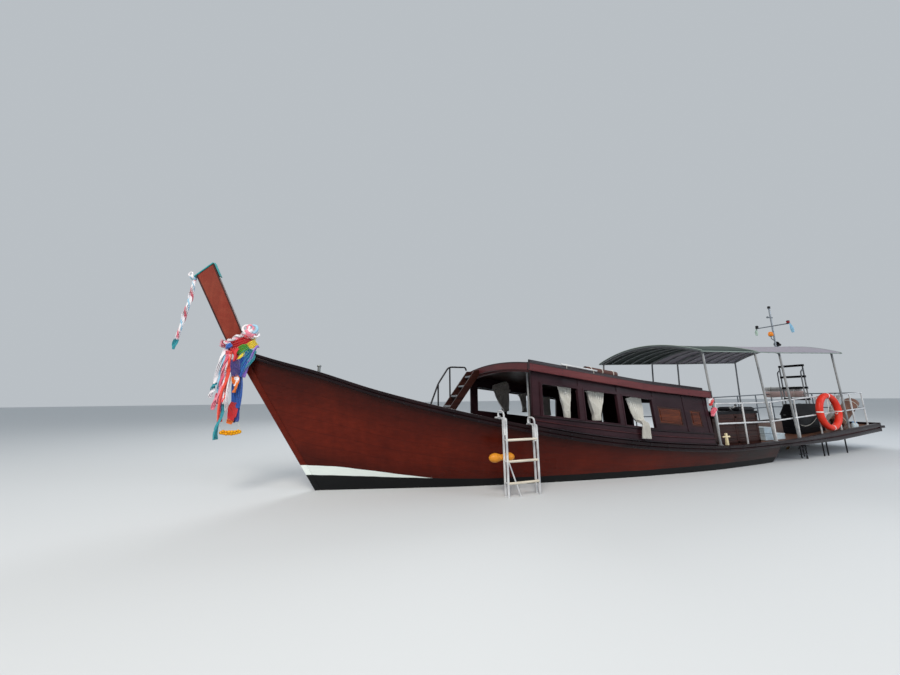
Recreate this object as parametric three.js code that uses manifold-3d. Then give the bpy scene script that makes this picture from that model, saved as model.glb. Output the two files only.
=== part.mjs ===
// A wooden longtail tour boat with a cabin, a roof deck and a long stern platform.
// Millimetres. +X points to the bow, +Y to port and +Z up.
// The origin is on the centreline, amidships, at the surface of the water.

import * as THREE from 'three';
import { mergeVertices } from 'three/addons/utils/BufferGeometryUtils.js';
import Module from 'manifold-3d';

const wasm = await Module();
wasm.setup();

// Gap between pieces that touch on the real boat
const GAP = 0.3;

// Hull stations, from the stem to the transom
// columns: x at the sheer, half beam at the sheer, height of the sheer,
// half beam at the waterline, depth of the keel, x at the keel
const STATIONS = [
  [5975, 38, 1785, 37, -300, 4750],
  [5600, 130, 1660, 88, -330, 4600],
  [5030, 335, 1490, 190, -350, 4253],
  [4290, 610, 1240, 330, -380, 3804],
  [3340, 890, 985, 540, -390, 3064],
  [2400, 1060, 780, 705, -400, 2258],
  [1440, 1150, 610, 845, -400, 1390],
  [490, 1190, 490, 955, -400, 475],
  [-660, 1190, 395, 1030, -400, -660],
  [-1500, 1175, 375, 1010, -380, -1500],
  [-2380, 1140, 378, 950, -330, -2380],
];
const PLANKING = 35;
const TRANSOM_X = -2380;
const TRANSOM_THICKNESS = 45;

// Sheer line aft of the transom, where the platform hangs over
// columns: x, half beam, height
const OVERHANG = [
  [-2380, 1140, 378],
  [-3200, 1085, 408],
  [-4000, 1030, 442],
  [-5000, 965, 486],
  [-6050, 895, 535],
];
const STERN_X = -6050;

// Rub rail
const RAIL_OUT = 45;
const RAIL_DEPTH = 95;
const RAIL_DEPTH_STERN = 165;

// Stem and prow board
const STEM_FRONT = [
  [4790, -330],
  [5000, 0],
  [5905, 1510],
  [6180, 1930],
  [6555, 2700],
];
const PROW_TOP_BACK = [6335, 2835];
const PROW_BACK = [6010, 2070];
const PROW_HALF = 34;

// Decks
const FLOOR_Z = -40;
const FLOOR_THICKNESS = 30;
const DECK_THICKNESS = 32;
const FOREDECK_DROP = 30;
const AFT_DECK_FRONT = -760;
const AFT_DECK_BREAK = -3600;
const AFT_DECK_Z = 352;
const AFT_DECK_STERN_Z = 500;

// Cabin
const CABIN_FRONT = 2390;
const BULKHEAD = 35;
const CABIN_AFT = -720;
const CABIN_WALL = 38;
const EAVES = 45;
// Windows of the cabin side
// columns: forward x, aft x, top forward, top aft, bottom forward, bottom aft
const WINDOWS = [
  [2240, 1705, 1315, 1250, 915, 850],
  [1605, 1065, 1235, 1170, 835, 770],
  [965, 440, 1155, 1090, 755, 690],
];
// Recessed panels aft of the windows, same columns
const PANELS = [
  [345, -130, 1000, 950, 745, 695],
  [-300, -540, 935, 910, 685, 660],
];
const PANEL_DEPTH = 10;

// Roof
const ROOF_FRONT = 2440;
const ROOF_AFT = -770;
const ROOF_THICKNESS = 34;
const ROOF_CAMBER = 75;
const FASCIA_THICKNESS = 26;
const FASCIA_DEPTH = 108;
const FASCIA_RISE = 6;
// Edge of the roof, columns: x, height, half width
const ROOF_EDGE = [
  [2440, 1590, 1100],
  [1340, 1432, 1150],
  [500, 1320, 1165],
  [-770, 1205, 1150],
];

// Canopy hoops, columns: x, half width at the deck, half width at the top, height of the eave
const HOOPS = [
  [-850, 1165, 1085, 1850],
  [-2240, 1125, 1042, 1888],
  [-3010, 1066, 1002, 1912],
  [-4930, 938, 905, 2000],
];
const HOOP_RADIUS = 17;
const HOOP_CAMBER = 205;

// Canopies, columns: name, x forward, x aft, half width forward and aft, eave forward and aft
const CANOPIES = [
  ['canopy_front', -770, -2230, 1130, 1080, 1850, 1888],
  ['canopy_aft', -2250, -5080, 1075, 1000, 1889, 2008],
];
const CANOPY_THICKNESS = 22;

// Rails
const RAIL_TUBE = 13;
const RAIL_INSET = 40;

// Drive
const SHAFT_Z = -60;
const SHAFT_DROP = 0.055;
const PROPELLER_X = -4700;
const PROPELLER_RADIUS = 190;
const RUDDER_X = -5250;

const COLOURS = {
  topsides: { color: 0x5a2016, roughness: 0.35 },
  maroon: { color: 0x3c2326, roughness: 0.4 },
  fascia: { color: 0x784642, roughness: 0.45 },
  prow: { color: 0x7a3024, roughness: 0.5 },
  trim: { color: 0x2f8f93, roughness: 0.5 },
  deck: { color: 0x7b4a33, roughness: 0.6 },
  steel: { color: 0xc9cdd0, roughness: 0.25, metalness: 1 },
  black: { color: 0x15161a, roughness: 0.6 },
  green: { color: 0x283c32, roughness: 0.6 },
  paleCanopy: { color: 0xaaa5af, roughness: 0.7 },
  cloth: { color: 0xd2d7d2, roughness: 0.9 },
  buoy: { color: 0xdc3c2d, roughness: 0.5 },
  cream: { color: 0xdcd3b4, roughness: 0.5 },
  brown: { color: 0x6a3a26, roughness: 0.7 },
  yellow: { color: 0xe0a93a, roughness: 0.6 },
  bronze: { color: 0xa9824a, roughness: 0.35, metalness: 1 },
  ribbon: { color: 0xc8466a, roughness: 0.8 },
};

const boat = new THREE.Group();

// Adds a named mesh of one geometry or solid
function add(name, shape, finish) {
  const geometry = shape.isBufferGeometry ? shape : toGeometry(shape);
  const mesh = new THREE.Mesh(geometry, new THREE.MeshStandardMaterial(COLOURS[finish]));
  mesh.name = name;
  boat.add(mesh);
  return mesh;
}

// Solid of a closed geometry
function toSolid(geometry) {
  const bare = geometry.index ? geometry.toNonIndexed() : geometry.clone();
  bare.deleteAttribute('normal');
  bare.deleteAttribute('uv');
  const merged = mergeVertices(bare, 1e-3);
  return new wasm.Manifold(new wasm.Mesh({
    numProp: 3,
    vertProperties: new Float32Array(merged.attributes.position.array),
    triVerts: new Uint32Array(merged.index.array),
  }));
}

// Geometry of a solid
function toGeometry(solid) {
  const mesh = solid.getMesh();
  const geometry = new THREE.BufferGeometry();
  geometry.setAttribute('position', new THREE.BufferAttribute(mesh.vertProperties, 3));
  geometry.setIndex(new THREE.BufferAttribute(mesh.triVerts, 1));
  const flat = geometry.toNonIndexed();
  flat.computeVertexNormals();
  return flat;
}

function join(shapes) {
  return shapes
    .map((shape) => (shape.isBufferGeometry ? toSolid(shape) : shape))
    .reduce((sum, shape) => sum.add(shape));
}

function cut(body, ...tools) {
  const start = body.isBufferGeometry ? toSolid(body) : body;
  return tools.reduce(
    (rest, tool) => rest.subtract(tool.isBufferGeometry ? toSolid(tool) : tool),
    start,
  );
}

// Value of a table at x, on straight lines between its rows
function along(table, x, column = 1) {
  const rows = [...table].sort((a, b) => a[0] - b[0]);
  if (x <= rows[0][0]) return rows[0][column];
  for (let i = 1; i < rows.length; i += 1) {
    if (x <= rows[i][0]) {
      const t = (x - rows[i - 1][0]) / (rows[i][0] - rows[i - 1][0]);
      return rows[i - 1][column] + t * (rows[i][column] - rows[i - 1][column]);
    }
  }
  return rows[rows.length - 1][column];
}

// Box from its lowest and highest corner
function box(x0, x1, y0, y1, z0, z1) {
  const geometry = new THREE.BoxGeometry(Math.abs(x1 - x0), Math.abs(y1 - y0), Math.abs(z1 - z0));
  geometry.translate((x0 + x1) / 2, (y0 + y1) / 2, (z0 + z1) / 2);
  return geometry;
}

// Round bar between two points
function rod(a, b, radius, sides = 10) {
  const from = new THREE.Vector3(...a);
  const to = new THREE.Vector3(...b);
  const geometry = new THREE.CylinderGeometry(radius, radius, from.distanceTo(to), sides);
  const turn = new THREE.Quaternion().setFromUnitVectors(
    new THREE.Vector3(0, 1, 0),
    to.clone().sub(from).normalize(),
  );
  geometry.applyQuaternion(turn);
  geometry.translate(...from.add(to).multiplyScalar(0.5).toArray());
  return geometry;
}

// Radius of a hole of 24 sides in which a shaft turns
function boreRadius(shaft) {
  return (shaft + 0.35) / Math.cos(Math.PI / 24);
}

// Pipe of round section along a list of points, from a first direction across it
function pipe(points, radius, sides = 10, across = [0, 0, 1]) {
  const path = points.map((p) => new THREE.Vector3(...p));
  const steps = path.slice(1).map((p, i) => p.clone().sub(path[i]).normalize());
  const normal = new THREE.Vector3(...across);
  const rings = path.map((p, i) => {
    const tangent = (steps[i - 1] ?? steps[i]).clone().add(steps[i] ?? steps[i - 1]).normalize();
    normal.addScaledVector(tangent, -normal.dot(tangent)).normalize();
    const side = tangent.clone().cross(normal);
    const ring = [];
    for (let k = 0; k < sides; k += 1) {
      const angle = (2 * Math.PI * k) / sides;
      ring.push(p.clone()
        .addScaledVector(normal, radius * Math.cos(angle))
        .addScaledVector(side, radius * Math.sin(angle))
        .toArray());
    }
    return ring;
  });
  return skin(rings);
}

// Closed skin through rings that have the same number of points, with flat ends
function skin(rings) {
  const positions = [];
  const count = rings[0].length;
  const quad = (a, b, c, d) => positions.push(...a, ...b, ...c, ...a, ...c, ...d);
  for (let i = 1; i < rings.length; i += 1) {
    for (let j = 0; j < count; j += 1) {
      const k = (j + 1) % count;
      quad(rings[i - 1][j], rings[i - 1][k], rings[i][k], rings[i][j]);
    }
  }
  const cap = (ring, flip) => {
    const views = [[0, 1], [1, 2], [0, 2]].map(([u, v]) => ring.map((p) => new THREE.Vector2(p[u], p[v])));
    const areas = views.map((view) => THREE.ShapeUtils.area(view));
    const best = areas.reduce((top, area, i) => (Math.abs(area) > Math.abs(areas[top]) ? i : top), 0);
    const outline = views[best];
    for (const face of THREE.ShapeUtils.triangulateShape(outline, [])) {
      const turned = THREE.ShapeUtils.area(face.map((k) => outline[k])) * areas[best] < 0;
      const [a, b, c] = (turned === flip ? face : [face[0], face[2], face[1]]).map((k) => ring[k]);
      positions.push(...a, ...b, ...c);
    }
  };
  cap(rings[0], true);
  cap(rings[rings.length - 1], false);
  const geometry = new THREE.BufferGeometry();
  geometry.setAttribute('position', new THREE.Float32BufferAttribute(positions, 3));
  return outward(geometry);
}

// Turns a closed geometry so that its faces point out
function outward(geometry) {
  const p = geometry.attributes.position.array;
  let volume = 0;
  for (let i = 0; i < p.length; i += 9) {
    volume += p[i] * (p[i + 4] * p[i + 8] - p[i + 5] * p[i + 7])
      - p[i + 1] * (p[i + 3] * p[i + 8] - p[i + 5] * p[i + 6])
      + p[i + 2] * (p[i + 3] * p[i + 7] - p[i + 4] * p[i + 6]);
  }
  if (volume < 0) {
    for (let i = 0; i < p.length; i += 9) {
      for (let k = 0; k < 3; k += 1) [p[i + 3 + k], p[i + 6 + k]] = [p[i + 6 + k], p[i + 3 + k]];
    }
  }
  return geometry;
}

// Plate whose outline is given as x and z, between two y
function slab(outline, y0, y1) {
  return skin([y0, y1].map((y) => outline.map(([x, z]) => [x, y, z])));
}

// Point moved by lengths along directions
function at(point, ...moves) {
  return moves.reduce(
    (p, [direction, length]) => [p[0] + direction.x * length, p[1] + direction.y * length],
    point,
  );
}

// Copy on the other side of the centreline
function mirrored(geometry) {
  const copy = geometry.isBufferGeometry ? geometry.clone() : toGeometry(geometry);
  copy.scale(1, -1, 1);
  return outward(copy.index ? copy.toNonIndexed() : copy);
}

// One hull station between two rows of the table, on a smooth curve
function station(u) {
  const last = STATIONS.length - 1;
  const i = Math.min(Math.floor(u), last - 1);
  const t = u - i;
  const rows = [i - 1, i, i + 1, i + 2].map((k) => STATIONS[Math.max(0, Math.min(last, k))]);
  return STATIONS[0].map((_, c) => {
    const [a, b, d, e] = rows.map((row) => row[c]);
    return 0.5 * (2 * b + (d - a) * t + (2 * a - 5 * b + 4 * d - e) * t * t
      + (3 * b - a - 3 * d + e) * t * t * t);
  });
}

// Point of the hull's skin at a share of the station's height, set in by a thickness
function hullPoint([xs, half, sheer, wet, keel, xk], share, inset = 0) {
  const low = keel + inset * 1.25;
  const fullness = Math.log(wet / half) / Math.log(-keel / (sheer - keel));
  const z = low + (sheer - low) * share;
  const x = xk + ((xs - xk) * (z - keel)) / (sheer - keel);
  return [x, (half - inset) * share ** fullness, z];
}

const SHARES = [1, 0.85, 0.7, 0.55, 0.4, 0.28, 0.17, 0.08, 0.025];
const HALF_STEPS = Array.from({ length: 2 * STATIONS.length - 1 }, (_, i) => i / 2);

// Ring round the hull at a station, from the port sheer by the keel to the starboard sheer
function hullRing(row, inset, above) {
  const port = SHARES.map((share) => hullPoint(row, share, inset));
  const rake = (row[0] - row[5]) / (row[2] - row[4]);
  if (above) port.unshift([port[0][0] + rake * above, port[0][1], port[0][2] + above]);
  const bottom = hullPoint(row, 0, inset);
  return [...port, bottom, ...[...port].reverse().map(([x, y, z]) => [x, -y, z])];
}

function hullBody(inset, first, above = 0) {
  return toSolid(skin(HALF_STEPS.filter((u) => u >= first).map((u) => hullRing(station(u), inset, above))));
}

const sheerRows = HALF_STEPS.map((u) => station(u).slice(0, 3));
const EDGE = [...sheerRows, ...OVERHANG.slice(1)];
const beam = (x) => along(EDGE, x, 1);
const sheer = (x) => along(EDGE, x, 2);
const edgeBetween = (x0, x1) => [x1, ...EDGE.map((row) => row[0]).filter((x) => x > x0 && x < x1), x0];
const deckTop = (x) => (x > AFT_DECK_BREAK ? AFT_DECK_Z : AFT_DECK_Z
  + ((AFT_DECK_STERN_Z - AFT_DECK_Z) * (AFT_DECK_BREAK - x)) / (AFT_DECK_BREAK - STERN_X));

// Hull
const hold = hullBody(PLANKING, 1, 200);
const clear = hullBody(PLANKING + 2 * GAP, 1, 200);
const outside = hullBody(-0.5, 0);
const aftCut = box(TRANSOM_X - 200, TRANSOM_X + 1, -1400, 1400, -600, 900);
add('hull_shell', hullBody(0, 0).subtract(hold.add(toSolid(aftCut).intersect(hullBodyEnd()))), 'topsides');

// Inner section carried aft past the shell's end, so that the end is open
function hullBodyEnd() {
  const ring = hullRing(STATIONS[STATIONS.length - 1], PLANKING, 200);
  return toSolid(skin([1, -200].map((dx) => ring.map(([x, y, z]) => [x + dx, y, z]))));
}

const endRing = hullRing(STATIONS[STATIONS.length - 1], 10, 0);
const transom = skin([-GAP, -TRANSOM_THICKNESS].map((dx) => endRing.map(([x, y, z]) => [x + dx, y, z])));
const underDeck = AFT_DECK_Z - DECK_THICKNESS - GAP;
add('transom', cut(transom, box(-3000, -2000, -1300, 1300, underDeck, 900)), 'topsides');

const keelTop = HALF_STEPS.map((u) => station(u)).map((row) => [row[5], row[4] - GAP]);
keelTop[0] = at(keelTop[0], [new THREE.Vector2(-1, -0.35), 20]);
const KEEL_DEPTH = 85;
const KEEL_HALF = 32;
const keelLow = [...keelTop].reverse().map(([x, z]) => [x, z - KEEL_DEPTH]);
add('keel', slab([...keelTop, ...keelLow], -KEEL_HALF, KEEL_HALF), 'topsides');

// Stem and prow board
const [tipX, , tipZ, , forefootZ, forefootX] = STATIONS[0];
const hullFront = (z) => forefootX + ((tipX - forefootX) * (z - forefootZ)) / (tipZ - forefootZ) + 2 * GAP;
const boardFoot = tipX - 87;
const stemFootZ = STEM_FRONT[0][1];
add('prow_board', slab([
  ...STEM_FRONT,
  PROW_TOP_BACK,
  PROW_BACK,
  [boardFoot, tipZ + GAP],
  [hullFront(tipZ), tipZ + GAP],
  [hullFront(stemFootZ), stemFootZ],
], -PROW_HALF, PROW_HALF), 'prow');
const CAP = 14;
const CAP_RUN = 95;
const CAP_EDGE = 6;
const PROW_TIP = STEM_FRONT[STEM_FRONT.length - 1];
const direction = (a, b) => new THREE.Vector2(b[0] - a[0], b[1] - a[1]).normalize();
const capAlong = direction(PROW_TIP, PROW_TOP_BACK);
const capUp = new THREE.Vector2(capAlong.y, -capAlong.x);
const capBack = direction(PROW_TOP_BACK, PROW_BACK);
const backOut = new THREE.Vector2(capBack.y, -capBack.x);
add('prow_cap', slab([
  at(PROW_TIP, [capUp, GAP], [capAlong, -CAP]),
  at(PROW_TOP_BACK, [capUp, GAP], [backOut, GAP]),
  at(PROW_TOP_BACK, [capBack, CAP_RUN], [backOut, GAP]),
  at(PROW_TOP_BACK, [capBack, CAP_RUN], [backOut, CAP]),
  at(PROW_TOP_BACK, [capUp, CAP], [backOut, CAP]),
  at(PROW_TIP, [capUp, CAP], [capAlong, -CAP]),
], -PROW_HALF - CAP_EDGE, PROW_HALF + CAP_EDGE), 'trim');

// Rub rails, one each side from the stem to the stern, cut to the hull's skin
const RAIL_SINK = 6;
function rubRail() {
  const rings = HALF_STEPS.map((u) => {
    const row = station(u);
    const depth = RAIL_DEPTH / (row[2] - row[4]);
    const [top, low] = [1, 1 - depth].map((share) => hullPoint(row, share));
    return [
      [top[0], top[1] - RAIL_SINK, top[2]],
      [top[0], top[1] + RAIL_OUT, top[2]],
      [low[0], low[1] + RAIL_OUT, low[2]],
      [low[0], low[1] - RAIL_SINK, low[2]],
    ];
  });
  for (const [x, half, z] of OVERHANG.slice(1)) {
    const t = (TRANSOM_X - x) / (TRANSOM_X - STERN_X);
    const depth = RAIL_DEPTH + (RAIL_DEPTH_STERN - RAIL_DEPTH) * Math.min(1, 2 * t);
    const inner = half + GAP;
    const outer = inner + RAIL_OUT;
    rings.push([[x, inner, z], [x, outer, z], [x, outer, z - depth], [x, inner, z - depth]]);
  }
  return skin(rings);
}
add('rub_rail_port', cut(rubRail(), outside), 'maroon');
add('rub_rail_starboard', cut(mirrored(rubRail()), outside), 'maroon');

// Decks and floor
const FOREDECK_FRONT = 5440;
const deckLine = edgeBetween(CABIN_FRONT - BULKHEAD, FOREDECK_FRONT);
add('foredeck', toSolid(slab([
  ...deckLine.map((x) => [x, sheer(x) - FOREDECK_DROP]),
  ...[...deckLine].reverse().map((x) => [x, sheer(x) - FOREDECK_DROP - DECK_THICKNESS]),
], -1400, 1400)).intersect(clear), 'deck');
const bulkheadTop = sheer(CABIN_FRONT - BULKHEAD) - FOREDECK_DROP - DECK_THICKNESS - GAP;
add('fore_bulkhead', toSolid(
  box(CABIN_FRONT - BULKHEAD, CABIN_FRONT - 2, -1400, 1400, FLOOR_Z - 250, bulkheadTop),
).intersect(clear), 'maroon');
add('cabin_floor', toSolid(box(
  CABIN_AFT + 1,
  CABIN_FRONT - BULKHEAD - GAP,
  -1400,
  1400,
  FLOOR_Z - FLOOR_THICKNESS,
  FLOOR_Z,
)).intersect(clear), 'deck');

const overhangPlan = OVERHANG.map(([x, half], i) => [x, half - (i ? 0.4 : RAIL_OUT)]);
const overhangSpace = skin([0, 900].map((z) => [
  ...overhangPlan.map(([x, y]) => [x, y, z]),
  ...[...overhangPlan].reverse().map(([x, y]) => [x, -y, z]),
]));
const aftLine = [AFT_DECK_FRONT - GAP - 1, AFT_DECK_BREAK, STERN_X];
const aftDeckSlab = (top, depth, y0, y1, line = aftLine) => slab([
  ...line.map((x) => [x, deckTop(x) - top]),
  ...[...line].reverse().map((x) => [x, deckTop(x) - top - depth]),
], y0, y1);
add('aft_deck', toSolid(aftDeckSlab(0, DECK_THICKNESS, -1400, 1400))
  .intersect(clear.add(toSolid(overhangSpace))), 'deck');

// Frame under the overhang: long beams, cross beams and the block that the rudder hangs in
const BEAM_DEPTH = 95;
const LONG_BEAMS = [-760, -300, 300, 760];
const CROSS_BEAMS = [-2900, -3660, -4300, -5250, -5950];
const STOCK_RADIUS = 20;
function underFrame(line, crossBeams, ...blocks) {
  return join([
    ...LONG_BEAMS.map((y) => aftDeckSlab(DECK_THICKNESS + GAP, BEAM_DEPTH, y - 30, y + 30, line)),
    ...crossBeams.map((x) => {
      const half = beam(x - 30) - 136;
      return aftDeckSlab(DECK_THICKNESS + GAP, BEAM_DEPTH - 20, -half, half, [x + 30, x - 30]);
    }),
    ...blocks,
  ]);
}
add('overhang_frame', underFrame(
  [TRANSOM_X - TRANSOM_THICKNESS - 1, AFT_DECK_BREAK + GAP],
  CROSS_BEAMS.filter((x) => x > AFT_DECK_BREAK),
), 'maroon');
const RUDDER_BLOCK = { half: 65, wide: 70, low: 310 };
const rudderBlock = box(
  RUDDER_X - RUDDER_BLOCK.half,
  RUDDER_X + RUDDER_BLOCK.half,
  -RUDDER_BLOCK.wide,
  RUDDER_BLOCK.wide,
  RUDDER_BLOCK.low,
  deckTop(RUDDER_X + RUDDER_BLOCK.half) - DECK_THICKNESS - 4,
);
add('stern_frame', cut(
  underFrame([AFT_DECK_BREAK, STERN_X + 10], CROSS_BEAMS.filter((x) => x < AFT_DECK_BREAK), rudderBlock),
  rod([RUDDER_X, 0, 200], [RUDDER_X, 0, 600], boreRadius(STOCK_RADIUS), 24),
), 'maroon');

const sternHalf = beam(STERN_X) + RAIL_OUT;
add('stern_beam', join([
  box(STERN_X - 60, STERN_X - GAP, -sternHalf, sternHalf, 372, 548),
  ...[-1, 1].map((side) => box(
    STERN_X - 300,
    STERN_X - 50,
    side * (sternHalf - 95),
    side * (sternHalf - 35),
    430,
    480,
  )),
]), 'maroon');

// Cabin walls
const roofEdge = (x) => along(ROOF_EDGE, x);
const roofHalf = (x) => along(ROOF_EDGE, x, 2);
const roofLow = (x, y) => roofEdge(x) - ROOF_THICKNESS + ROOF_CAMBER * (1 - (y / roofHalf(x)) ** 2);
const wallLow = (x) => beam(x) - 4;
const wallHigh = (x) => roofHalf(x) - EAVES;
const WALL_TOP_GAP = 1;
const WALL_FOOT = CABIN_WALL - 6;

// Cabin side with no openings, grown inwards
function wallBody(grow) {
  const roofBreaks = ROOF_EDGE.map((row) => row[0]).filter((x) => x > CABIN_AFT && x < CABIN_FRONT);
  const line = [...edgeBetween(CABIN_AFT, CABIN_FRONT), ...roofBreaks].sort((a, b) => b - a);
  return skin(line.map((x) => {
    const [low, high] = [wallLow(x), wallHigh(x)];
    const top = roofLow(x, high) - WALL_TOP_GAP;
    return [
      [x, low, sheer(x) + GAP],
      [x, high, top],
      [x, high - CABIN_WALL - grow, top],
      [x, low - WALL_FOOT - grow, sheer(x) + GAP],
    ];
  }));
}
function sideWall() {
  const holes = WINDOWS.map(([x0, x1, t0, t1, b0, b1]) => slab(
    [[x0, t0], [x1, t1], [x1, b1], [x0, b0]],
    600,
    1400,
  ));
  const recesses = PANELS.map(([x0, x1, t0, t1, b0, b1]) => {
    const outline = [[x0, t0], [x1, t1], [x1, b1], [x0, b0]];
    return skin([PANEL_DEPTH, -300].map((depth) => outline.map(([x, z]) => {
      const rise = (z - sheer(x)) / (roofLow(x, 1100) - sheer(x));
      return [x, wallLow(x) + (wallHigh(x) - wallLow(x)) * rise - depth, z];
    })));
  });
  return cut(wallBody(0), ...holes, ...recesses);
}
add('cabin_side_port', sideWall(), 'maroon');
add('cabin_side_starboard', mirrored(sideWall()), 'maroon');

// Outline across the boat with an arched top under the roof
function underRoof(x, half, low, drop = GAP, rows = 8) {
  const ring = [[x, half, low(half)]];
  for (let i = 0; i <= rows; i += 1) {
    const y = half * (1 - (2 * i) / rows);
    ring.push([x, y, roofLow(x, y) - drop - 1]);
  }
  ring.push([x, -half, low(-half)]);
  return ring;
}

const HEADER_DEPTH = 85;
const headerHalf = wallHigh(CABIN_FRONT) - CABIN_WALL - 2;
const headerRing = (x) => {
  const top = underRoof(x, headerHalf, (y) => roofLow(x, y) - HEADER_DEPTH).slice(1, -1);
  return [...top, ...[...top].reverse().map(([, y, z]) => [x, y, z - HEADER_DEPTH])];
};
add('front_header', skin([CABIN_FRONT - 45, CABIN_FRONT - 1].map(headerRing)), 'fascia');

// Steering wheel on the cabin's aft wall
const WHEEL = { x: -862, y: 420, z: 900, radius: 190, rim: 15, spokes: 6, shaft: 14, bore: 24 };
const aftFace = [CABIN_AFT - GAP, CABIN_AFT - BULKHEAD];
const DOOR_HALF = 340;
const DOOR_TOP = 1020;
add('cabin_aft_wall', cut(
  join([
    toSolid(box(aftFace[1], aftFace[0], -1400, 1400, FLOOR_Z - 250, 420)).intersect(clear),
    skin(aftFace.map((x) => underRoof(x, wallHigh(CABIN_AFT), () => sheer(aftFace[1]) + 2))),
  ]),
  box(-900, -600, -DOOR_HALF, DOOR_HALF, AFT_DECK_Z, DOOR_TOP),
  rod(
    [aftFace[1] + WHEEL.bore, WHEEL.y, WHEEL.z],
    [aftFace[1] - 50, WHEEL.y, WHEEL.z],
    boreRadius(WHEEL.shaft),
    24,
  ),
), 'maroon');

// Roof, its fascia and the low rails along its sides
const roofLine = ROOF_EDGE.map((row) => row[0]);
const ROOF_ROWS = 12;
const roofRing = (x) => {
  const across = Array.from({ length: ROOF_ROWS + 1 }, (_, i) => roofHalf(x) * (1 - (2 * i) / ROOF_ROWS));
  const top = across.map((y) => [x, y, roofLow(x, y) + ROOF_THICKNESS]);
  return [...top, ...[...across].reverse().map((y) => [x, y, roofLow(x, y)])];
};
add('cabin_roof', skin(roofLine.map((x) => roofRing(x))), 'maroon');

function fasciaSide() {
  const ends = [ROOF_FRONT + FASCIA_THICKNESS, ...roofLine, ROOF_AFT - FASCIA_THICKNESS];
  return skin(ends.map((x) => {
    const top = roofEdge(x) + FASCIA_RISE;
    const [inner, outer] = [roofHalf(x) + 2 * GAP, roofHalf(x) + FASCIA_THICKNESS];
    return [[x, inner, top], [x, outer, top], [x, outer, top - FASCIA_DEPTH], [x, inner, top - FASCIA_DEPTH]];
  }));
}
function fasciaEnd(x, direction) {
  const ring = (face) => {
    const outer = roofHalf(x) + FASCIA_THICKNESS;
    const across = Array.from({ length: ROOF_ROWS + 1 }, (_, i) => outer * (1 - (2 * i) / ROOF_ROWS));
    const lift = (y) => ROOF_CAMBER * Math.max(0, 1 - (y / roofHalf(x)) ** 2) + roofEdge(x) + FASCIA_RISE;
    const top = across.map((y) => [face, y, lift(y)]);
    return [...top, ...[...across].reverse().map((y) => [face, y, lift(y) - FASCIA_DEPTH])];
  };
  return skin([ring(x + direction * GAP), ring(x + direction * FASCIA_THICKNESS)]);
}
add('roof_fascia', join([
  fasciaSide(),
  mirrored(fasciaSide()),
  fasciaEnd(ROOF_FRONT, 1),
  fasciaEnd(ROOF_AFT, -1),
]), 'fascia');

const ROOF_RAIL = { inner: 1040, outer: 1080, rise: 46, strip: 10, stripWide: 40 };
const roofTop = (x, y) => roofLow(x, y) + ROOF_THICKNESS + 2 * GAP;
function roofRail() {
  return skin(roofLine.map((x, i) => {
    const end = i === 0 ? x - 30 : x + (i === roofLine.length - 1 ? 30 : 0);
    const ring = [ROOF_RAIL.outer, ROOF_RAIL.inner].map((y) => [end, y, roofTop(end, y)]);
    return [...ring, ...[...ring].reverse().map(([a, y, z]) => [a, y, z + ROOF_RAIL.rise])];
  }));
}
// Thin strip across the roof that ties the two rails
function roofStrip(x) {
  const reach = ROOF_RAIL.inner + 10;
  return skin([x, x - ROOF_RAIL.stripWide].map((end) => {
    const nodes = roofRing(end).slice(1, ROOF_ROWS).map((point) => point[1]);
    const low = [reach, ...nodes, -reach].map((y) => [end, y, roofTop(end, y)]);
    return [...low, ...[...low].reverse().map(([a, y, z]) => [a, y, z + ROOF_RAIL.strip])];
  }));
}
add('roof_rail', join([
  roofRail(),
  mirrored(roofRail()),
  roofStrip(ROOF_FRONT - 30),
  roofStrip(ROOF_AFT + 70),
]), 'black');

// Stair from the foredeck to the roof, with its handrail
const STAIR = { port: -440, starboard: -830, foot: 3080, top: 2487, topZ: 1600, width: 150, board: 32 };
const stairFootZ = sheer(STAIR.foot) - FOREDECK_DROP + 1;
const TREADS = { count: 4, aft: 55, front: 65, half: 13, inset: 60 };
const stringer = (y) => slab([
  [STAIR.foot, stairFootZ],
  [STAIR.foot - STAIR.width, stairFootZ + 22],
  [STAIR.top - 20, STAIR.topZ - 70],
  [STAIR.top - 20, STAIR.topZ + 20],
  [STAIR.top + 60, STAIR.topZ + 20],
], y, y + STAIR.board);
const treads = Array.from({ length: TREADS.count }, (_, i) => {
  const t = (i + 0.7) / (TREADS.count + 0.2);
  const x = STAIR.foot - TREADS.inset + (STAIR.top - STAIR.foot + TREADS.inset / 2) * t;
  const z = stairFootZ + (STAIR.topZ - stairFootZ) * t;
  return box(x - TREADS.aft, x + TREADS.front, STAIR.starboard, STAIR.port, z - TREADS.half, z + TREADS.half);
});
add('roof_stair', join([stringer(STAIR.starboard), stringer(STAIR.port - STAIR.board), ...treads]), 'maroon');

const HANDRAIL_Y = STAIR.starboard - 22;
const HAND_RADIUS = 15;
const handDeck = (x) => sheer(x + HAND_RADIUS) - FOREDECK_DROP + 2 * GAP;
add('stair_handrail', join([
  pipe([
    [3270, HANDRAIL_Y + 60, handDeck(3270) + 6],
    [3080, HANDRAIL_Y, 1400],
    [2880, HANDRAIL_Y, 1700],
    [2560, HANDRAIL_Y, 1700],
    [2540, HANDRAIL_Y, 1640],
  ], HAND_RADIUS, 8, [0, 1, 0]),
  pipe([[2860, HANDRAIL_Y, handDeck(2860)], [2860, HANDRAIL_Y, 1700]], HAND_RADIUS, 8, [0, 1, 0]),
  pipe([[3080, HANDRAIL_Y, handDeck(3080)], [3080, HANDRAIL_Y, 1400]], HAND_RADIUS, 8, [0, 1, 0]),
]), 'black');

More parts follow.
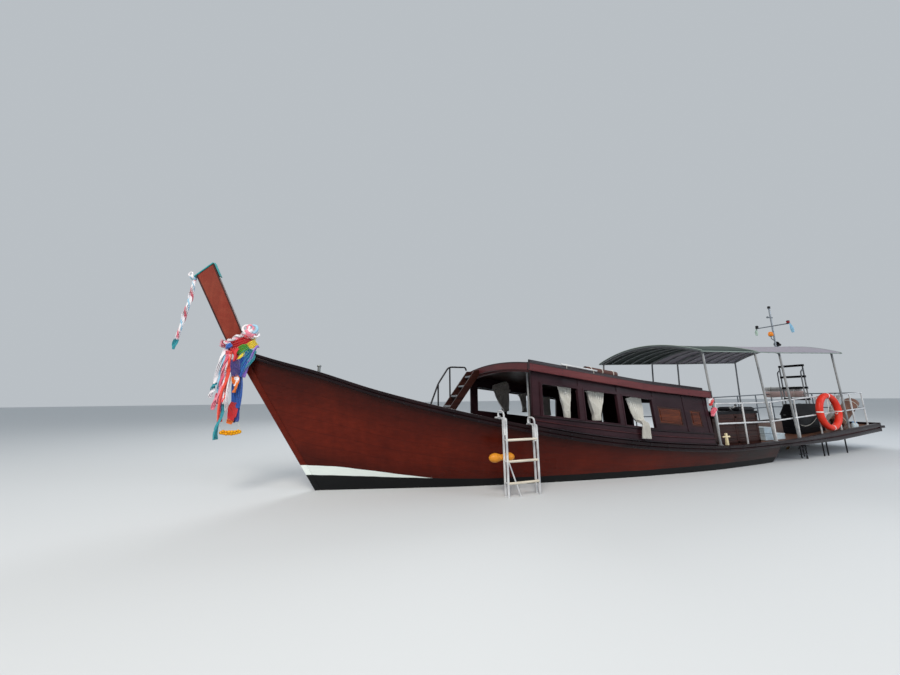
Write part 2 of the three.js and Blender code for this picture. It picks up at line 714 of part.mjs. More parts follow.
const POLE = { x: 2370, y: 940, radius: 13 };
add('grab_pole', pipe([
  [POLE.x, POLE.y, sheer(POLE.x + POLE.radius) - FOREDECK_DROP + GAP],
  [POLE.x, POLE.y, roofLow(POLE.x - POLE.radius, POLE.y + POLE.radius) - HEADER_DEPTH - 2],
], POLE.radius, 10, [0, 1, 0]), 'steel');

// Benches along both sides of the cabin
const BENCH = { aft: -600, front: 1900, inner: 430, outer: 740, rise: 400, seat: 40 };
const BENCH_LEG = { inset: 60, half: 20, outer: 660 };
function bench(x0, x1, y0, y1) {
  const top = FLOOR_Z + BENCH.rise;
  const legs = [BENCH.inner + BENCH_LEG.half, BENCH_LEG.outer].map((y) => y * Math.sign(y0));
  const legX = [x0 + BENCH_LEG.inset, (x0 + x1) / 2, x1 - BENCH_LEG.inset];
  return join([
    box(x0, x1, y0, y1, top - BENCH.seat, top),
    ...legX.map((x) => box(
      x - BENCH_LEG.half,
      x + BENCH_LEG.half,
      Math.min(...legs),
      Math.max(...legs),
      FLOOR_Z + GAP,
      top - BENCH.seat / 2,
    )),
  ]);
}
add('bench_port', bench(BENCH.aft, BENCH.front, BENCH.inner, BENCH.outer), 'deck');
add('bench_starboard', bench(BENCH.aft, BENCH.front, -BENCH.outer, -BENCH.inner), 'deck');

// Canopy hoops, from the port deck over the crown to the starboard deck
const HOOP_NODES = 8;
const hoopHalf = (x) => along(HOOPS, x, 2);
const hoopEave = (x) => along(HOOPS, x, 3);
const archZ = (x, y) => hoopEave(x) + HOOP_CAMBER * (1 - (y / hoopHalf(x)) ** 2);
const archY = (x) => Array.from(
  { length: HOOP_NODES + 1 },
  (_, i) => hoopHalf(x) * (1 - (2 * i) / HOOP_NODES),
);
HOOPS.forEach(([x, base], i) => {
  const seat = x > TRANSOM_X ? sheer : deckTop;
  const foot = Math.max(seat(x - HOOP_RADIUS), seat(x + HOOP_RADIUS)) + 4 * GAP;
  const arch = archY(x).map((y) => [x, y, archZ(x, y)]);
  add(`canopy_hoop_${i + 1}`, pipe(
    [[x, base, foot], ...arch, [x, -base, foot]],
    HOOP_RADIUS,
    10,
    [0, 1, 0],
  ), 'steel');
});

const CANOPY_LIFT = HOOP_RADIUS * 1.06 + 0.8;
for (const [name, x0, x1, half0, half1] of CANOPIES) {
  const line = [x0, ...HOOPS.map((row) => row[0]).filter((x) => x > x1 && x < x0), x1];
  const rings = line.map((x) => {
    const half = half0 + ((half1 - half0) * (x0 - x)) / (x0 - x1);
    const nodes = [half, ...archY(x), -half];
    const low = nodes.map((y) => [x, y, archZ(x, y) + CANOPY_LIFT]);
    return [...low, ...[...low].reverse().map(([, y, z]) => [x, y, z + CANOPY_THICKNESS])];
  });
  add(name, skin(rings), name === 'canopy_front' ? 'green' : 'paleCanopy');
}

// Rails round the aft deck
const RAIL_HIGH = [[-850, 1010], [-2300, 1012], [-3860, 1095], [-5950, 1170]];
const RAIL_MID = [[-850, 700], [-2300, 690], [-3860, 760], [-5950, 850]];
const STANCHIONS = [-950, -1620, -2420, -3200, -4000, -4780, -5400, -5950];
const railY = (x) => beam(x) - 92;
const railStops = [-950, -1620, -2380, -3200, -4000, -5000, -5950];
function sideRail() {
  return join([
    ...[RAIL_HIGH, RAIL_MID].map((table) => pipe(
      railStops.map((x) => [x, railY(x), along(table, x)]),
      RAIL_TUBE,
      8,
    )),
    ...STANCHIONS.map((x) => pipe(
      [[x, railY(x), deckTop(x) + GAP + 1], [x, railY(x), along(RAIL_HIGH, x)]],
      RAIL_TUBE,
      8,
      [0, 1, 0],
    )),
  ]);
}
add('side_rail_port', sideRail(), 'steel');
add('side_rail_starboard', mirrored(sideRail()), 'steel');

const sternRailX = -5950;
const sternRailHalf = railY(sternRailX) - RAIL_TUBE - GAP;
add('stern_rail', join([
  ...[RAIL_HIGH, RAIL_MID].map((table) => {
    const z = along(table, sternRailX);
    return pipe([[sternRailX, sternRailHalf, z], [sternRailX, -sternRailHalf, z]], RAIL_TUBE, 8);
  }),
  ...[-400, 0, 400].map((y) => pipe(
    [[sternRailX, y, deckTop(sternRailX) + GAP + 1], [sternRailX, y, along(RAIL_HIGH, sternRailX)]],
    RAIL_TUBE,
    8,
    [0, 1, 0],
  )),
]), 'steel');

// Mast on the crown of the last hoop, with its crossbar, lamps and horn
const MAST = { x: HOOPS[3][0], radius: 17, top: 3180, foot: 55, footHigh: 12, bar: 2750, half: 320, barRadius: 12 };
const LAMPS = { sink: 5, topRadius: 32, topHigh: 60, endRadius: 34, endHigh: 75, endIn: 15 };
const HORN = { z: 2955, aft: 60, front: 120, radius: 22 };
const ARM = { reach: 110, low: 2400, bend: 2440, top: 2500, radius: 9, lampRadius: 38, lampHigh: 70 };
const mastFoot = hoopEave(MAST.x) + HOOP_CAMBER + CANOPY_LIFT + CANOPY_THICKNESS + GAP + 0.5;
const lamp = (x, y, z, radius, height, sides = 12) => rod([x, y, z], [x, y, z + height], radius, sides);
add('mast', join([
  lamp(MAST.x, 0, mastFoot, MAST.foot, MAST.footHigh, 16),
  pipe([[MAST.x, 0, mastFoot], [MAST.x, 0, MAST.top]], MAST.radius, 10, [1, 0, 0]),
  pipe([[MAST.x, MAST.half, MAST.bar], [MAST.x, -MAST.half, MAST.bar]], MAST.barRadius, 8),
  lamp(MAST.x, 0, MAST.top - LAMPS.sink, LAMPS.topRadius, LAMPS.topHigh),
  ...[1, -1].map((side) => lamp(
    MAST.x,
    side * (MAST.half - LAMPS.endIn),
    MAST.bar - LAMPS.sink,
    LAMPS.endRadius,
    LAMPS.endHigh,
  )),
  rod([MAST.x - HORN.aft, 0, HORN.z], [MAST.x + HORN.front, 0, HORN.z], HORN.radius, 10),
  pipe([
    [MAST.x, 0, ARM.low],
    [MAST.x + ARM.reach, 0, ARM.bend],
    [MAST.x + ARM.reach, 0, ARM.top],
  ], ARM.radius, 8, [0, 1, 0]),
  lamp(MAST.x + ARM.reach, 0, ARM.top - LAMPS.sink, ARM.lampRadius, ARM.lampHigh),
]), 'steel');

// Ladder on the aft deck: slats on two uprights, with a bent tube ahead of each upright
const LADDER = { x: -4857, port: 454, starboard: 14, inset: 14, radius: 14, top: 1800 };
const SLATS = { count: 6, first: 565, rise: 243, high: 48, front: 14, aft: 36 };
const HAND_TUBE = { ahead: 105, radius: 12, bend: 1640, top: 1700 };
const ladderFoot = (x, radius) => deckTop(x - radius) + 2 * GAP;
const ladderSides = [LADDER.port - LADDER.inset, LADDER.starboard + LADDER.inset];
const tubeX = LADDER.x + HAND_TUBE.ahead;
add('canopy_ladder', join([
  ...ladderSides.map((y) => pipe(
    [[LADDER.x, y, ladderFoot(LADDER.x, LADDER.radius)], [LADDER.x, y, LADDER.top]],
    LADDER.radius,
    10,
    [0, 1, 0],
  )),
  ...ladderSides.map((y) => pipe(
    [
      [tubeX, y, ladderFoot(tubeX, HAND_TUBE.radius)],
      [tubeX, y, HAND_TUBE.bend],
      [LADDER.x, y, HAND_TUBE.top],
    ],
    HAND_TUBE.radius,
    10,
    [0, 1, 0],
  )),
  ...Array.from({ length: SLATS.count }, (_, i) => {
    const z = SLATS.first + i * SLATS.rise;
    return box(
      LADDER.x - SLATS.aft,
      LADDER.x + SLATS.front,
      LADDER.starboard,
      LADDER.port,
      z - SLATS.high / 2,
      z + SLATS.high / 2,
    );
  }),
]), 'black');

// Helm locker with its cushion, and the steering wheel
const LOCKER = { front: -950, aft: -2060, inner: 640, outer: 1020, top: 880 };
add('helm_locker', join([
  box(LOCKER.aft, LOCKER.front, LOCKER.inner, LOCKER.outer, AFT_DECK_Z + GAP, LOCKER.top - 20),
  box(LOCKER.aft - 15, LOCKER.front + 15, LOCKER.inner - 15, LOCKER.outer + 8, LOCKER.top - 22, LOCKER.top),
]), 'brown');
add('helm_cushion', box(
  LOCKER.aft,
  LOCKER.aft + 420,
  LOCKER.inner,
  LOCKER.outer,
  LOCKER.top + GAP,
  LOCKER.top + 60,
), 'black');

const wheelRing = new THREE.TorusGeometry(WHEEL.radius - WHEEL.rim, WHEEL.rim, 8, 24);
wheelRing.rotateY(Math.PI / 2);
wheelRing.translate(WHEEL.x, WHEEL.y, WHEEL.z);
add('steering_wheel', join([
  wheelRing,
  rod([WHEEL.x - 25, WHEEL.y, WHEEL.z], [WHEEL.x + 25, WHEEL.y, WHEEL.z], 42, 16),
  rod([WHEEL.x, WHEEL.y, WHEEL.z], [aftFace[1] + WHEEL.bore - 5, WHEEL.y, WHEEL.z], WHEEL.shaft, 12),
  ...Array.from({ length: WHEEL.spokes }, (_, i) => {
    const angle = (2 * Math.PI * i) / WHEEL.spokes;
    const reach = WHEEL.radius + 45;
    return rod(
      [WHEEL.x, WHEEL.y, WHEEL.z],
      [WHEEL.x, WHEEL.y + reach * Math.cos(angle), WHEEL.z + reach * Math.sin(angle)],
      10,
      8,
    );
  }),
]), 'brown');

// Engine block on the aft deck's port side, its cover and the cover's hipped lid
const ENGINE = { aft: -4600, front: -3980, starboard: 455, port: 625, top: 700 };
const COVER = { aft: -4700, front: -3880, starboard: 400, port: 680, eave: 740, wall: 18 };
const LID = { over: 12, top: 960, hipLong: 80, hipWide: 50, wall: 18, slope: 6 };
const coverFoot = (x) => deckTop(x) + 2 * GAP;
add('engine_block', slab([
  [ENGINE.front, coverFoot(ENGINE.front)],
  [ENGINE.aft, coverFoot(ENGINE.aft)],
  [ENGINE.aft, ENGINE.top],
  [ENGINE.front, ENGINE.top],
], ENGINE.starboard, ENGINE.port), 'black');
const coverLine = [COVER.front, COVER.aft];
add('engine_cover', cut(
  slab([
    ...coverLine.map((x) => [x, coverFoot(x)]),
    ...[...coverLine].reverse().map((x) => [x, COVER.eave]),
  ], COVER.starboard, COVER.port),
  box(
    COVER.aft + COVER.wall,
    COVER.front - COVER.wall,
    COVER.starboard + COVER.wall,
    COVER.port - COVER.wall,
    300,
    1200,
  ),
), 'black');
// Outline of the lid at a height, drawn in from the cover's sides
const lidRing = (long, wide, z) => [
  [COVER.aft + long, COVER.starboard + wide, z],
  [COVER.front - long, COVER.starboard + wide, z],
  [COVER.front - long, COVER.port - wide, z],
  [COVER.aft + long, COVER.port - wide, z],
];
const lidFoot = COVER.eave + 2 * GAP;
const lidInner = LID.wall + LID.slope;
add('engine_cover_lid', cut(
  skin([
    lidRing(-LID.over, -LID.over, lidFoot),
    lidRing(LID.hipLong, LID.hipWide, LID.top),
  ]),
  skin([
    lidRing(lidInner - LID.over, lidInner - LID.over, lidFoot - 1),
    lidRing(LID.hipLong + lidInner, LID.hipWide + lidInner, LID.top - LID.wall),
  ]),
), 'black');

// Lifebuoy on the port rail
const BUOY = { x: -4190, z: 818, ring: 300, tube: 55 };
const BUOY_SIDES = 10;
const buoyFlat = BUOY.tube * Math.cos(Math.PI / BUOY_SIDES);
const buoyY = railY(BUOY.x + BUOY.ring + 20) + RAIL_TUBE + buoyFlat + GAP;
const buoy = new THREE.TorusGeometry(BUOY.ring, BUOY.tube, BUOY_SIDES, 32);
buoy.rotateX(Math.PI / 2);
buoy.translate(BUOY.x, buoyY, BUOY.z);
add('lifebuoy', toSolid(buoy), 'buoy');

// Rolled mat that stands on the deck and leans aft
const ROLL = { radius: 118, x: -5117, y: 700, length: 846, lean: Math.PI / 6 };
const rollUp = [Math.sin(ROLL.lean) * ROLL.radius, Math.cos(ROLL.lean) * ROLL.radius];
const rollFoot = [ROLL.x + rollUp[0], ROLL.y, deckTop(ROLL.x) + rollUp[1] + 2 * GAP];
const rollTop = [
  rollFoot[0] - Math.cos(ROLL.lean) * ROLL.length,
  ROLL.y,
  rollFoot[2] + Math.sin(ROLL.lean) * ROLL.length,
];
add('rolled_mat', pipe([rollFoot, rollTop], ROLL.radius, 16, [0, 1, 0]), 'brown');

// Bitt on the port gunwale, bollard on the foredeck
const BITT = { x: -1010, y: 1155, top: 560, long: 24, wide: 18 };
const BITT_ARM = { long: 70, wide: 15, high: 30, down: 40 };
add('stern_bitt', join([
  box(
    BITT.x - BITT.long,
    BITT.x + BITT.long,
    BITT.y - BITT.wide,
    BITT.y + BITT.wide,
    sheer(BITT.x + BITT.long) + 2 * GAP,
    BITT.top,
  ),
  box(
    BITT.x - BITT_ARM.long,
    BITT.x + BITT_ARM.long,
    BITT.y - BITT_ARM.wide,
    BITT.y + BITT_ARM.wide,
    BITT.top - BITT_ARM.down - BITT_ARM.high,
    BITT.top - BITT_ARM.down,
  ),
]), 'cream');
const BOLLARD = { x: 5030, y: 150, radius: 28, rise: 125 };
add('bow_bollard', rod(
  [BOLLARD.x, BOLLARD.y, sheer(BOLLARD.x + BOLLARD.radius) - FOREDECK_DROP + 0.5],
  [BOLLARD.x, BOLLARD.y, sheer(BOLLARD.x) + BOLLARD.rise],
  BOLLARD.radius,
  14,
), 'maroon');

// Flat bar under the platform's port edge, with the posts and steps that hang from it
const EDGE_Y = 985;
const EDGE_BAR = { half: 22, deep: 12, line: [-3100, AFT_DECK_BREAK, -4950] };
// columns: x, height of the post's foot
const EDGE_POSTS = [[-3160, 20], [-3250, 40], [-3340, 0], [-3960, -60], [-4110, -60], [-4860, -120]];
const EDGE_POST_RADIUS = 11;
const EDGE_STEPS = { front: [-3120, EDGE_Y - 6], aft: [-3370, EDGE_Y - 16], heights: [90, 190], radius: 9 };
const edgeTop = (x) => deckTop(x) - DECK_THICKNESS - GAP;
const edgeY = (x) => EDGE_Y + beam(x) - beam(EDGE_BAR.line[0]);
add('edge_posts', join([
  skin(EDGE_BAR.line.map((x) => {
    const [inner, outer] = [edgeY(x) - EDGE_BAR.half, edgeY(x) + EDGE_BAR.half];
    const [low, top] = [edgeTop(x) - EDGE_BAR.deep, edgeTop(x)];
    return [[x, inner, top], [x, outer, top], [x, outer, low], [x, inner, low]];
  })),
  ...EDGE_POSTS.map(([x, low]) => rod(
    [x, edgeY(x), low],
    [x, edgeY(x), edgeTop(x) - EDGE_BAR.deep / 2],
    EDGE_POST_RADIUS,
    8,
  )),
  ...EDGE_STEPS.heights.map((z) => rod(
    [...EDGE_STEPS.front, z],
    [...EDGE_STEPS.aft, z],
    EDGE_STEPS.radius,
    8,
  )),
]), 'black');

// Boarding ladder hooked over the port gunwale
const BOARDING = { front: 2860, aft: 2440, radius: 14, outer: 1205, inner: 1128, low: -85 };
const BOARDING_RUNGS = [640, 395, 150];
function boardingSide(x) {
  const top = sheer(x) + 1.02 * BOARDING.radius + 2 * GAP;
  const inside = beam(x) - PLANKING - 26;
  return [
    pipe([
      [x, inside, sheer(x) - 18],
      [x, inside, top - 12],
      [x, inside + 16, top],
      [x, BOARDING.inner - 20, top],
      [x, BOARDING.inner, top - 25],
      [x, BOARDING.inner, -60],
    ], BOARDING.radius, 10, [1, 0, 0]),
    pipe([
      [x, BOARDING.inner - 60, top],
      [x, BOARDING.outer - 25, top],
      [x, BOARDING.outer, top - 30],
      [x, BOARDING.outer, BOARDING.low],
    ], BOARDING.radius, 10, [1, 0, 0]),
    ...BOARDING_RUNGS.map((z) => rod([x, BOARDING.inner, z], [x, BOARDING.outer, z], 10, 8)),
  ];
}
add('boarding_ladder', join([
  ...boardingSide(BOARDING.front),
  ...boardingSide(BOARDING.aft),
  ...BOARDING_RUNGS.map((z) => rod(
    [BOARDING.front, BOARDING.outer, z],
    [BOARDING.aft, BOARDING.outer, z],
    BOARDING.radius,
    10,
  )),
]), 'steel');

// Float between the ladder and the hull
const FLOAT = { z: 440, mid: 2900, half: 170, waist: 34, end: 56, sides: 14 };
const floatProfile = [
  [0, -FLOAT.half],
  [FLOAT.end * 0.7, -FLOAT.half],
  [FLOAT.end, -FLOAT.half + 25],
  [FLOAT.end, -FLOAT.half + 65],
  [FLOAT.waist, -FLOAT.half + 110],
  [FLOAT.waist, FLOAT.half - 110],
  [FLOAT.end, FLOAT.half - 65],
  [FLOAT.end, FLOAT.half - 25],
  [FLOAT.end * 0.7, FLOAT.half],
  [0, FLOAT.half],
].map(([r, h]) => new THREE.Vector2(r, h));
const floatShape = new THREE.LatheGeometry(floatProfile, FLOAT.sides);
floatShape.rotateZ(-Math.PI / 2);
const flats = BOARDING.radius * Math.cos(Math.PI / 10) + FLOAT.waist * Math.cos(Math.PI / FLOAT.sides);
floatShape.translate(FLOAT.mid, BOARDING.inner - flats - GAP, FLOAT.z);
add('float', toSolid(floatShape), 'yellow');

// Curtains on a rod inside the windows
const CURTAIN = { thick: 26, rodRadius: 8 };
// columns: x and half width at the top, x and half width where it is tied, height where it is tied, foot
const CURTAINS = [
  [1880, 95, 1835, 45, 1020, 880],
  [1430, 120, 1330, 60, 960, 800],
];
const curtainY = (x) => wallHigh(x) - CABIN_WALL - 24 - CURTAIN.thick / 2;
const rodZ = (x) => along([[2260, 1345], [420, 1125]], x);
function strip(points, thick) {
  return skin(points.map(([x, y, z, half, turn = 0]) => [
    [x - half, y - thick / 2 + turn, z],
    [x + half, y - thick / 2 + turn, z],
    [x + half, y + thick / 2 + turn, z + turn],
    [x - half, y + thick / 2 + turn, z + turn],
  ]));
}
function hungCurtain([x, half, tiedX, tiedHalf, tiedZ, footZ]) {
  return strip([
    [x, curtainY(x), rodZ(x) + 4, half],
    [tiedX, curtainY(tiedX), tiedZ, tiedHalf],
    [tiedX, curtainY(tiedX), footZ, tiedHalf * 1.25],
  ], CURTAIN.thick);
}
const ROD_BRACKETS = [2225, 1655, 500];
const curtainRod = () => join([
  pipe([2235, 1440, 490].map((x) => [x, curtainY(x), rodZ(x)]), CURTAIN.rodRadius, 8),
  ...ROD_BRACKETS.map((x) => cut(
    box(x - 9, x + 9, curtainY(x), wallHigh(x) - CABIN_WALL / 2, rodZ(x) - 6, rodZ(x) + 6),
    wallBody(GAP),
  )),
]);
add('curtains_starboard', mirrored(toGeometry(join([curtainRod(), ...CURTAINS.map(hungCurtain)]))), 'cloth');
// The third port curtain hangs out over the sill
const sillX = 760;
const SILL = { z: 722, out: 1205 };
add('curtains_port', join([
  curtainRod(),
  ...CURTAINS.map(hungCurtain),
  skin([
    [sillX, curtainY(sillX), rodZ(sillX) + 4, 125, 26, 0],
    [sillX - 30, curtainY(sillX) + 2, 960, 100, 26, 0],
    [sillX - 60, curtainY(sillX) + 10, SILL.z + 80, 80, 24, 10],
    [sillX - 75, 1150, SILL.z + 46, 76, 8, 20],
    [sillX - 90, SILL.out + 12, SILL.z + 26, 74, 18, 14],
    [sillX - 100, SILL.out + 16, SILL.z - 60, 70, 20, 0],
    [sillX - 125, SILL.out + 16, SILL.z - 170, 78, 24, 0],
  ].map(([x, y, z, half, dy, dz]) => [
    [x - half, y - dy / 2, z - dz],
    [x + half, y - dy / 2, z - dz],
    [x + half, y + dy / 2, z + dz],
    [x - half, y + dy / 2, z + dz],
  ])),
]), 'cloth');

// Garland round the foot of the prow board, with the ribbons that hang from it
const COLLAR = { low: 1830, high: 2010, wall: 45 };
const collarOutline = (grow, low, high) => {
  const front = (z) => along(STEM_FRONT.map(([x, h]) => [h, x]), z);
  const backLine = [[tipZ, boardFoot], [PROW_BACK[1], PROW_BACK[0]], [PROW_TOP_BACK[1], PROW_TOP_BACK[0]]];
  const back = (z) => along(backLine, z);
  return [
    [front(low) + grow, low],
    [front(high) + grow, high],
    [back(high) - grow, high + 60],
    [back(low) - grow, low + 60],
  ];
};
const boardClear = slab([
  ...STEM_FRONT.map(([x, z]) => [x + 2 * GAP, z]),
  PROW_TOP_BACK,
  [PROW_BACK[0] - 1, PROW_BACK[1]],
  [boardFoot - 1, tipZ],
  [boardFoot - 1, tipZ - 40],
  [hullFront(stemFootZ), stemFootZ],
], -PROW_HALF - GAP, PROW_HALF + GAP);
const collar = slab(
  collarOutline(COLLAR.wall, COLLAR.low, COLLAR.high),
  -PROW_HALF - COLLAR.wall,
  PROW_HALF + COLLAR.wall,
);
const tassel = (points) => points.slice(1).map((p, i) => {
  const [a, b] = [points[i], p];
  return skin([a, b].map(([x, y, z, rx, ry]) => Array.from({ length: 10 }, (_, k) => {
    const angle = (2 * Math.PI * k) / 10;
    return [x + rx * Math.cos(angle), y + ry * Math.sin(angle), z];
  })));
});
add('bow_garland', cut(join([
  collar,
  ...tassel([
    [6140, 95, 1930, 70, 42],
    [6130, 150, 1600, 85, 60],
    [6150, 160, 1250, 75, 60],
    [6150, 150, 690, 40, 35],
  ]),
  ...tassel([
    [5990, 85, 1930, 70, 42],
    [5985, 155, 1800, 75, 44],
    [5985, 165, 1600, 75, 55],
    [6010, 160, 1250, 75, 60],
    [5990, 150, 720, 45, 35],
  ]),
  ...tassel([
    [6060, 120, 1860, 90, 40],
    [6060, 150, 1600, 90, 40],
    [6075, 150, 1250, 80, 40],
  ]),
  ...tassel([
    [5990, 55, 1990, 55, 60],
    [5930, 60, 2010, 60, 60],
    [5930, 60, 2060, 50, 50],
  ]),
]), boardClear), 'ribbon');

// Ribbon tied to the front corner of the prow board's top
add('tip_ribbon', join([
  cut(slab([
    at(PROW_TIP, [capUp, -2], [capAlong, 70]),
    at(PROW_TIP, [capUp, -2], [capAlong, -60]),
    [6680, 2620],
    [6640, 2560],
    [6490, 2600],
  ], -PROW_HALF - 20, PROW_HALF + 20), boardClear),
  ...tassel([
    [6640, 0, 2620, 38, 32],
    [6655, 0, 2450, 40, 32],
    [6690, 0, 2000, 42, 34],
    [6740, 0, 1740, 26, 24],
  ]),
]), 'ribbon');

// Rolled mat on the roof
const matX = [900, 330];
const matY = 420;
const MAT_RADIUS = 52;
const matSeat = (x) => roofTop(x, matY) + MAT_RADIUS;
const [matFront, matAft] = matX.map((x) => [x, matY, matSeat(x)]);
add('roof_mat', rod(matFront, matAft, MAT_RADIUS, 14), 'brown');

// Drive: shaft with its gland and bracket, propeller and rudder
const shaftZ = (x) => SHAFT_Z + (x - (TRANSOM_X - TRANSOM_THICKNESS)) * SHAFT_DROP;
const SHAFT_RADIUS = 22;
const HUB = { front: 55, aft: -60, radius: 46 };
const shaftPoint = (x) => [x, 0, shaftZ(x)];
const shaftFront = TRANSOM_X - TRANSOM_THICKNESS - 12;
const bore = (x0, x1) => rod(shaftPoint(x0), shaftPoint(x1), boreRadius(SHAFT_RADIUS), 24);
add('shaft_gland', cut(
  rod([TRANSOM_X - TRANSOM_THICKNESS - 3.5, 0, SHAFT_Z], shaftPoint(-2520), 50, 16),
  bore(-2440, -2600),
), 'bronze');
const BRACKET_X = -4420;
add('shaft_bracket', cut(
  join([
    rod(shaftPoint(BRACKET_X + 60), shaftPoint(BRACKET_X - 60), 48, 16),
    ...[-1, 1].map((side) => skin([
      [side * 20, shaftZ(BRACKET_X)],
      [side * 300, deckTop(BRACKET_X) - DECK_THICKNESS - BEAM_DEPTH - 4],
    ].map(([y, z]) => [
      [BRACKET_X - 35, y - 9, z],
      [BRACKET_X + 35, y - 9, z],
      [BRACKET_X + 35, y + 9, z],
      [BRACKET_X - 35, y + 9, z],
    ]))),
    ...[-1, 1].map((side) => box(
      BRACKET_X - 60,
      BRACKET_X + 60,
      side * 300 - 28,
      side * 300 + 28,
      deckTop(BRACKET_X) - DECK_THICKNESS - BEAM_DEPTH - 16,
      deckTop(BRACKET_X + 60) - DECK_THICKNESS - BEAM_DEPTH - 2 * GAP,
    )),
  ]),
  bore(BRACKET_X + 200, BRACKET_X - 200),
), 'bronze');
add('propeller_shaft', rod(
  shaftPoint(shaftFront - 15),
  shaftPoint(PROPELLER_X + HUB.front + 2 * GAP),
  SHAFT_RADIUS,
  16,
), 'steel');

const BLADES = 3;
// columns: radius, half chord, twist, half thickness
const BLADE_ROWS = [
  [30, 42, 0.9, 9],
  [95, 95, 0.62, 7],
  [150, 90, 0.45, 5],
  [PROPELLER_RADIUS, 34, 0.36, 3],
];
function blade(turn) {
  const shape = skin(BLADE_ROWS.map(([radius, half, twist, thick]) => {
    const [along, across] = [Math.sin(twist), Math.cos(twist)];
    return [[-1, 0.3], [0, 1], [1, 0.3], [1, -0.3], [0, -1], [-1, -0.3]].map(([chord, face]) => [
      chord * half * along + face * thick * across,
      chord * half * across - face * thick * along,
      radius,
    ]);
  }));
  shape.rotateX(turn);
  return shape;
}
const propeller = toGeometry(join([
  rod([HUB.aft, 0, 0], [HUB.front, 0, 0], HUB.radius, 16),
  ...Array.from({ length: BLADES }, (_, i) => blade((2 * Math.PI * i) / BLADES)),
]));
propeller.rotateY(-Math.atan(SHAFT_DROP));
const propellerMesh = add('propeller', propeller, 'bronze');
propellerMesh.position.set(...shaftPoint(PROPELLER_X));

const RUDDER = { top: 40, low: -430, front: 60, aft: -330, half: 14 };
const rudderMesh = add('rudder', join([
  rod([0, 0, 0], [0, 0, 412], STOCK_RADIUS, 16),
  skin([[-1, 1], [1, -1]].map(([side]) => [
    [RUDDER.front, side * RUDDER.half, RUDDER.low],
    [RUDDER.aft, side * RUDDER.half, RUDDER.low],
    [RUDDER.aft - 30, side * RUDDER.half, RUDDER.top - 60],
    [RUDDER.front - 20, side * RUDDER.half, RUDDER.top],
  ])),
]), 'bronze');
rudderMesh.position.set(RUDDER_X, 0, 0);

export default boat;
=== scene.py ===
import math
import random

import bmesh
import bpy
from mathutils import Matrix, Vector


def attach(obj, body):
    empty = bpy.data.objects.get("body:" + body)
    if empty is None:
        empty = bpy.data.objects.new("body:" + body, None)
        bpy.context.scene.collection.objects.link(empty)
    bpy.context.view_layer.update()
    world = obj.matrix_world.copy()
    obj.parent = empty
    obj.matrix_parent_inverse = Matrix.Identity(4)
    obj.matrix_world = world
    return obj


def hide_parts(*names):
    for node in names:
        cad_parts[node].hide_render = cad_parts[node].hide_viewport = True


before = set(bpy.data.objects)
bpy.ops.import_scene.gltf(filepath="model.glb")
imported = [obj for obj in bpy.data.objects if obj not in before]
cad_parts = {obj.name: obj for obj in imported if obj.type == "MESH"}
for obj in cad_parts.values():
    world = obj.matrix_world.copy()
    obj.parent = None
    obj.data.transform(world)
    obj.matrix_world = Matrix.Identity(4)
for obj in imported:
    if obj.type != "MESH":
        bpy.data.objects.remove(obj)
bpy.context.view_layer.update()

# CAMERA: where the photographer stood, in metres from the boat's origin
EYE = Vector((4.859, 4.961, 1.129))
ACROSS = Vector((-0.9456, 0.3250, -0.0106)).normalized()
AIM = Vector((-0.3216, -0.9299, 0.1785)).normalized()
# columns of the picture that the focal length takes, of its 900
SENSOR, FOCAL_SHARE, FAR = 36.0, 340 / 900, 400


def linked(name, data):
    """An object of its own for some data, in the scene."""
    made = bpy.data.objects.new(name, data)
    bpy.context.scene.collection.objects.link(made)
    return made


camera = linked("camera", bpy.data.cameras.new("camera"))
up = ACROSS.cross(AIM).normalized()
across = AIM.cross(up)
camera.matrix_world = Matrix((
    (across.x, up.x, -AIM.x, EYE.x),
    (across.y, up.y, -AIM.y, EYE.y),
    (across.z, up.z, -AIM.z, EYE.z),
    (0, 0, 0, 1),
))
camera.data.sensor_width = SENSOR
camera.data.lens = SENSOR * FOCAL_SHARE
camera.data.clip_end = FAR
bpy.context.scene.camera = camera


# FINISHES
def linear(colour):
    """An sRGB hex colour as linear red, green, blue and 1."""
    parts = [int(colour[i:i + 2], 16) / 255 for i in (1, 3, 5)]
    return (*[c / 12.92 if c <= 0.04045 else ((c + 0.055) / 1.055) ** 2.4 for c in parts], 1.0)


def put(tree, kind, inputs=None, **settings):
    """Adds a node, gives it its settings, and fills or links its inputs."""
    made = tree.nodes.new(kind)
    for key, value in settings.items():
        setattr(made, key, value)
    for key, value in (inputs or {}).items():
        if isinstance(value, bpy.types.Node):
            value = value.outputs[0]
        if isinstance(value, bpy.types.NodeSocket):
            tree.links.new(value, made.inputs[key])
        elif isinstance(value, str) and value.startswith("#"):
            made.inputs[key].default_value = linear(value)
        else:
            made.inputs[key].default_value = value
    return made


def new_finish(name):
    """An empty material and its node tree."""
    material = bpy.data.materials.new(name)
    material.use_nodes = True
    material.node_tree.nodes.clear()
    return material, material.node_tree


def close_finish(tree, sockets, height=None, depth=0.001):
    """Ends a material in its shader, with a bump where a height is given."""
    if height is not None:
        sockets = {**sockets, "Normal": put(tree, "ShaderNodeBump", {
            "Height": height, "Distance": depth, "Strength": 1.0})}
    shader = put(tree, "ShaderNodeBsdfPrincipled", sockets)
    put(tree, "ShaderNodeOutputMaterial", {"Surface": shader})


def stretched(tree, place, scale, detail=3.0):
    """Noise drawn out along the axes by a scale for each, in cycles a metre."""
    spread = put(tree, "ShaderNodeMapping", {"Vector": place, "Scale": scale})
    return put(tree, "ShaderNodeTexNoise", {
        "Vector": spread, "Scale": 1.0, "Detail": detail, "Roughness": 0.6})


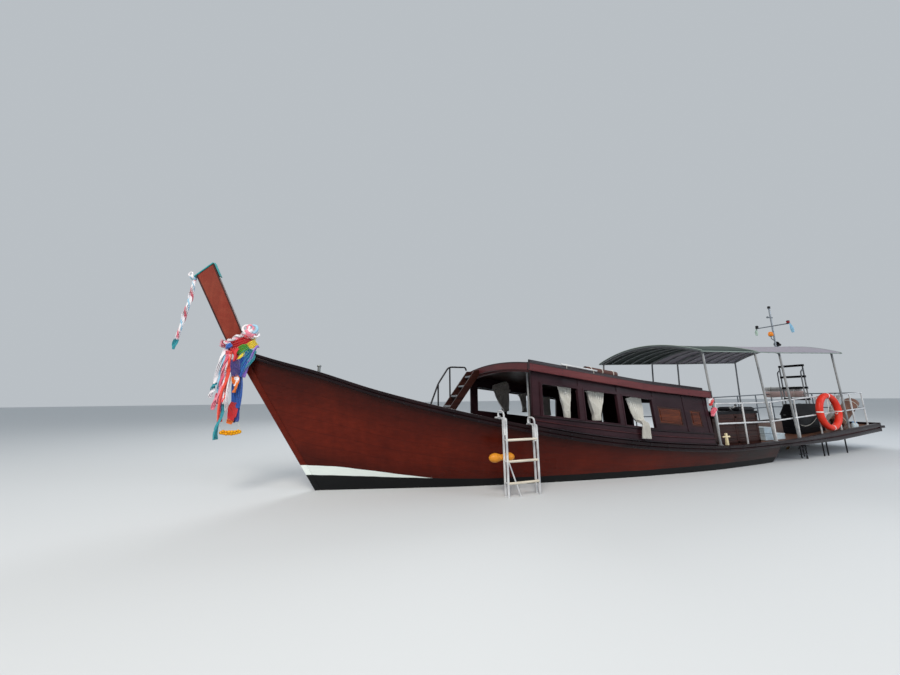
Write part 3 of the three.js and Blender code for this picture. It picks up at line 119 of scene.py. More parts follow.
def gloss_paint(name, main, faded, rough, run=(1.2, 40, 40), shine=0.14):
    """Brushed gloss paint on boards: faint brush marks along the board, faded patches."""
    material, tree = new_finish(name)
    place = put(tree, "ShaderNodeTexCoord").outputs["Object"]
    patches = stretched(tree, place, (1.4, 2.2, 3.0), 4.0)
    marks = stretched(tree, place, run)
    where = put(tree, "ShaderNodeMapRange", {
        "Value": patches, "From Min": 0.42, "From Max": 0.72})
    colour = put(tree, "ShaderNodeMix", {0: where, 6: main, 7: faded}, data_type="RGBA")
    streak = put(tree, "ShaderNodeMapRange", {
        "Value": marks, "From Min": 0.3, "From Max": 0.7, "To Min": 0.82, "To Max": 1.1})
    tint = put(tree, "ShaderNodeMix", {0: 1.0, 6: colour.outputs[2], 7: streak},
               data_type="RGBA", blend_type="MULTIPLY")
    gloss = put(tree, "ShaderNodeMapRange", {
        "Value": patches, "From Min": 0.35, "From Max": 0.7, "To Min": rough * 0.85,
        "To Max": rough * 1.35})
    close_finish(tree, {
        "Base Color": tint.outputs[2], "Roughness": gloss, "IOR": 1.5, "Specular IOR Level": shine,
        "Coat Weight": 0.03, "Coat Roughness": 0.12}, marks, 0.0006)
    return material


def varnished_wood(name, light, dark, rough, grain=(1.6, 34, 34), coat=0.04):
    """Hardwood under varnish, oil or weather: long grain with darker pores."""
    material, tree = new_finish(name)
    place = put(tree, "ShaderNodeTexCoord").outputs["Object"]
    figure = stretched(tree, place, grain, 5.0)
    pores = stretched(tree, place, (grain[0] * 4, grain[1] * 7, grain[2] * 7), 2.0)
    ramp = put(tree, "ShaderNodeValToRGB", {"Fac": figure})
    for stop, position, colour in zip(ramp.color_ramp.elements, (0.35, 0.68), (dark, light)):
        stop.position, stop.color = position, linear(colour)
    speck = put(tree, "ShaderNodeMapRange", {
        "Value": pores, "From Min": 0.35, "From Max": 0.6, "To Min": 0.72, "To Max": 1.05})
    tint = put(tree, "ShaderNodeMix", {0: 1.0, 6: ramp.outputs[0], 7: speck},
               data_type="RGBA", blend_type="MULTIPLY")
    close_finish(tree, {
        "Base Color": tint.outputs[2], "Roughness": rough, "IOR": 1.52, "Specular IOR Level": 0.16,
        "Coat Weight": coat, "Coat Roughness": 0.15}, pores, 0.0003)
    return material


def bare_metal(name, colour, rough, run=(60, 60, 4)):
    """Polished metal tube: long fine scratches and slightly dull patches."""
    material, tree = new_finish(name)
    place = put(tree, "ShaderNodeTexCoord").outputs["Object"]
    scratch = stretched(tree, place, run, 4.0)
    dull = put(tree, "ShaderNodeMapRange", {
        "Value": scratch, "From Min": 0.3, "From Max": 0.75, "To Min": rough * 0.7,
        "To Max": rough * 1.6})
    close_finish(tree, {"Base Color": colour, "Metallic": 1.0, "Roughness": dull}, scratch, 0.0001)
    return material


def moulded(name, colour, shade, rough, grit=350.0, depth=0.0002):
    """Moulded or coated plastic, rubber and enamel: fine even grit, a little mottling."""
    material, tree = new_finish(name)
    place = put(tree, "ShaderNodeTexCoord").outputs["Object"]
    fine = put(tree, "ShaderNodeTexNoise", {"Vector": place, "Scale": grit, "Detail": 2.0})
    broad = put(tree, "ShaderNodeTexNoise", {"Vector": place, "Scale": 6.0, "Detail": 4.0})
    where = put(tree, "ShaderNodeMapRange", {
        "Value": broad, "From Min": 0.4, "From Max": 0.7})
    colour = put(tree, "ShaderNodeMix", {0: where, 6: colour, 7: shade}, data_type="RGBA")
    close_finish(tree, {"Base Color": colour.outputs[2], "Roughness": rough, "IOR": 1.47,
                        "Specular IOR Level": 0.25}, fine, depth)
    return material


def woven(name, colour, shade, thread, sheen, rough=0.85, stripes=None):
    """Woven cloth on the piece's own lengths: crossed threads, creases of tone, soft sheen.

    Threads are drawn at `thread` mm, coarser than the real 0.5 mm ones, so that they show."""
    material, tree = new_finish(name)
    lay = put(tree, "ShaderNodeUVMap", uv_map="lay")
    weft, warp = [put(tree, "ShaderNodeTexWave", {
        "Vector": lay, "Scale": 1000.0 / thread / 2 / 3.14}, bands_direction=way,
        wave_profile="SIN") for way in "XY"]
    cross = put(tree, "ShaderNodeMath", {0: weft.outputs["Fac"], 1: warp.outputs["Fac"]},
                operation="MAXIMUM")
    broad = put(tree, "ShaderNodeTexNoise", {"Vector": lay, "Scale": 5.0, "Detail": 5.0})
    where = put(tree, "ShaderNodeMapRange", {
        "Value": broad, "From Min": 0.45, "From Max": 0.75, "To Max": 0.35})
    main = colour
    if stripes:
        other, width, share = stripes
        parts = put(tree, "ShaderNodeSeparateXYZ", {"Vector": lay})
        turns = put(tree, "ShaderNodeMath", {0: parts.outputs["Y"], 1: 1000.0 / width},
                    operation="MULTIPLY")
        saw = put(tree, "ShaderNodeMath", {0: turns}, operation="FRACT")
        band = put(tree, "ShaderNodeMath", {0: saw, 1: share}, operation="LESS_THAN")
        main = put(tree, "ShaderNodeMix", {0: band, 6: colour, 7: other},
            data_type="RGBA").outputs[2]
    tone = put(tree, "ShaderNodeMix", {0: where, 6: main, 7: shade}, data_type="RGBA")
    close_finish(tree, {
        "Base Color": tone.outputs[2], "Roughness": rough, "Sheen Weight": sheen,
        "Sheen Roughness": 0.5, "IOR": 1.4}, cross, 0.0004)
    return material


# columns: distance forward in metres, height in metres
STRIPE_TOP = [(3.57, 0.13), (4.70, 0.29), (5.16, 0.32)]
STRIPE_LOW = [(3.57, 0.13), (5.16, 0.20)]
STRIPE_WAVE, BLACK_TOP = 0.008, 0.1
PLANKS = 11
# Enamel tones: the bow's is the enamel painted as if sunlit, and the end's is painted shade, near
# black, used aft, under the rail and low on the side
ENAMEL_SUNLIT_BOW, ENAMEL_WAIST, ENAMEL_PAINTED_SHADE, ENAMEL_WORN = "#55180d", "#4f1409", "#110707", "#6e220f"
STRIPE_WHITE, BOTTOM_BLACK, BOTTOM_SCUM = "#dfe8e4", "#0b0d12", "#1c1d1c"


# Alkyd enamel brushed on the topsides: a wet-looking red brown, more orange where the sun has worn
# it, with dark seams between the planks. Painted sunlight turns it orange red at the bow, and
# painted shade takes it near black aft, under the rail and low on the side.
# The white boot stripe and the black antifouling are below.
def topsides_enamel(name):
    material, tree = new_finish(name)
    place = put(tree, "ShaderNodeTexCoord").outputs["Object"]
    spot = put(tree, "ShaderNodeSeparateXYZ", {"Vector": place})
    strake = put(tree, "ShaderNodeSeparateXYZ", {
        "Vector": put(tree, "ShaderNodeUVMap", uv_map="lay")})
    patches = stretched(tree, place, (0.7, 1.0, 1.6), 5.0)
    weather = stretched(tree, place, (9, 9, 1.2))
    grain = stretched(tree, place, (1.1, 26, 26), 4.0)

    def toned(value, start, end, most, colour, over):
        """Goes softly from a colour to another between two readings of a value."""
        share = put(tree, "ShaderNodeMapRange", {
            "Value": value, "From Min": start, "From Max": end, "To Max": most},
            interpolation_type="SMOOTHSTEP")
        return put(tree, "ShaderNodeMix", {0: share, 6: colour, 7: over}, data_type="RGBA")

    # Painted light: sunlit orange red forward, and painted shade going almost black aft
    sunlit_bow = toned(spot.outputs["X"], 4.2, 0.4, 0.75, ENAMEL_SUNLIT_BOW, ENAMEL_WAIST)
    body = toned(spot.outputs["X"], 0.9, -2.1, 0.94, sunlit_bow.outputs[2], ENAMEL_PAINTED_SHADE)
    worn_at = put(tree, "ShaderNodeMapRange", {
        "Value": patches, "From Min": 0.45, "From Max": 0.72, "To Max": 0.55})
    worn = put(tree, "ShaderNodeMix", {0: worn_at, 6: body.outputs[2], 7: ENAMEL_WORN},
               data_type="RGBA")
    # Painted shade just under the rail
    shaded = toned(strake.outputs["Y"], 0.62, 0.97, 0.62, worn.outputs[2], ENAMEL_PAINTED_SHADE)
    # Painted shade low on the side too, where the hull turns under, in uneven patches
    low_shade_at = put(tree, "ShaderNodeMapRange", {
        "Value": strake.outputs["Y"], "From Min": 0.5, "From Max": 0.3, "To Max": 0.5},
        interpolation_type="SMOOTHSTEP")
    uneven = put(tree, "ShaderNodeMapRange", {
        "Value": patches, "From Min": 0.35, "From Max": 0.65, "To Min": 0.5, "To Max": 1.2})
    under = put(tree, "ShaderNodeMath", {0: low_shade_at, 1: uneven}, operation="MULTIPLY")
    shaded = put(tree, "ShaderNodeMix", {0: under, 6: shaded.outputs[2], 7: ENAMEL_PAINTED_SHADE},
                 data_type="RGBA")
    streak = put(tree, "ShaderNodeMapRange", {
        "Value": weather, "From Min": 0.3, "From Max": 0.75, "To Min": 0.86, "To Max": 1.08})
    fibre = put(tree, "ShaderNodeMapRange", {
        "Value": grain, "From Min": 0.35, "From Max": 0.7, "To Min": 0.84, "To Max": 1.08})
    marks = put(tree, "ShaderNodeMath", {0: streak, 1: fibre}, operation="MULTIPLY")
    # Seams: a thin dark line where the side's height passes each of its planks
    row = put(tree, "ShaderNodeMath", {0: strake.outputs["Y"], 1: float(PLANKS)},
              operation="MULTIPLY")
    in_row = put(tree, "ShaderNodeMath", {0: row}, operation="FRACT")
    middle = put(tree, "ShaderNodeMath", {0: in_row, 1: 0.5}, operation="SUBTRACT")
    off = put(tree, "ShaderNodeMath", {0: middle}, operation="ABSOLUTE")
    seam = put(tree, "ShaderNodeMapRange", {"Value": off, "From Min": 0.47, "From Max": 0.5})
    seam_tone = put(tree, "ShaderNodeMapRange", {"Value": seam, "To Min": 1.0, "To Max": 0.66})
    tone = put(tree, "ShaderNodeMath", {0: marks, 1: seam_tone}, operation="MULTIPLY")
    side = put(tree, "ShaderNodeMix", {0: 1.0, 6: shaded.outputs[2], 7: tone},
               data_type="RGBA", blend_type="MULTIPLY")
    # Boot stripe: its two edges are lines of height over length, wavy by a few mm
    wander = put(tree, "ShaderNodeMapRange", {
        "Value": stretched(tree, place, (3, 3, 3), 2.0),
        "To Min": -STRIPE_WAVE, "To Max": STRIPE_WAVE})
    level = put(tree, "ShaderNodeMath", {0: spot.outputs["Z"], 1: wander}, operation="ADD")
    edges = []
    for rows in (STRIPE_TOP, STRIPE_LOW):
        heights = [put(tree, "ShaderNodeMapRange", {
            "Value": spot.outputs["X"], "From Min": a[0], "From Max": b[0],
            "To Min": a[1], "To Max": b[1]}, clamp=False) for a, b in zip(rows, rows[1:])]
        edge = heights[0]
        for other in heights[1:]:
            edge = put(tree, "ShaderNodeMath", {0: edge, 1: other}, operation="MINIMUM")
        edges.append(edge)
    white = put(tree, "ShaderNodeMath", {0: level, 1: edges[0]}, operation="LESS_THAN")
    striped = put(tree, "ShaderNodeMix", {0: white, 6: side.outputs[2], 7: STRIPE_WHITE},
                  data_type="RGBA")
    scum = put(tree, "ShaderNodeMix", {0: patches, 6: BOTTOM_BLACK, 7: BOTTOM_SCUM},
               data_type="RGBA")
    low = put(tree, "ShaderNodeMath", {0: edges[1], 1: BLACK_TOP}, operation="MAXIMUM")
    black = put(tree, "ShaderNodeMath", {0: level, 1: low}, operation="LESS_THAN")
    colour = put(tree, "ShaderNodeMix", {0: black, 6: striped.outputs[2], 7: scum.outputs[2]},
                 data_type="RGBA")
    # Glossy on the enamel, dull on the antifouling
    rough = put(tree, "ShaderNodeMapRange", {
        "Value": patches, "From Min": 0.35, "From Max": 0.7, "To Min": 0.24, "To Max": 0.42})
    dull = put(tree, "ShaderNodeMix", {0: black, 2: rough, 3: 0.6})
    low_relief = put(tree, "ShaderNodeMath", {0: seam, 1: -0.6}, operation="MULTIPLY")
    relief = put(tree, "ShaderNodeMath", {0: low_relief, 1: grain}, operation="ADD")
    close_finish(tree, {
        "Base Color": colour.outputs[2], "Roughness": dull.outputs[0], "IOR": 1.5,
        "Specular IOR Level": 0.12, "Coat Weight": 0.03, "Coat Roughness": 0.1}, relief, 0.0012)
    return material


topsides = topsides_enamel("topsides_gloss_enamel")
# Gloss paint on the cabin's boards: a near-black maroon, purple where it has faded
maroon = gloss_paint("maroon_gloss_paint", "#241218", "#331b21", 0.32)
# Paint in the rub rail's groove: a dull blood red line between two dark bands
rail_red = gloss_paint("rail_groove_red_paint", "#331418", "#421c1e", 0.35)
# Paint on the rub rail's bands: almost black, with a wet gleam along its round edges
rail_dark = gloss_paint("rub_rail_gloss_paint", "#170c10", "#241417", 0.3)
# Roof fascia: a chalky brick maroon, painted lighter than the wall as if lit by the sun
sunlit_fascia_paint = gloss_paint("roof_fascia_sunlit_paint", "#5a2d30", "#6b3838", 0.38)
# Drip edge along the fascia's top: a thin grey brown line
drip_brown = gloss_paint("drip_edge_brown_paint", "#2e2426", "#453a3c", 0.4)
# Prow board: warm brick paint brushed up the board, worn through in places
prow_paint = gloss_paint("prow_board_brick_paint", "#7a3024", "#86402e", 0.36, run=(20, 40, 1.6))
# The board's edge band: the same paint, much darker
prow_edge = gloss_paint("prow_edge_dark_paint", "#3b201f", "#4a2a26", 0.35, run=(20, 40, 1.6))
# Cap strip: bright sea green, paler where it is worn
teal = gloss_paint("teal_gloss_paint", "#2f8f92", "#5aa8a6", 0.4)
# Teak decks left bare: dry brown boards with long darker grain and no shine
deck_teak = varnished_wood("weathered_teak_deck", "#6a4836", "#4a3024", 0.55, coat=0.0)
# Oiled teak underfoot in the cabin: darker, a little damp to the eye
floor_teak = varnished_wood("oiled_teak_floor", "#5c3c2b", "#3c261b", 0.5, coat=0.0)
# Varnished panels: orange brown with a clear gloss, the warmest wood on the boat
panel_teak = varnished_wood("varnished_teak_panel", "#653018", "#3a160b", 0.26)
# Stained joinery of stair, benches and locker: dark chocolate with a faint figure
brown_teak = varnished_wood("stained_teak_joinery", "#3b1d16", "#220f0c", 0.35)
# The steering wheel's teak: honey brown, turned and rubbed smooth by hands
wheel_teak = varnished_wood("varnished_teak_wheel", "#8a5230", "#5a3018", 0.25, (12, 12, 12))
# Painted nosing of the stair's treads: a light grey line on each step
tread_edge = gloss_paint("grey_tread_edge_paint", "#8a9198", "#6e757c", 0.45)
# Bare pale rungs of the boarding ladder: bleached, matt and slightly yellow
rung_wood = varnished_wood("pale_wood_rung", "#dcd6c9", "#beb5a4", 0.5)
# Underside of the roof: brown paint that stays dull in the shade
ceiling_paint = gloss_paint("cabin_ceiling_paint", "#33221f", "#42302b", 0.45)
# Brushed stainless tube: cool grey with long bright bands and fine scratches
steel = bare_metal("brushed_stainless_steel", "#858b91", 0.36)
# Grey enamel on the canopy's tubes: softer highlights than bare steel
grey_tube = moulded("grey_painted_steel_tube", "#8f9192", "#6c7075", 0.35, 200.0, 0.0001)
# White enamel on the port rail and the boarding ladder: clean, with a narrow gleam
rail_white = moulded("white_enamelled_rail", "#cbcdcf", "#a2a4a8", 0.35, 200.0, 0.0001)
# Black enamel on thin steel: reads as a line with a grey edge of light
black_steel = moulded("black_painted_steel", "#17161a", "#25242a", 0.35, 200.0, 0.0001)
# Black gloss on boards: the deepest black, its brush marks just seen
black_board = gloss_paint("black_gloss_paint", "#0b0b0e", "#17171b", 0.35, shine=0.1)
# Rubber ferrules: black without any gleam
black_rubber = moulded("black_rubber_grip", "#131315", "#1f1f22", 0.6)
# Vinyl cushion: black with a leathery grain and a soft sheen on its swell
vinyl = moulded("black_vinyl_cushion", "#17171b", "#26262c", 0.45, 260.0, 0.0003)
# Skin of the lifebuoy's foam: flat signal orange with fine pores
buoy_foam = moulded("lifebuoy_orange_skin", "#cf2a1a", "#d63d28", 0.42, 180.0, 0.0004)
# Reflective tape on the lifebuoy: white with a beaded surface
buoy_band = moulded("reflective_white_band", "#e6e6e2", "#cfd2d0", 0.4, 900.0, 0.0002)
# Cream gloss on the bitt: thick, yellowed paint
cream = gloss_paint("cream_gloss_paint", "#d9cdaa", "#c6b78f", 0.4)
# Blown plastic of the float: amber orange, slightly waxy
float_shell = moulded("orange_float_plastic", "#cf8626", "#b9741e", 0.4)
# Lamps: a black plastic housing, with an amber and a dark red lens that catch the light
lamp_black = moulded("black_lamp_housing", "#101013", "#1b1b1f", 0.4)
lamp_orange = moulded("amber_lamp_lens", "#d9771c", "#e08f33", 0.2)
lamp_red = moulded("red_lamp_lens", "#7d1820", "#93262c", 0.2)
# Cast bronze of shaft gear and wheel hub: brown gold, unevenly dulled
bronze = bare_metal("cast_bronze", "#8c6a35", 0.4, (30, 30, 30))
# Galvanised steel: pale grey and blotchy, with no mirror in it
zinc = bare_metal("galvanised_steel", "#8f9494", 0.5, (20, 20, 20))
# Plastic of crates and jugs: cloudy bluish white
white_goods = moulded("white_moulded_plastic", "#c3d0d6", "#a5b6c0", 0.45)
# Bottle caps: clear blue
sky_cap = moulded("blue_bottle_cap", "#3f86c4", "#2f6fae", 0.45)
# Canopy canvas, proofed and matt: dark green ahead, a dusty mauve grey aft, and a tape at its edge
canopy_green = woven("green_canopy_canvas", "#1a2c27", "#2a3f38", 9.0, 0.05)
canopy_pale = woven("pale_canopy_canvas", "#8b8791", "#726e79", 9.0, 0.05)
hem_pale = woven("canopy_edge_tape", "#7f8b86", "#66706d", 6.0, 0.05)
# Cotton curtains, one white cotton in a lit and a shaded copy: painted off-white as sunlit on the
# port side, greyer with painted shade on the starboard side; soft folds
sunlit_curtain_cotton = woven("sunlit_cotton_curtain", "#cfcfca", "#b0aeaa", 5.0, 0.3)
curtain_shade = woven("shaded_cotton_curtain", "#c0bdb8", "#9b9894", 5.0, 0.3)
# Reed matting: brown stalks with lighter bands across the roll
reed = woven("reed_mat_roll", "#62402f", "#4b2e22", 8.0, 0.1, 0.8, ("#70493a", 26.0, 0.2))
# Rolled canvas on roof and deck: brown or grey, flat and dusty
brown_canvas = woven("brown_rolled_canvas", "#4d2f2a", "#38221f", 7.0, 0.1)
grey_reed = woven("grey_canvas_roll", "#8f8d8a", "#767370", 8.0, 0.1)
# Floor mats over the stern rail: dyed cotton that the sun has taken to rose and grey
mat_rose = woven("faded_rose_mat", "#b49a94", "#9a837f", 7.0, 0.15)
mat_grey = woven("faded_grey_mat", "#a3a2a0", "#8b8886", 7.0, 0.15)
# Marigold heads: saturated orange yellow that scatters light between its petals
marigold_petal = moulded("marigold_petals", "#ef9d12", "#f2b417", 0.8, 500.0, 0.001)
# Braided cord that ties the rolls, and laid rope of the loose lines: greyed white
line_white = woven("white_braided_line", "#dcdcd6", "#b7b4aa", 5.0, 0.2, 0.8)
rope_white = moulded("laid_polypropylene_rope", "#d3d3cc", "#a9a79d", 0.75, 700.0, 0.0003)
# Dyed polyester sashes tied on the bow for luck: clean bright colours, thin and slightly shiny
# columns: dye, the same dye faded
SASHES = {
    "pink": ("#e27f93", "#f0b7c0"), "white": ("#e6e2e6", "#cdd3da"), "red": ("#c8262c", "#a81c24"),
    "blue": ("#2a5fb0", "#1f4a92"), "sky": ("#8fc0da", "#b9d8e4"), "green": ("#58b03a", "#3f9430"),
    "yellow": ("#e6cf3a", "#d8b52c"), "orange": ("#e2772a", "#d05f22"),
    "purple": ("#8a6ac0", "#a995d2"), "teal": ("#2b93a0", "#1d7886"),
    "coral": ("#e04a38", "#c93a30"), "navy": ("#2b3f86", "#1f3070"), "pale": ("#b9cfc6", "#9db8ad"),
    "indigo": ("#3f2f8a", "#5c3f9c"), "rose": ("#d0566c", "#b8455c"),
}
sash_cloth = {key: woven(f"{key}_polyester_sash", dye, faded, 4.0, 0.4, 0.6)
              for key, (dye, faded) in SASHES.items()}


def cloths(*keys):
    return [sash_cloth[key] for key in keys]


# SHAPES, in millimetres in the boat's frame
SIDES = ((1, "port"), (-1, "starboard"))
UPRIGHT, FORWARD = (0, 0, 1), (1, 0, 0)


def towards(a, b, share):
    return [p + (q - p) * share for p, q in zip(a, b)]


def spread(start, end, count):
    return [start + (end - start) * i / count for i in range(count + 1)]


def turns_of(count):
    """The angles of a full turn cut into `count` equal steps."""
    return [2 * math.pi * k / count for k in range(count)]


def circle(radius, sides):
    return [(radius * math.cos(a), radius * math.sin(a)) for a in turns_of(sides)]


def rounded(points, reach, steps=5):
    """The points of a line with its corners bent, each bend starting `reach` before the corner."""
    line = [Vector(p) for p in points]
    out = [line[0]]
    for before, corner, after in zip(line, line[1:], line[2:]):
        room = min(reach, 0.48 * (corner - before).length, 0.48 * (after - corner).length)
        start = corner + (before - corner).normalized() * room
        end = corner + (after - corner).normalized() * room
        for i in range(steps + 1):
            t = i / steps
            out.append(start.lerp(corner, t).lerp(corner.lerp(end, t), t))
    out.append(line[-1])
    return out


def smooth_line(points, steps=8):
    """A smooth curve through the points."""
    line = [Vector(p) for p in points]
    padded = [2 * line[0] - line[1], *line, 2 * line[-1] - line[-2]]
    out = []
    for a, b, c, d in zip(padded, padded[1:], padded[2:], padded[3:]):
        for i in range(steps):
            t = i / steps
            out.append(0.5 * (2 * b + (c - a) * t + (2 * a - 5 * b + 4 * c - d) * t * t
                              + (3 * b - a - 3 * c + d) * t ** 3))
    return [*out, line[-1]]


def across_axis(axis):
    """An axis made one long, and the two directions square to it."""
    axis = Vector(axis).normalized()
    first = Vector(UPRIGHT if abs(axis.z) < 0.9 else FORWARD)
    a = (first - axis * first.dot(axis)).normalized()
    return axis, a, axis.cross(a)


def frames_along(line, side=None):
    """A tangent, a side and an upper direction at each point of a line, with no twist."""
    line = [Vector(p) for p in line]
    tangents = [(line[min(i + 1, len(line) - 1)] - line[max(i - 1, 0)]).normalized()
        for i in range(len(line))]
    normal = across_axis(tangents[0])[1]
    if side:
        first = Vector(side)
        normal = (first - tangents[0] * first.dot(tangents[0])).normalized()
    out = []
    for before, tangent in zip([tangents[0], *tangents], tangents):
        normal = before.rotation_difference(tangent) @ normal
        normal = (normal - tangent * normal.dot(tangent)).normalized()
        out.append((tangent, normal, tangent.cross(normal)))
    return out


class Shape:
    """Points and faces that gather into one piece; each face has a finish number and a lay in
    metres."""

    def __init__(self):
        self.points, self.faces, self.finish, self.lay = [], [], [], []

    def face(self, corners, finish=0, lay=None):
        self.faces.append(corners)
        self.finish.append(finish)
        self.lay.append(lay or [(self.points[c][0] / 1000, self.points[c][2] / 1000)
            for c in corners])

    def loft(self, rings, closed=True, caps=True, finish=0, turned=False):
        """Skin over rings of equal length; `finish` is a number or a function of (ring, place)."""
        base, count = len(self.points), len(rings[0])
        for ring in rings:
            self.points.extend(tuple(p) for p in ring)
        pick = finish if callable(finish) else lambda i, j: finish
        middle = rings[len(rings) // 2]
        sums = [0.0]
        for a, b in zip(middle, [*middle[1:], middle[0]]):
            sums.append(sums[-1] + (Vector(b) - Vector(a)).length / 1000)
        run = 0.0
        tried = range(0, count, max(1, count // 4))
        for i in range(len(rings) - 1):
            step = sum((Vector(rings[i + 1][j]) - Vector(rings[i][j])).length for j in tried)
            step = step / len(tried) / 1000
            for j in range(count if closed else count - 1):
                k = (j + 1) % count
                a, b = base + i * count, base + (i + 1) * count
                quad = [a + j, a + k, b + k, b + j]
                lay = [(sums[j], run), (sums[j + 1], run), (sums[j + 1], run + step),
                    (sums[j], run + step)]
                if turned:
                    quad, lay = quad[::-1], lay[::-1]
                self.face(quad, pick(i, j), lay)
            run += step
        if closed and caps:
            first = list(range(base, base + count))
            last = list(range(base + (len(rings) - 1) * count, base + len(rings) * count))
            self.face(first if turned else first[::-1], pick(0, 0))
            self.face(last[::-1] if turned else last, pick(len(rings) - 2, 0))
        return self

    def sweep(self, line, section, finish=0, side=None, closed=True, twist=0.0):
        """A section of (side, up) points carried along a line, with a twist in turns."""
        rings = []
        for i, (point, (_, normal, upper)) in enumerate(zip(line, frames_along(line, side))):
            share = i / (len(line) - 1)
            turn = 2 * math.pi * twist * share
            c, s = math.cos(turn), math.sin(turn)
            shape = section(share) if callable(section) else section
            rings.append([Vector(point) + normal * (a * c - b * s) + upper * (a * s + b * c)
                          for a, b in shape])
        return self.loft(rings, closed, finish=finish)

    def tube(self, line, radius, sides=16, finish=0, side=None):
        """A round bar or tube along a line, its ends closed."""
        return self.sweep(line, circle(radius, sides), finish, side)

    def turned(self, centre, axis, profile, sides=32, finish=0):
        """A turned piece: a profile of (distance along the axis, radius) spun round it."""
        axis, a, b = across_axis(axis)
        rings = [[Vector(centre) + axis * reach + (a * math.cos(t) + b * math.sin(t)) * radius
                  for t in turns_of(sides)] for reach, radius in profile]
        return self.loft(rings, finish=finish)

    def block(self, x0, x1, y0, y1, z0, z1, finish=0):
        """A block with square corners, for a piece whose edges are eased later."""
        ring = [(y0, z0), (y1, z0), (y1, z1), (y0, z1)]
        return self.loft([[(x, y, z) for y, z in ring] for x in (min(x0, x1), max(x0, x1))],
            finish=finish)

    def ring(self, centre, axis, radius, tube, around=48, sides=12, finish=0):
        """A round ring about an axis."""
        axis, a, b = across_axis(axis)
        rings = []
        for i in range(around + 1):
            angle = 2 * math.pi * i / around
            out = a * math.cos(angle) + b * math.sin(angle)
            rings.append([Vector(centre) + out * (radius + tube * math.cos(t))
                          + axis * tube * math.sin(t) for t in turns_of(sides)])
        return self.loft(rings, caps=False, finish=finish)


def in_metres(name, points, edges, faces):
    mesh = bpy.data.meshes.new(name)
    mesh.from_pydata([tuple(c / 1000 for c in p) for p in points], edges, faces)
    return mesh


def sealed(mesh, turn=True):
    """Merges the points that meet and turns the faces outwards."""
    work = bmesh.new()
    work.from_mesh(mesh)
    bmesh.ops.remove_doubles(work, verts=work.verts, dist=1e-6)
    bmesh.ops.dissolve_degenerate(work, edges=work.edges, dist=1e-7)
    if turn:
        bmesh.ops.recalc_face_normals(work, faces=work.faces)
    work.to_mesh(mesh)
    work.free()
    mesh.polygons.foreach_set("use_smooth", [True] * len(mesh.polygons))


def listed(things):
    return list(things) if isinstance(things, (list, tuple)) else [things]


def piece(name, shape, finishes, stands_for=(), body="boat", edge=0.0, crease=38,
          thick=0.0, turn=True):
    """Makes a shape an object at the origin, in metres, riding on its body."""
    mesh = in_metres(name, shape.points, [], shape.faces)
    layer = mesh.uv_layers.new(name="lay")
    corner = 0
    for polygon, finish, lay in zip(mesh.polygons, shape.finish, shape.lay):
        polygon.material_index = finish
        for spot in lay:
            layer.data[corner].uv = spot
            corner += 1
    sealed(mesh, turn)
    for finish in listed(finishes):
        mesh.materials.append(finish)
    mesh.set_sharp_from_angle(angle=math.radians(crease))
    made = linked(name, mesh)
    if thick:
        solid = made.modifiers.new("cloth thickness", "SOLIDIFY")
        solid.thickness, solid.offset = thick / 1000, 0.0
    if edge:
        bevel = made.modifiers.new("eased edges", "BEVEL")
        bevel.width, bevel.segments, bevel.limit_method = edge / 1000, 2, "ANGLE"
        bevel.angle_limit = math.radians(50)
    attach(made, body)
    if stands_for:
        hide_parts(*listed(stands_for))
    return made


def along(table, x, column=1):
    """The value of a column at x, on straight lines between the table's rows."""
    rows = sorted(table)
    if x <= rows[0][0]:
        return rows[0][column]
    for a, b in zip(rows, rows[1:]):
        if x <= b[0]:
            return a[column] + (b[column] - a[column]) * (x - a[0]) / (b[0] - a[0])
    return rows[-1][column]


# LINES of the boat, as the part has them
# columns: sheer x, half beam, sheer z, half beam at the waterline, keel z, keel x
STATIONS = [
    (5975, 38, 1785, 37, -300, 4750),
    (5600, 130, 1660, 88, -330, 4600),
    (5030, 335, 1490, 190, -350, 4253),
    (4290, 610, 1240, 330, -380, 3804),
    (3340, 890, 985, 540, -390, 3064),
    (2400, 1060, 780, 705, -400, 2258),
    (1440, 1150, 610, 845, -400, 1390),
    (490, 1190, 490, 955, -400, 475),
    (-660, 1190, 395, 1030, -400, -660),
    (-1500, 1175, 375, 1010, -380, -1500),
    (-2380, 1140, 378, 950, -330, -2380),
]
# columns: x, half width, edge height
OVERHANG = [(-2380, 1140, 378), (-3200, 1085, 408), (-4000, 1030, 442), (-5000, 965, 486),
    (-6050, 895, 535)]
PLANKING = 35
TRANSOM_X, STERN_X = -2380, -6050
# rows of the smooth skin between two stations
FINE = 8


def station(u):
    last = len(STATIONS) - 1
    i = min(int(u), last - 1)
    t = u - i
    rows = [STATIONS[max(0, min(last, k))] for k in (i - 1, i, i + 1, i + 2)]
    return [0.5 * (2 * b + (d - a) * t + (2 * a - 5 * b + 4 * d - e) * t * t
                   + (3 * b - a - 3 * d + e) * t ** 3) for a, b, d, e in zip(*rows)]


def hull_point(row, share, inset=0.0):
    xs, half, sheer_z, wet, keel_z, xk = row
    low = keel_z + inset * 1.25
    fullness = math.log(wet / half) / math.log(-keel_z / (sheer_z - keel_z))
    z = low + (sheer_z - low) * share
    x = xk + ((xs - xk) * (z - keel_z)) / (sheer_z - keel_z)
    return (x, (half - inset) * share ** fullness, z)


stations = [station(i / FINE) for i in range(FINE * (len(STATIONS) - 1) + 1)]
edge_rows = [(row[0], row[1], row[2]) for row in stations] + OVERHANG[1:]


def half_beam(x):
    return along(edge_rows, x, 1)


def edge_z(x):
    return along(edge_rows, x, 2)


# columns: x, height of the aft deck, which rises from its break to the stern
AFT_DECK = [(-6050, 500), (-3600, 352)]


def deck_z(x):
    return along(AFT_DECK, x)


def flipped(points):
    return [(x, -y, z) for x, y, z in points]


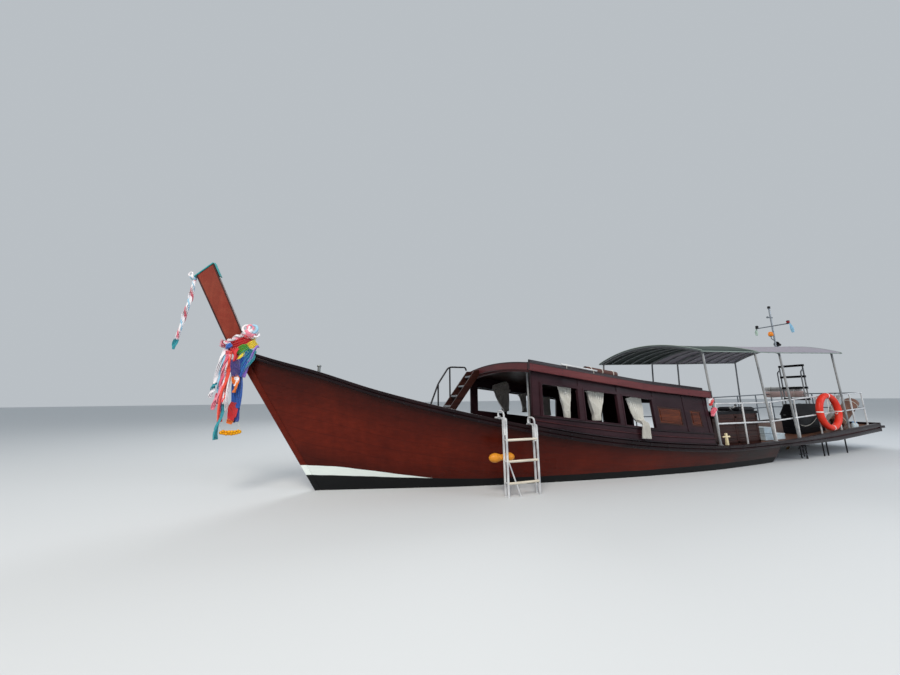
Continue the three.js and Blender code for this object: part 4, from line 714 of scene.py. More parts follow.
# HULL
def hull_skin():
    shape = Shape()
    shares = [(i / 26) ** 1.7 for i in range(26, -1, -1)]

    def ring(row, inset):
        port = [hull_point(row, share, inset) for share in shares]
        return port + flipped(port[-2::-1])

    def planks(base, rings, inner):
        count = len(rings[0])
        run = 0.0
        for i in range(len(rings) - 1):
            step = (Vector(rings[i + 1][0]) - Vector(rings[i][0])).length / 1000
            for j in range(count - 1):
                a, b = base + i * count + j, base + (i + 1) * count + j
                quad = [a, b, b + 1, a + 1]
                up_at = [shares[k] if k < len(shares) else shares[2 * len(shares) - 2 - k]
                    for k in (j, j + 1)]
                lay = [(run, up_at[0]), (run + step, up_at[0]), (run + step, up_at[1]),
                    (run, up_at[1])]
                shape.face(quad[::-1] if inner else quad, 1 if inner else 0, lay[::-1] if inner
                    else lay)
            run += step

    outer = [ring(row, 0) for row in stations]
    inner = [ring(row, PLANKING) for row in stations[FINE:]]
    shape.points += [p for r in outer for p in r]
    start = len(shape.points)
    shape.points += [p for r in inner for p in r]
    count = len(outer[0])
    planks(0, outer, False)
    planks(start, inner, True)
    # Edges: the sheer's top from the solid bow aft, the open after end, the wall closing the bow
    for i in range(FINE):
        a, b = i * count, (i + 1) * count
        shape.face([a, a + count - 1, b + count - 1, b], 1)
    for i in range(len(inner) - 1):
        a, b = (i + FINE) * count, (i + FINE + 1) * count
        c, d = start + i * count, start + (i + 1) * count
        shape.face([a, c, d, b], 1)
        shape.face([a + count - 1, b + count - 1, d + count - 1, c + count - 1], 1)
    a, c = (len(stations) - 1) * count, start + (len(inner) - 1) * count
    for j in range(count - 1):
        shape.face([a + j, c + j, c + j + 1, a + j + 1], 1)
    shape.face([start + j for j in range(count)], 1)
    shape.face([*range(count)][::-1], 0)
    return shape


piece("hull_planking", hull_skin(), [topsides, maroon], "hull_shell", turn=False)


# TREES that repeat a part or lay a rope along lines
def new_tree(name, wanted):
    """An empty Geometry Nodes tree with named inputs and one geometry out."""
    tree = bpy.data.node_groups.new(name, "GeometryNodeTree")
    for label, kind in wanted:
        tree.interface.new_socket(label, in_out="INPUT", socket_type=f"NodeSocket{kind}")
    tree.interface.new_socket("Made", in_out="OUTPUT", socket_type="NodeSocketGeometry")
    return tree, tree.nodes.new("NodeGroupInput").outputs


def close_tree(tree, made, finish):
    """Ends a tree: instances become real faces and take their finish."""
    real = put(tree, "GeometryNodeRealizeInstances", {"Geometry": made})
    coated = put(tree, "GeometryNodeSetMaterial", {"Geometry": real, "Material": finish})
    put(tree, "NodeGroupOutput", {"Made": coated})
    return tree


def row_tree():
    """Sets a small part along lines at a spacing, looking in the lines' stored direction."""
    tree, given = new_tree("parts_along_lines", (
        ("Lines", "Geometry"), ("Part", "Object"), ("Spacing", "Float"), ("Least size", "Float"),
        ("Greatest size", "Float"), ("Seed", "Int"), ("Finish", "Material")))
    curve = put(tree, "GeometryNodeMeshToCurve", {"Mesh": given["Lines"]})
    spots = put(tree, "GeometryNodeResampleCurve", {"Curve": curve, "Length": given["Spacing"]},
        mode="LENGTH")
    part = put(tree, "GeometryNodeObjectInfo", {"Object": given["Part"]})
    outward = put(tree, "GeometryNodeInputNamedAttribute", {"Name": "outward"},
        data_type="FLOAT_VECTOR")
    facing = put(tree, "FunctionNodeAlignRotationToVector", {"Vector": outward}, axis="Z")
    turn = put(tree, "FunctionNodeRandomValue", {2: 0.0, 3: 2 * math.pi, "Seed": given["Seed"]},
        data_type="FLOAT")
    about = put(tree, "FunctionNodeAxisAngleToRotation",
        {"Axis": (0, 0, 1), "Angle": turn.outputs[1]})
    turned = put(tree, "FunctionNodeRotateRotation", {"Rotation": facing, "Rotate By": about},
        rotation_space="LOCAL")
    size = put(tree, "FunctionNodeRandomValue", {
        2: given["Least size"], 3: given["Greatest size"], "Seed": given["Seed"]},
        data_type="FLOAT")
    parts = put(tree, "GeometryNodeInstanceOnPoints", {
        "Points": spots, "Instance": part.outputs["Geometry"], "Rotation": turned,
        "Scale": size.outputs[1]})
    return close_tree(tree, parts, given["Finish"])


def rope_tree():
    """Lays a rope of a few strands along lines, turning by an angle at each step."""
    tree, given = new_tree("laid_rope", (
        ("Lines", "Geometry"), ("Strands", "Object"), ("Step", "Float"), ("Turn", "Float"),
        ("Finish", "Material")))
    curve = put(tree, "GeometryNodeMeshToCurve", {"Mesh": given["Lines"]})
    spots = put(tree, "GeometryNodeResampleCurve", {"Curve": curve, "Length": given["Step"]},
        mode="LENGTH")
    tilt = put(tree, "ShaderNodeMath", {
        0: put(tree, "GeometryNodeInputIndex"), 1: given["Turn"]}, operation="MULTIPLY")
    laid = put(tree, "GeometryNodeSetCurveTilt", {"Curve": spots, "Tilt": tilt})
    strands = put(tree, "GeometryNodeObjectInfo", {"Object": given["Strands"]})
    ring = put(tree, "GeometryNodeMeshToCurve", {"Mesh": strands.outputs["Geometry"]})
    rope = put(tree, "GeometryNodeCurveToMesh",
        {"Curve": laid, "Profile Curve": ring, "Fill Caps": True})
    smooth = put(tree, "GeometryNodeSetShadeSmooth", {"Geometry": rope})
    return close_tree(tree, smooth, given["Finish"])


def line_mesh(name, lines, closed=False):
    """A mesh of bare lines, in metres; each point holds the direction in which it looks."""
    points, edges, looks = [], [], []
    for line in lines:
        start = len(points)
        points += [point for point, look in line]
        looks += [look for point, look in line]
        edges += [(i, i + 1) for i in range(start, len(points) - 1)]
        if closed:
            edges.append((len(points) - 1, start))
    mesh = in_metres(name, points, edges, [])
    held = mesh.attributes.new("outward", "FLOAT_VECTOR", "POINT")
    held.data.foreach_set("vector", [c for look in looks for c in look])
    return linked(name, mesh)


def evaluated(host):
    """A plain mesh of an object as its modifiers leave it."""
    depsgraph = bpy.context.evaluated_depsgraph_get()
    return bpy.data.meshes.new_from_object(host.evaluated_get(depsgraph))


def from_tree(name, host, tree, values):
    """Sets the tree's inputs, keeps its result as a plain mesh and puts that on its body."""
    modifier = host.modifiers.new(tree.name, "NODES")
    modifier.node_group = tree
    for socket in tree.interface.items_tree:
        if socket.in_out == "INPUT" and socket.name in values:
            modifier[socket.identifier] = values[socket.name]
    mesh = evaluated(host)
    mesh.name = name
    bpy.data.objects.remove(host)
    made = linked(name, mesh)
    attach(made, "boat")
    return made


def part_object(name, shape):
    """A small part about its own middle, in metres, for a tree to repeat."""
    mesh = in_metres(name, shape.points, [], shape.faces)
    sealed(mesh)
    return linked(name, mesh)


ALONG_LINES, LAID_ROPE = row_tree(), rope_tree()


def set_along(name, lines, part, spacing, finish, sizes=(1.0, 1.0), seed=1):
    """Sets a part along lines of (point, direction it looks in), `spacing` mm apart."""
    return from_tree(name, line_mesh(name, lines), ALONG_LINES, {
        "Part": part, "Spacing": spacing / 1000, "Least size": sizes[0],
        "Greatest size": sizes[1], "Seed": seed, "Finish": finish})


def laid_cord(name, points, diameter):
    """A limp three-strand rope along a smooth route, both ends made fast to the boat."""
    route = smooth_line(points, 6)
    lobes = []
    for a in turns_of(18):
        reach = diameter / 2 * (0.86 + 0.14 * math.cos(3 * a))
        lobes.append((reach * math.cos(a), reach * math.sin(a), 0))
    strands = line_mesh(f"{name}_strands", [[(p, UPRIGHT) for p in lobes]], closed=True)
    # One turn of the strands takes about four diameters, in sixteen steps
    made = from_tree(name, line_mesh(name, [[(p, UPRIGHT) for p in route]]), LAID_ROPE, {
        "Strands": strands, "Step": diameter / 4000, "Turn": 2 * math.pi / 16,
        "Finish": rope_white})
    bpy.data.objects.remove(strands)


# Radius of the deck rails' tubes, and how far in from the deck's edge they stand
RAIL_R, RAIL_IN = 13, 92
BUOY = {"x": -4190, "z": 818, "ring": 300, "tube": 55}


def rail_y(x):
    return half_beam(x) - RAIL_IN


# CORDS, by the points of their routes
# The lifebuoy hangs on the port rail, its ring against the rail's outer side
buoy_y = (rail_y(BUOY["x"] + BUOY["ring"] + 20) + RAIL_R
          + BUOY["tube"] * math.cos(math.pi / 10) + 0.3)
# Its grab line: from the fore seizing up to the top one and on to the aft one, slack in the hole
# columns: forward and up from the ring's middle
GRAB = [(262, -6), (232, -26), (196, -42), (158, -46), (122, -34), (92, -6), (70, 34), (54, 80),
        (42, 130), (33, 180), (25, 218), (10, 240), (-10, 240), (-25, 218), (-33, 180),
        (-42, 130), (-54, 80), (-72, 34), (-96, -6), (-128, -34), (-164, -46), (-200, -42),
        (-234, -26), (-262, -6)]
GRAB_END = GRAB[0][0]
laid_cord("lifebuoy_grab_line", [
    (BUOY["x"] + a, buoy_y + 12 + 20 * math.sin(math.pi * (GRAB_END - abs(a)) / GRAB_END),
     BUOY["z"] + b) for a, b in GRAB], 9)
# Line over the engine cover's port face, from an eye at its fore corner to one near its aft end
laid_cord("engine_cover_line", [
    (-3896, 695, 560), (-3920, 694, 548), (-3990, 693, 534), (-4060, 693, 532), (-4130, 693, 540),
    (-4200, 693, 556), (-4270, 693, 580), (-4340, 693, 612), (-4400, 694, 650), (-4440, 695, 680),
], 9)
# Thread that holds the marigolds under the bow sashes
FLOWER_LINE = [(6098, 152, 912), (6094, 153, 860), (6086, 154, 800), (6070, 155, 768),
    (6040, 156, 760), (6005, 156, 755),
               (5970, 156, 753), (5935, 156, 755), (5905, 155, 760), (5882, 154, 770),
               (5876, 152, 800), (5896, 150, 850),
               (5912, 146, 900)]

# The rub rail is two rounded bands with a red groove between them
RAIL_OUT, RAIL_DEPTH, RAIL_DEPTH_STERN = 45, 95, 165
# columns: out from the skin in mm, share of the rail's depth
RAIL_SECTION = [
    (-6, 0.0), (38, 0.0), (43, 0.03), (45, 0.09), (45, 0.36), (42, 0.43), (34, 0.46), (24, 0.48),
    (24, 0.55), (34, 0.57), (42, 0.60), (45, 0.67), (45, 0.90), (42, 0.97), (36, 1.0), (-6, 1.0),
]


def rub_rail(side):
    """The rail's section carried down the sheer, then aft of the transom along the overhang."""
    rings = []
    for row in stations:
        share = RAIL_DEPTH / (row[2] - row[4])
        top, low = hull_point(row, 1.0), hull_point(row, 1.0 - share)
        spots = [(out, towards(top, low, t)) for out, t in RAIL_SECTION]
        rings.append([(x, y + out, z) for out, (x, y, z) in spots])
    for x in spread(TRANSOM_X, STERN_X, 24)[1:]:
        t = (TRANSOM_X - x) / (TRANSOM_X - STERN_X)
        depth = RAIL_DEPTH + (RAIL_DEPTH_STERN - RAIL_DEPTH) * min(1.0, 2 * t)
        rings.append([(x, half_beam(x) + max(out, 0.3), edge_z(x) - depth * u)
                      for out, u in RAIL_SECTION])
    rings = [[(x, side * y, z) for x, y, z in ring] for ring in rings]
    return Shape().loft(rings, turned=side < 0, finish=lambda i, j: 1 if 6 <= j <= 8 else 0)


for side, name in SIDES:
    piece(f"rub_rail_bands_{name}", rub_rail(side), [rail_dark, rail_red],
        f"rub_rail_{name}")

# Stem and prow board
STEM_FRONT = [(4790, -330), (5000, 0), (5905, 1510), (6180, 1930), (6555, 2700)]
PROW_TOP_BACK, BOARD_FOOT_X = (6384, 2893), 5888
PROW_HALF = 34
TIP_X, TIP_Z, FOREFOOT_X, FOREFOOT_Z = 5975, 1785, 4750, -300


def hull_front(z):
    """Just ahead of the planking's sharp end at a height."""
    return FOREFOOT_X + (TIP_X - FOREFOOT_X) * (z - FOREFOOT_Z) / (TIP_Z - FOREFOOT_Z) + 0.6


def stem_front(z):
    return along([(h, x) for x, h in STEM_FRONT], z)


def plank_section(back, front):
    """Section of an upright board from its back edge to its front edge, its corners eased."""
    (xb, zb), (xf, zf) = back, front
    long = math.hypot(xf - xb, zf - zb)
    band = min(20.0, 0.3 * long)
    steps = [(0, 0.72), (3, 0.94), (9, 1.0), (band - 3, 1.0), (band, 0.93)]
    steps += [(long - d, wide) for d, wide in reversed(steps)]
    port = [(xb + (xf - xb) * d / long, PROW_HALF * wide, zb + (zf - zb) * d / long)
            for d, wide in steps]
    return port + flipped(port[::-1])


def stem():
    rings = [plank_section((hull_front(z), z), (stem_front(z), z)) for z in spread(-330, 1784, 40)]
    shape = Shape().loft(rings)
    for face, quad in zip(shape.lay, shape.faces):
        face[:] = [(shape.points[c][0] / 1000, 0.5) for c in quad]
    return shape


def prow_board():
    """The tall board above the stem, bent aft and up to its slanting top."""
    front = smooth_line([(stem_front(1785), 0, 1785), (6180, 0, 1935), (6395, 0, 2372),
        (6555, 0, 2700)], 7)
    back = smooth_line([(BOARD_FOOT_X, 0, 1785.3), (5955, 0, 1945), (6172, 0, 2430),
        (PROW_TOP_BACK[0], 0, PROW_TOP_BACK[1])], 7)
    rings = [plank_section((b.x, b.z), (f.x, f.z)) for b, f in zip(back, front)]
    # All but the board's two broad faces is edge band
    return Shape().loft(rings, finish=lambda i, j: 0 if j in (4, 14) else 1)


piece("stem_timber", stem(), topsides, turn=False)
piece("prow_timber", prow_board(), [prow_paint, prow_edge], "prow_board")


# Cap strip over the board's top and a hand's breadth down its back
# columns: from, to, half width, a direction that is outwards
CAP_RUNS = [((6572, 2690), (6384, 2899), 42, (0.5, 0, 1)),
            ((6379, 2898), (6300, 2728), 40, (-1, 0, 0.4))]
cap_strip = Shape()
for start, end, wide, outwards in CAP_RUNS:
    a, b = [Vector((x, 0, z)) for x, z in (start, end)]
    along_it = (b - a).normalized()
    out = Vector((-along_it.z, 0, along_it.x))
    out = out if out.dot(Vector(outwards)) > 0 else -out
    cap_strip.loft([[p + out * d + Vector((0, y, 0)) for y, d in (
        (-wide, 0), (wide, 0), (wide, 9), (wide - 4, 13), (4 - wide, 13), (-wide, 9))]
        for p in (a, a.lerp(b, 0.5), b)])
# Two rows of tacks along it
for x, z in ((6560, 2700), (6478, 2800), (6400, 2880)):
    for y in (-22, 22):
        cap_strip.turned((x + 8, y, z + 10), (0.74, 0, 0.67), [(-4, 5), (2.4, 5), (4, 2)], 10)
piece("prow_cap_strip", cap_strip, teal, "prow_cap", edge=1)


# DECKS: separate planks with dark gaps
DECK_GAP, DECK_EDGE = 4, 1.5


def planked(name, x0, x1, half_at, z_at, thick, wide, finish, stands_for, steps):
    """Planks from end to end, each as long as the deck's outline lets it be."""
    shape = Shape()
    count = int(1300 / wide) + 1
    for n in range(-count, count + 1):
        y0, y1 = (n - 0.5) * wide + DECK_GAP / 2, (n + 0.5) * wide - DECK_GAP / 2
        run = []
        for x in [*spread(x1, x0, steps), None]:
            half = half_at(x) if x is not None else 0
            a, b = max(-half, min(half, y0)), max(-half, min(half, y1))
            if b - a > 3:
                z, e = z_at(x), DECK_EDGE
                run.append([(x, a, z - thick), (x, b, z - thick), (x, b, z - e), (x, b - e, z),
                            (x, a + e, z), (x, a, z - e)])
            else:
                if len(run) > 1:
                    shape.loft(run)
                run = []
    piece(name, shape, finish, stands_for)


def inside(x, z):
    """Half width inside the planking at a height, from the station nearest to x there."""
    def off(row):
        share = max(0.0, min(1.0, (z - row[4]) / (row[2] - row[4])))
        return abs(hull_point(row, share)[0] - x)

    row = min(stations, key=off)
    share = max(0.001, min(1.0, (z - row[4] - 44) / (row[2] - row[4] - 44)))
    return hull_point(row, share, PLANKING)[1] - 2


FLOOR_Z = -40
planked("foredeck_planks", 2356, 5438, lambda x: inside(x, edge_z(x) - 34),
        lambda x: edge_z(x) - 30, 31, 92, deck_teak, "foredeck", 40)
planked("cabin_floor_planks", -718, 2354, lambda x: inside(x, FLOOR_Z - 2),
        lambda x: FLOOR_Z, 29, 110, floor_teak, "cabin_floor", 16)
planked("aft_deck_planks", -6049, -762,
        lambda x: inside(x, 345) if x > TRANSOM_X else half_beam(x) - 1,
        deck_z, 31, 98, deck_teak, "aft_deck", 60)

# CABIN
CABIN_FRONT, WALL, EAVES = 2390, 38, 45
# columns: x forward, x aft, top forward, top aft, foot forward, foot aft
WINDOWS = [(2240, 1705, 1315, 1250, 915, 850), (1605, 1065, 1235, 1170, 835, 770),
    (965, 440, 1155, 1090, 755, 690)]
PANELS = [(345, -130, 1000, 950, 745, 695), (-300, -540, 935, 910, 685, 660)]
# columns: x, edge height, half width
ROOF_EDGE = [(2440, 1590, 1100), (1340, 1432, 1150), (500, 1320, 1165), (-770, 1205, 1150)]
ROOF_FRONT, ROOF_AFT, ROOF_THICK, CAMBER, ROOF_STRIPS = 2440, -770, 34, 75, 36


def roof_half(x):
    return along(ROOF_EDGE, x, 2)


def roof_low(x, y):
    """Height of the roof's underside, which is cambered across."""
    return along(ROOF_EDGE, x) - ROOF_THICK + CAMBER * (1 - (y / roof_half(x)) ** 2)


def wall_low(x):
    """Half width of the cabin's wall at its foot, just inside the planking's outer face."""
    return half_beam(x) - 4


def wall_high(x):
    return roof_half(x) - EAVES


def wall_y(x, z):
    """Distance of the wall's outer face from the middle at a height: the wall leans inwards."""
    rise = (z - edge_z(x)) / (roof_low(x, wall_high(x)) - edge_z(x))
    return wall_low(x) + (wall_high(x) - wall_low(x)) * rise


def trim_board(shape, points, out, thick, side, finish=0):
    """An outline (x, z) laid on the cabin side as a raised board."""
    shape.loft([[(x, side * (wall_y(x, z) + reach), z) for x, z in points]
                for reach in (out, out + thick)], finish=finish)


def trim_frame(shape, inner, outer, out, thick, side, finish=0):
    """Four boards between two outlines."""
    for k in range(4):
        n = (k + 1) % 4
        trim_board(shape, [inner[k], inner[n], outer[n], outer[k]], out, thick, side, finish)


def grown(corners, by):
    """A four-cornered outline (forward top, aft top, aft foot, forward foot) grown on all sides."""
    (x0, t0), (x1, t1), (x2, b1), (x3, b0) = corners
    return [(x0 + by, t0 + by), (x1 - by, t1 + by), (x2 - by, b1 - by), (x3 + by, b0 - by)]


def moulding(shape, z_at, out, high, side, finish=0):
    """A long half-round strip on the cabin side."""
    arc = [(out * math.cos(a), math.sin(a)) for a in spread(math.pi / 2, -math.pi / 2, 6)]
    section = [(-3, 1), *arc, (-3, -1)]
    shape.loft([[(x, side * (wall_y(x, z_at(x)) + a), z_at(x) + high / 2 * b) for a, b in section]
                for x in spread(2389, -719, 28)], finish=finish)


def sill_z(x):
    """Height just under the windows, on one line along the side."""
    return along([(2390, 905), (1705, 822), (1065, 742), (440, 662), (-720, 560)], x)


def eaves_z(x):
    return roof_low(x, wall_high(x))


for side, name in SIDES:
    frames, strips, panels = Shape(), Shape(), Shape()
    for x0, x1, t0, t1, b0, b1 in WINDOWS:
        opening = [(x0, t0), (x1, t1), (x1, b1), (x0, b0)]
        for near, far, thick in ((0, 20, 11), (20, 34, 6)):
            trim_frame(frames, grown(opening, near), grown(opening, far), 0.6, thick, side)
    for x0, x1, t0, t1, b0, b1 in PANELS:
        opening = [(x0, t0), (x1, t1), (x1, b1), (x0, b0)]
        trim_frame(panels, grown(opening, -22), grown(opening, -1), -9.6, 8, side, 1)
        trim_board(panels, grown(opening, -22), -9.6, 4, side)
        trim_board(panels, grown(opening, -48), -6, 6, side)
    # Posts between the windows, and the mouldings along the side
    for x0, x1 in ((2386, 2300), (1690, 1622), (1050, 982), (412, 372), (-190, -240), (-640, -716)):
        trim_board(frames, [(x0, eaves_z(x0) - 70), (x1, eaves_z(x1) - 70), (x1, sill_z(x1) + 12),
                            (x0, sill_z(x0) + 12)], 0.6, 5, side)
    moulding(strips, lambda x: sill_z(x) - 2, 14, 26, side)
    moulding(strips, lambda x: edge_z(x) + 16, 20, 30, side)
    moulding(strips, lambda x: (sill_z(x) + edge_z(x)) / 2 + 12, 12, 18, side, 1)
    moulding(strips, lambda x: eaves_z(x) - 52, 12, 34, side)
    piece(f"window_frames_{name}", frames, maroon, edge=1.6)
    piece(f"cabin_mouldings_{name}", strips, [rail_dark, rail_red])
    piece(f"teak_panels_{name}", panels, [panel_teak, brown_teak], edge=1.6)


# ROOF: a smooth cambered board roof with its fascia, drip edge and rails
def roof_board():
    rings = []
    for x in spread(ROOF_FRONT, ROOF_AFT, 24):
        half = roof_half(x)
        top = [(x, y, roof_low(x, y) + ROOF_THICK) for y in spread(half, -half, ROOF_STRIPS)]
        low = [(x, y, roof_low(x, y)) for y in spread(-half, half, ROOF_STRIPS)]
        rings.append(top + low)
    return Shape().loft(rings, turned=True, finish=lambda i, j: 0 if j < ROOF_STRIPS else 1)


piece("roof_boards", roof_board(), [maroon, ceiling_paint], "cabin_roof")

FASCIA, FASCIA_DEPTH, FASCIA_RISE = 26, 108, 6
# columns: out from the roof's edge in mm, share of the depth from the top
FASCIA_SECTION = [(0.6, 0.0), (22, 0.0), (25, 0.03), (26, 0.08), (26, 0.13), (23, 0.14), (23, 0.84),
    (26, 0.86),
                  (26, 0.95), (23, 0.99), (18, 1.0), (0.6, 1.0)]


def fascia_z(x, share):
    """Height on the fascia, at a share of its depth from the top."""
    return along(ROOF_EDGE, x) + FASCIA_RISE - FASCIA_DEPTH * share


def fascia():
    shape = Shape()
    drip = lambda i, j: 1 if j < 4 else 0
    for side in (1, -1):
        ends = [ROOF_FRONT + FASCIA, *spread(ROOF_FRONT, ROOF_AFT, 24), ROOF_AFT - FASCIA]
        rings = [[(x, side * (roof_half(x) + out), fascia_z(x, t)) for out, t in FASCIA_SECTION]
                 for x in ends]
        shape.loft(rings, turned=side > 0, finish=drip)
    for x, ahead in ((ROOF_FRONT, 1), (ROOF_AFT, -1)):
        rings = []
        outer = roof_half(x) + FASCIA - 0.5
        for y in spread(outer, -outer, ROOF_STRIPS):
            lift = CAMBER * max(0.0, 1 - (y / roof_half(x)) ** 2)
            rings.append([(x + ahead * out, y, fascia_z(x, t) + lift) for out, t in FASCIA_SECTION])
        shape.loft(rings, turned=ahead > 0, finish=drip)
    return shape


piece("roof_fascia_boards", fascia(), [sunlit_fascia_paint, drip_brown], "roof_fascia")


def roof_top(x, y):
    return roof_low(x, y) + ROOF_THICK + 0.6


def roof_rails():
    shape = Shape()
    section = ((1080, 0), (1080, 36), (1076, 43), (1068, 46), (1052, 46), (1044, 43), (1040, 36),
               (1040, 0))
    for side in (1, -1):
        shape.loft([[(x, side * y, roof_top(x, y) + z) for y, z in section]
                    for x in spread(2410, -740, 24)])
    for x in (ROOF_FRONT - 30, ROOF_AFT + 70):
        rings = [[(x - a, y, roof_top(x - a, y) + z) for a,
            z in ((0, 0), (0, 8), (3, 10), (37, 10), (40, 8), (40, 0))]
                 for y in spread(1050, -1050, 30)]
        shape.loft(rings)
    return shape


piece("roof_side_rails", roof_rails(), rail_dark, "roof_rail")


# CABIN FRONT: header under the fascia, benches, aft wall trim
header_half = wall_high(CABIN_FRONT) - WALL - 2
# columns: x, depth under the roof
HEADER_SECTION = ((2389, 0), (2389, 76), (2385, 84), (2376, 85), (2345, 85), (2345, 0))
header = Shape().loft([[(x, y, roof_low(CABIN_FRONT - 20, y) - 1.5 - d) for x, d in HEADER_SECTION]
                       for y in spread(header_half, -header_half, 24)])
# The header board takes the fascia's paint, which is painted lighter as if sunlit
piece("front_header_board", header, sunlit_fascia_paint, "front_header")

BENCH_TOP, BENCH_BOARD, BENCH_PITCH = FLOOR_Z + 400, 36, 78
for side, name in SIDES:
    bench = Shape()
    top, under = BENCH_TOP, BENCH_TOP - BENCH_BOARD
    for y in spread(430, 430 + 3 * BENCH_PITCH, 3):
        bench.block(-600, 1900, side * y, side * (y + 72), under, top)
    for x in (-540, 650, 1840):
        bench.block(x - 20, x + 20, side * 452, side * 660, FLOOR_Z + 0.5, under - 24)
        bench.block(x - 28, x + 28, side * 440, side * 730, under - 24, under)
    piece(f"bench_boards_{name}", bench, brown_teak, f"bench_{name}", edge=3)

# Aft wall: board seams, door lining and a coaming under the doorway
aft_trim = Shape()
AFT_FACE = -755.4
for y in spread(-1080, 1080, 12):
    if abs(y) > 380:
        aft_trim.block(-760, AFT_FACE, y - 9, y + 9, edge_z(-755) + 25, roof_low(-755, y) - 25)
for y0, y1, z0, z1 in ((340, 376, 354, 1056), (-376, -340, 354, 1056), (-376, 376, 1020, 1056)):
    aft_trim.block(-765, AFT_FACE, y0, y1, z0, z1)
piece("aft_wall_battens", aft_trim, maroon, edge=2)

# STAIR to the roof with its handrail, and the pole beside it
STAIR = {"port": -440, "starboard": -830, "foot": 3080, "top": 2487, "top_z": 1600, "board": 32}
foot_z = edge_z(STAIR["foot"]) - 29
stair = Shape()
outline = [(STAIR["foot"], foot_z), (2930, foot_z + 22), (2467, 1530), (2467, 1620), (2547, 1620)]
for y in (STAIR["starboard"], STAIR["port"] - STAIR["board"]):
    stair.loft([[(x, y + wide, z) for x, z in outline] for wide in (0, STAIR["board"])])
for i in range(4):
    t = (i + 0.7) / 4.2
    x = STAIR["foot"] - 60 + (STAIR["top"] - STAIR["foot"] + 30) * t
    z = foot_z + (STAIR["top_z"] - foot_z) * t
    stair.block(x - 55, x + 65, STAIR["starboard"] + 6, STAIR["port"] - 6, z - 13, z + 13)
    stair.block(x + 58, x + 66, STAIR["starboard"] + 8, STAIR["port"] - 8, z - 14.5, z + 14.5, 1)
piece("stair_boards", stair, [brown_teak, tread_edge], "roof_stair", edge=3)

HAND_Y, HAND_R = STAIR["starboard"] - 22, 15
hand = Shape()
hand_deck = lambda x: edge_z(x + HAND_R) - 29.4
hand.tube(rounded([(3270, HAND_Y + 60, hand_deck(3270) + 6), (3080, HAND_Y, 1400),
                   (2880, HAND_Y, 1700), (2560, HAND_Y, 1700), (2540, HAND_Y, 1640)], 60), HAND_R)
for x, top in ((2860, 1700), (3080, 1400)):
    hand.tube([(x, HAND_Y, hand_deck(x)), (x, HAND_Y, top)], HAND_R - 1)
    hand.turned((x, HAND_Y, hand_deck(x)), UPRIGHT, [(0, 34), (4, 34), (6, 18), (12, 16)], 20)
piece("stair_rail_tubes", hand, black_steel, "stair_handrail")

pole = Shape()
pole_ends = [(2370, 940, edge_z(2383) - 29.7), (2370, 940, roof_low(2357, 953) - 87)]
pole.tube(pole_ends, 13, 18)
for end, way in zip(pole_ends, (1, -1)):
    pole.turned(end, (0, 0, way), [(0, 30), (4, 30), (7, 16), (14, 14)], 24)
piece("grab_pole_tube", pole, grey_tube, "grab_pole")

# CANOPIES: hoops, then canvas on battens
# columns: x, half width at the foot, half width at the eaves, eave height
HOOPS = [(-850, 1165, 1085, 1850), (-2240, 1125, 1042, 1888), (-3010, 1066, 1002, 1912),
    (-4930, 938, 905, 2000)]
HOOP_R, HOOP_CAMBER = 17, 205


def arch_z(x, y):
    return along(HOOPS, x, 3) + HOOP_CAMBER * (1 - (y / along(HOOPS, x, 2)) ** 2)


for number, (x, base, half, _) in enumerate(HOOPS, 1):
    seat = edge_z if x > TRANSOM_X else deck_z
    foot = max(seat(x - HOOP_R), seat(x + HOOP_R)) + 1.2
    arch = [(x, y, arch_z(x, y)) for y in spread(half, -half, 24)]
    shape = Shape().tube(rounded([(x, base, foot), *arch, (x, -base, foot)], 40, 3), HOOP_R,
                         side=FORWARD)
    for y in (base, -base):
        shape.turned((x, y, foot), UPRIGHT, [(0, 36), (4, 36), (7, 21), (18, 19)], 24)
    piece(f"hoop_tube_{number}", shape, grey_tube, f"canopy_hoop_{number}")

# columns: name, forward x, aft x, half width forward, half width aft, battens, canvas, slot,
# finish of the battens
CANOPIES = [
    ("canopy_front", -770, -2230, 1130, 1080, 5, canopy_green, "green_canopy", zinc),
    ("canopy_aft", -2250, -5080, 1075, 1000, 8, canopy_pale, "pale_canopy", grey_tube),
]
LIFT, CANVAS, HEM = 18.8, 22, circle(9, 10)


def canopy_sheet(x0, x1, half_at):
    """Canvas pulled over the hoops: it sags between them and turns down at its edges."""
    held = [h[0] for h in HOOPS if x1 < h[0] < x0] + [x0, x1]
    rings = []
    for x in spread(x0, x1, 48):
        half = half_at(x)
        near = min(abs(x - h) for h in held)
        ring = []
        for y in spread(half, -half, 56):
            sag = 7.0 * min(1.0, near / 350) * (1 - (y / half) ** 4)
            ripple = 1.6 * math.sin(y / 70 + x / 190) * math.sin(x / 260)
            lip = -16.0 * max(0.0, (abs(y) - half + 45) / 45) ** 2
            ring.append((x, y, arch_z(x, y) + LIFT + CANVAS * 0.72 - sag + ripple + lip))
        rings.append(ring)
    return Shape().loft(rings, closed=False)


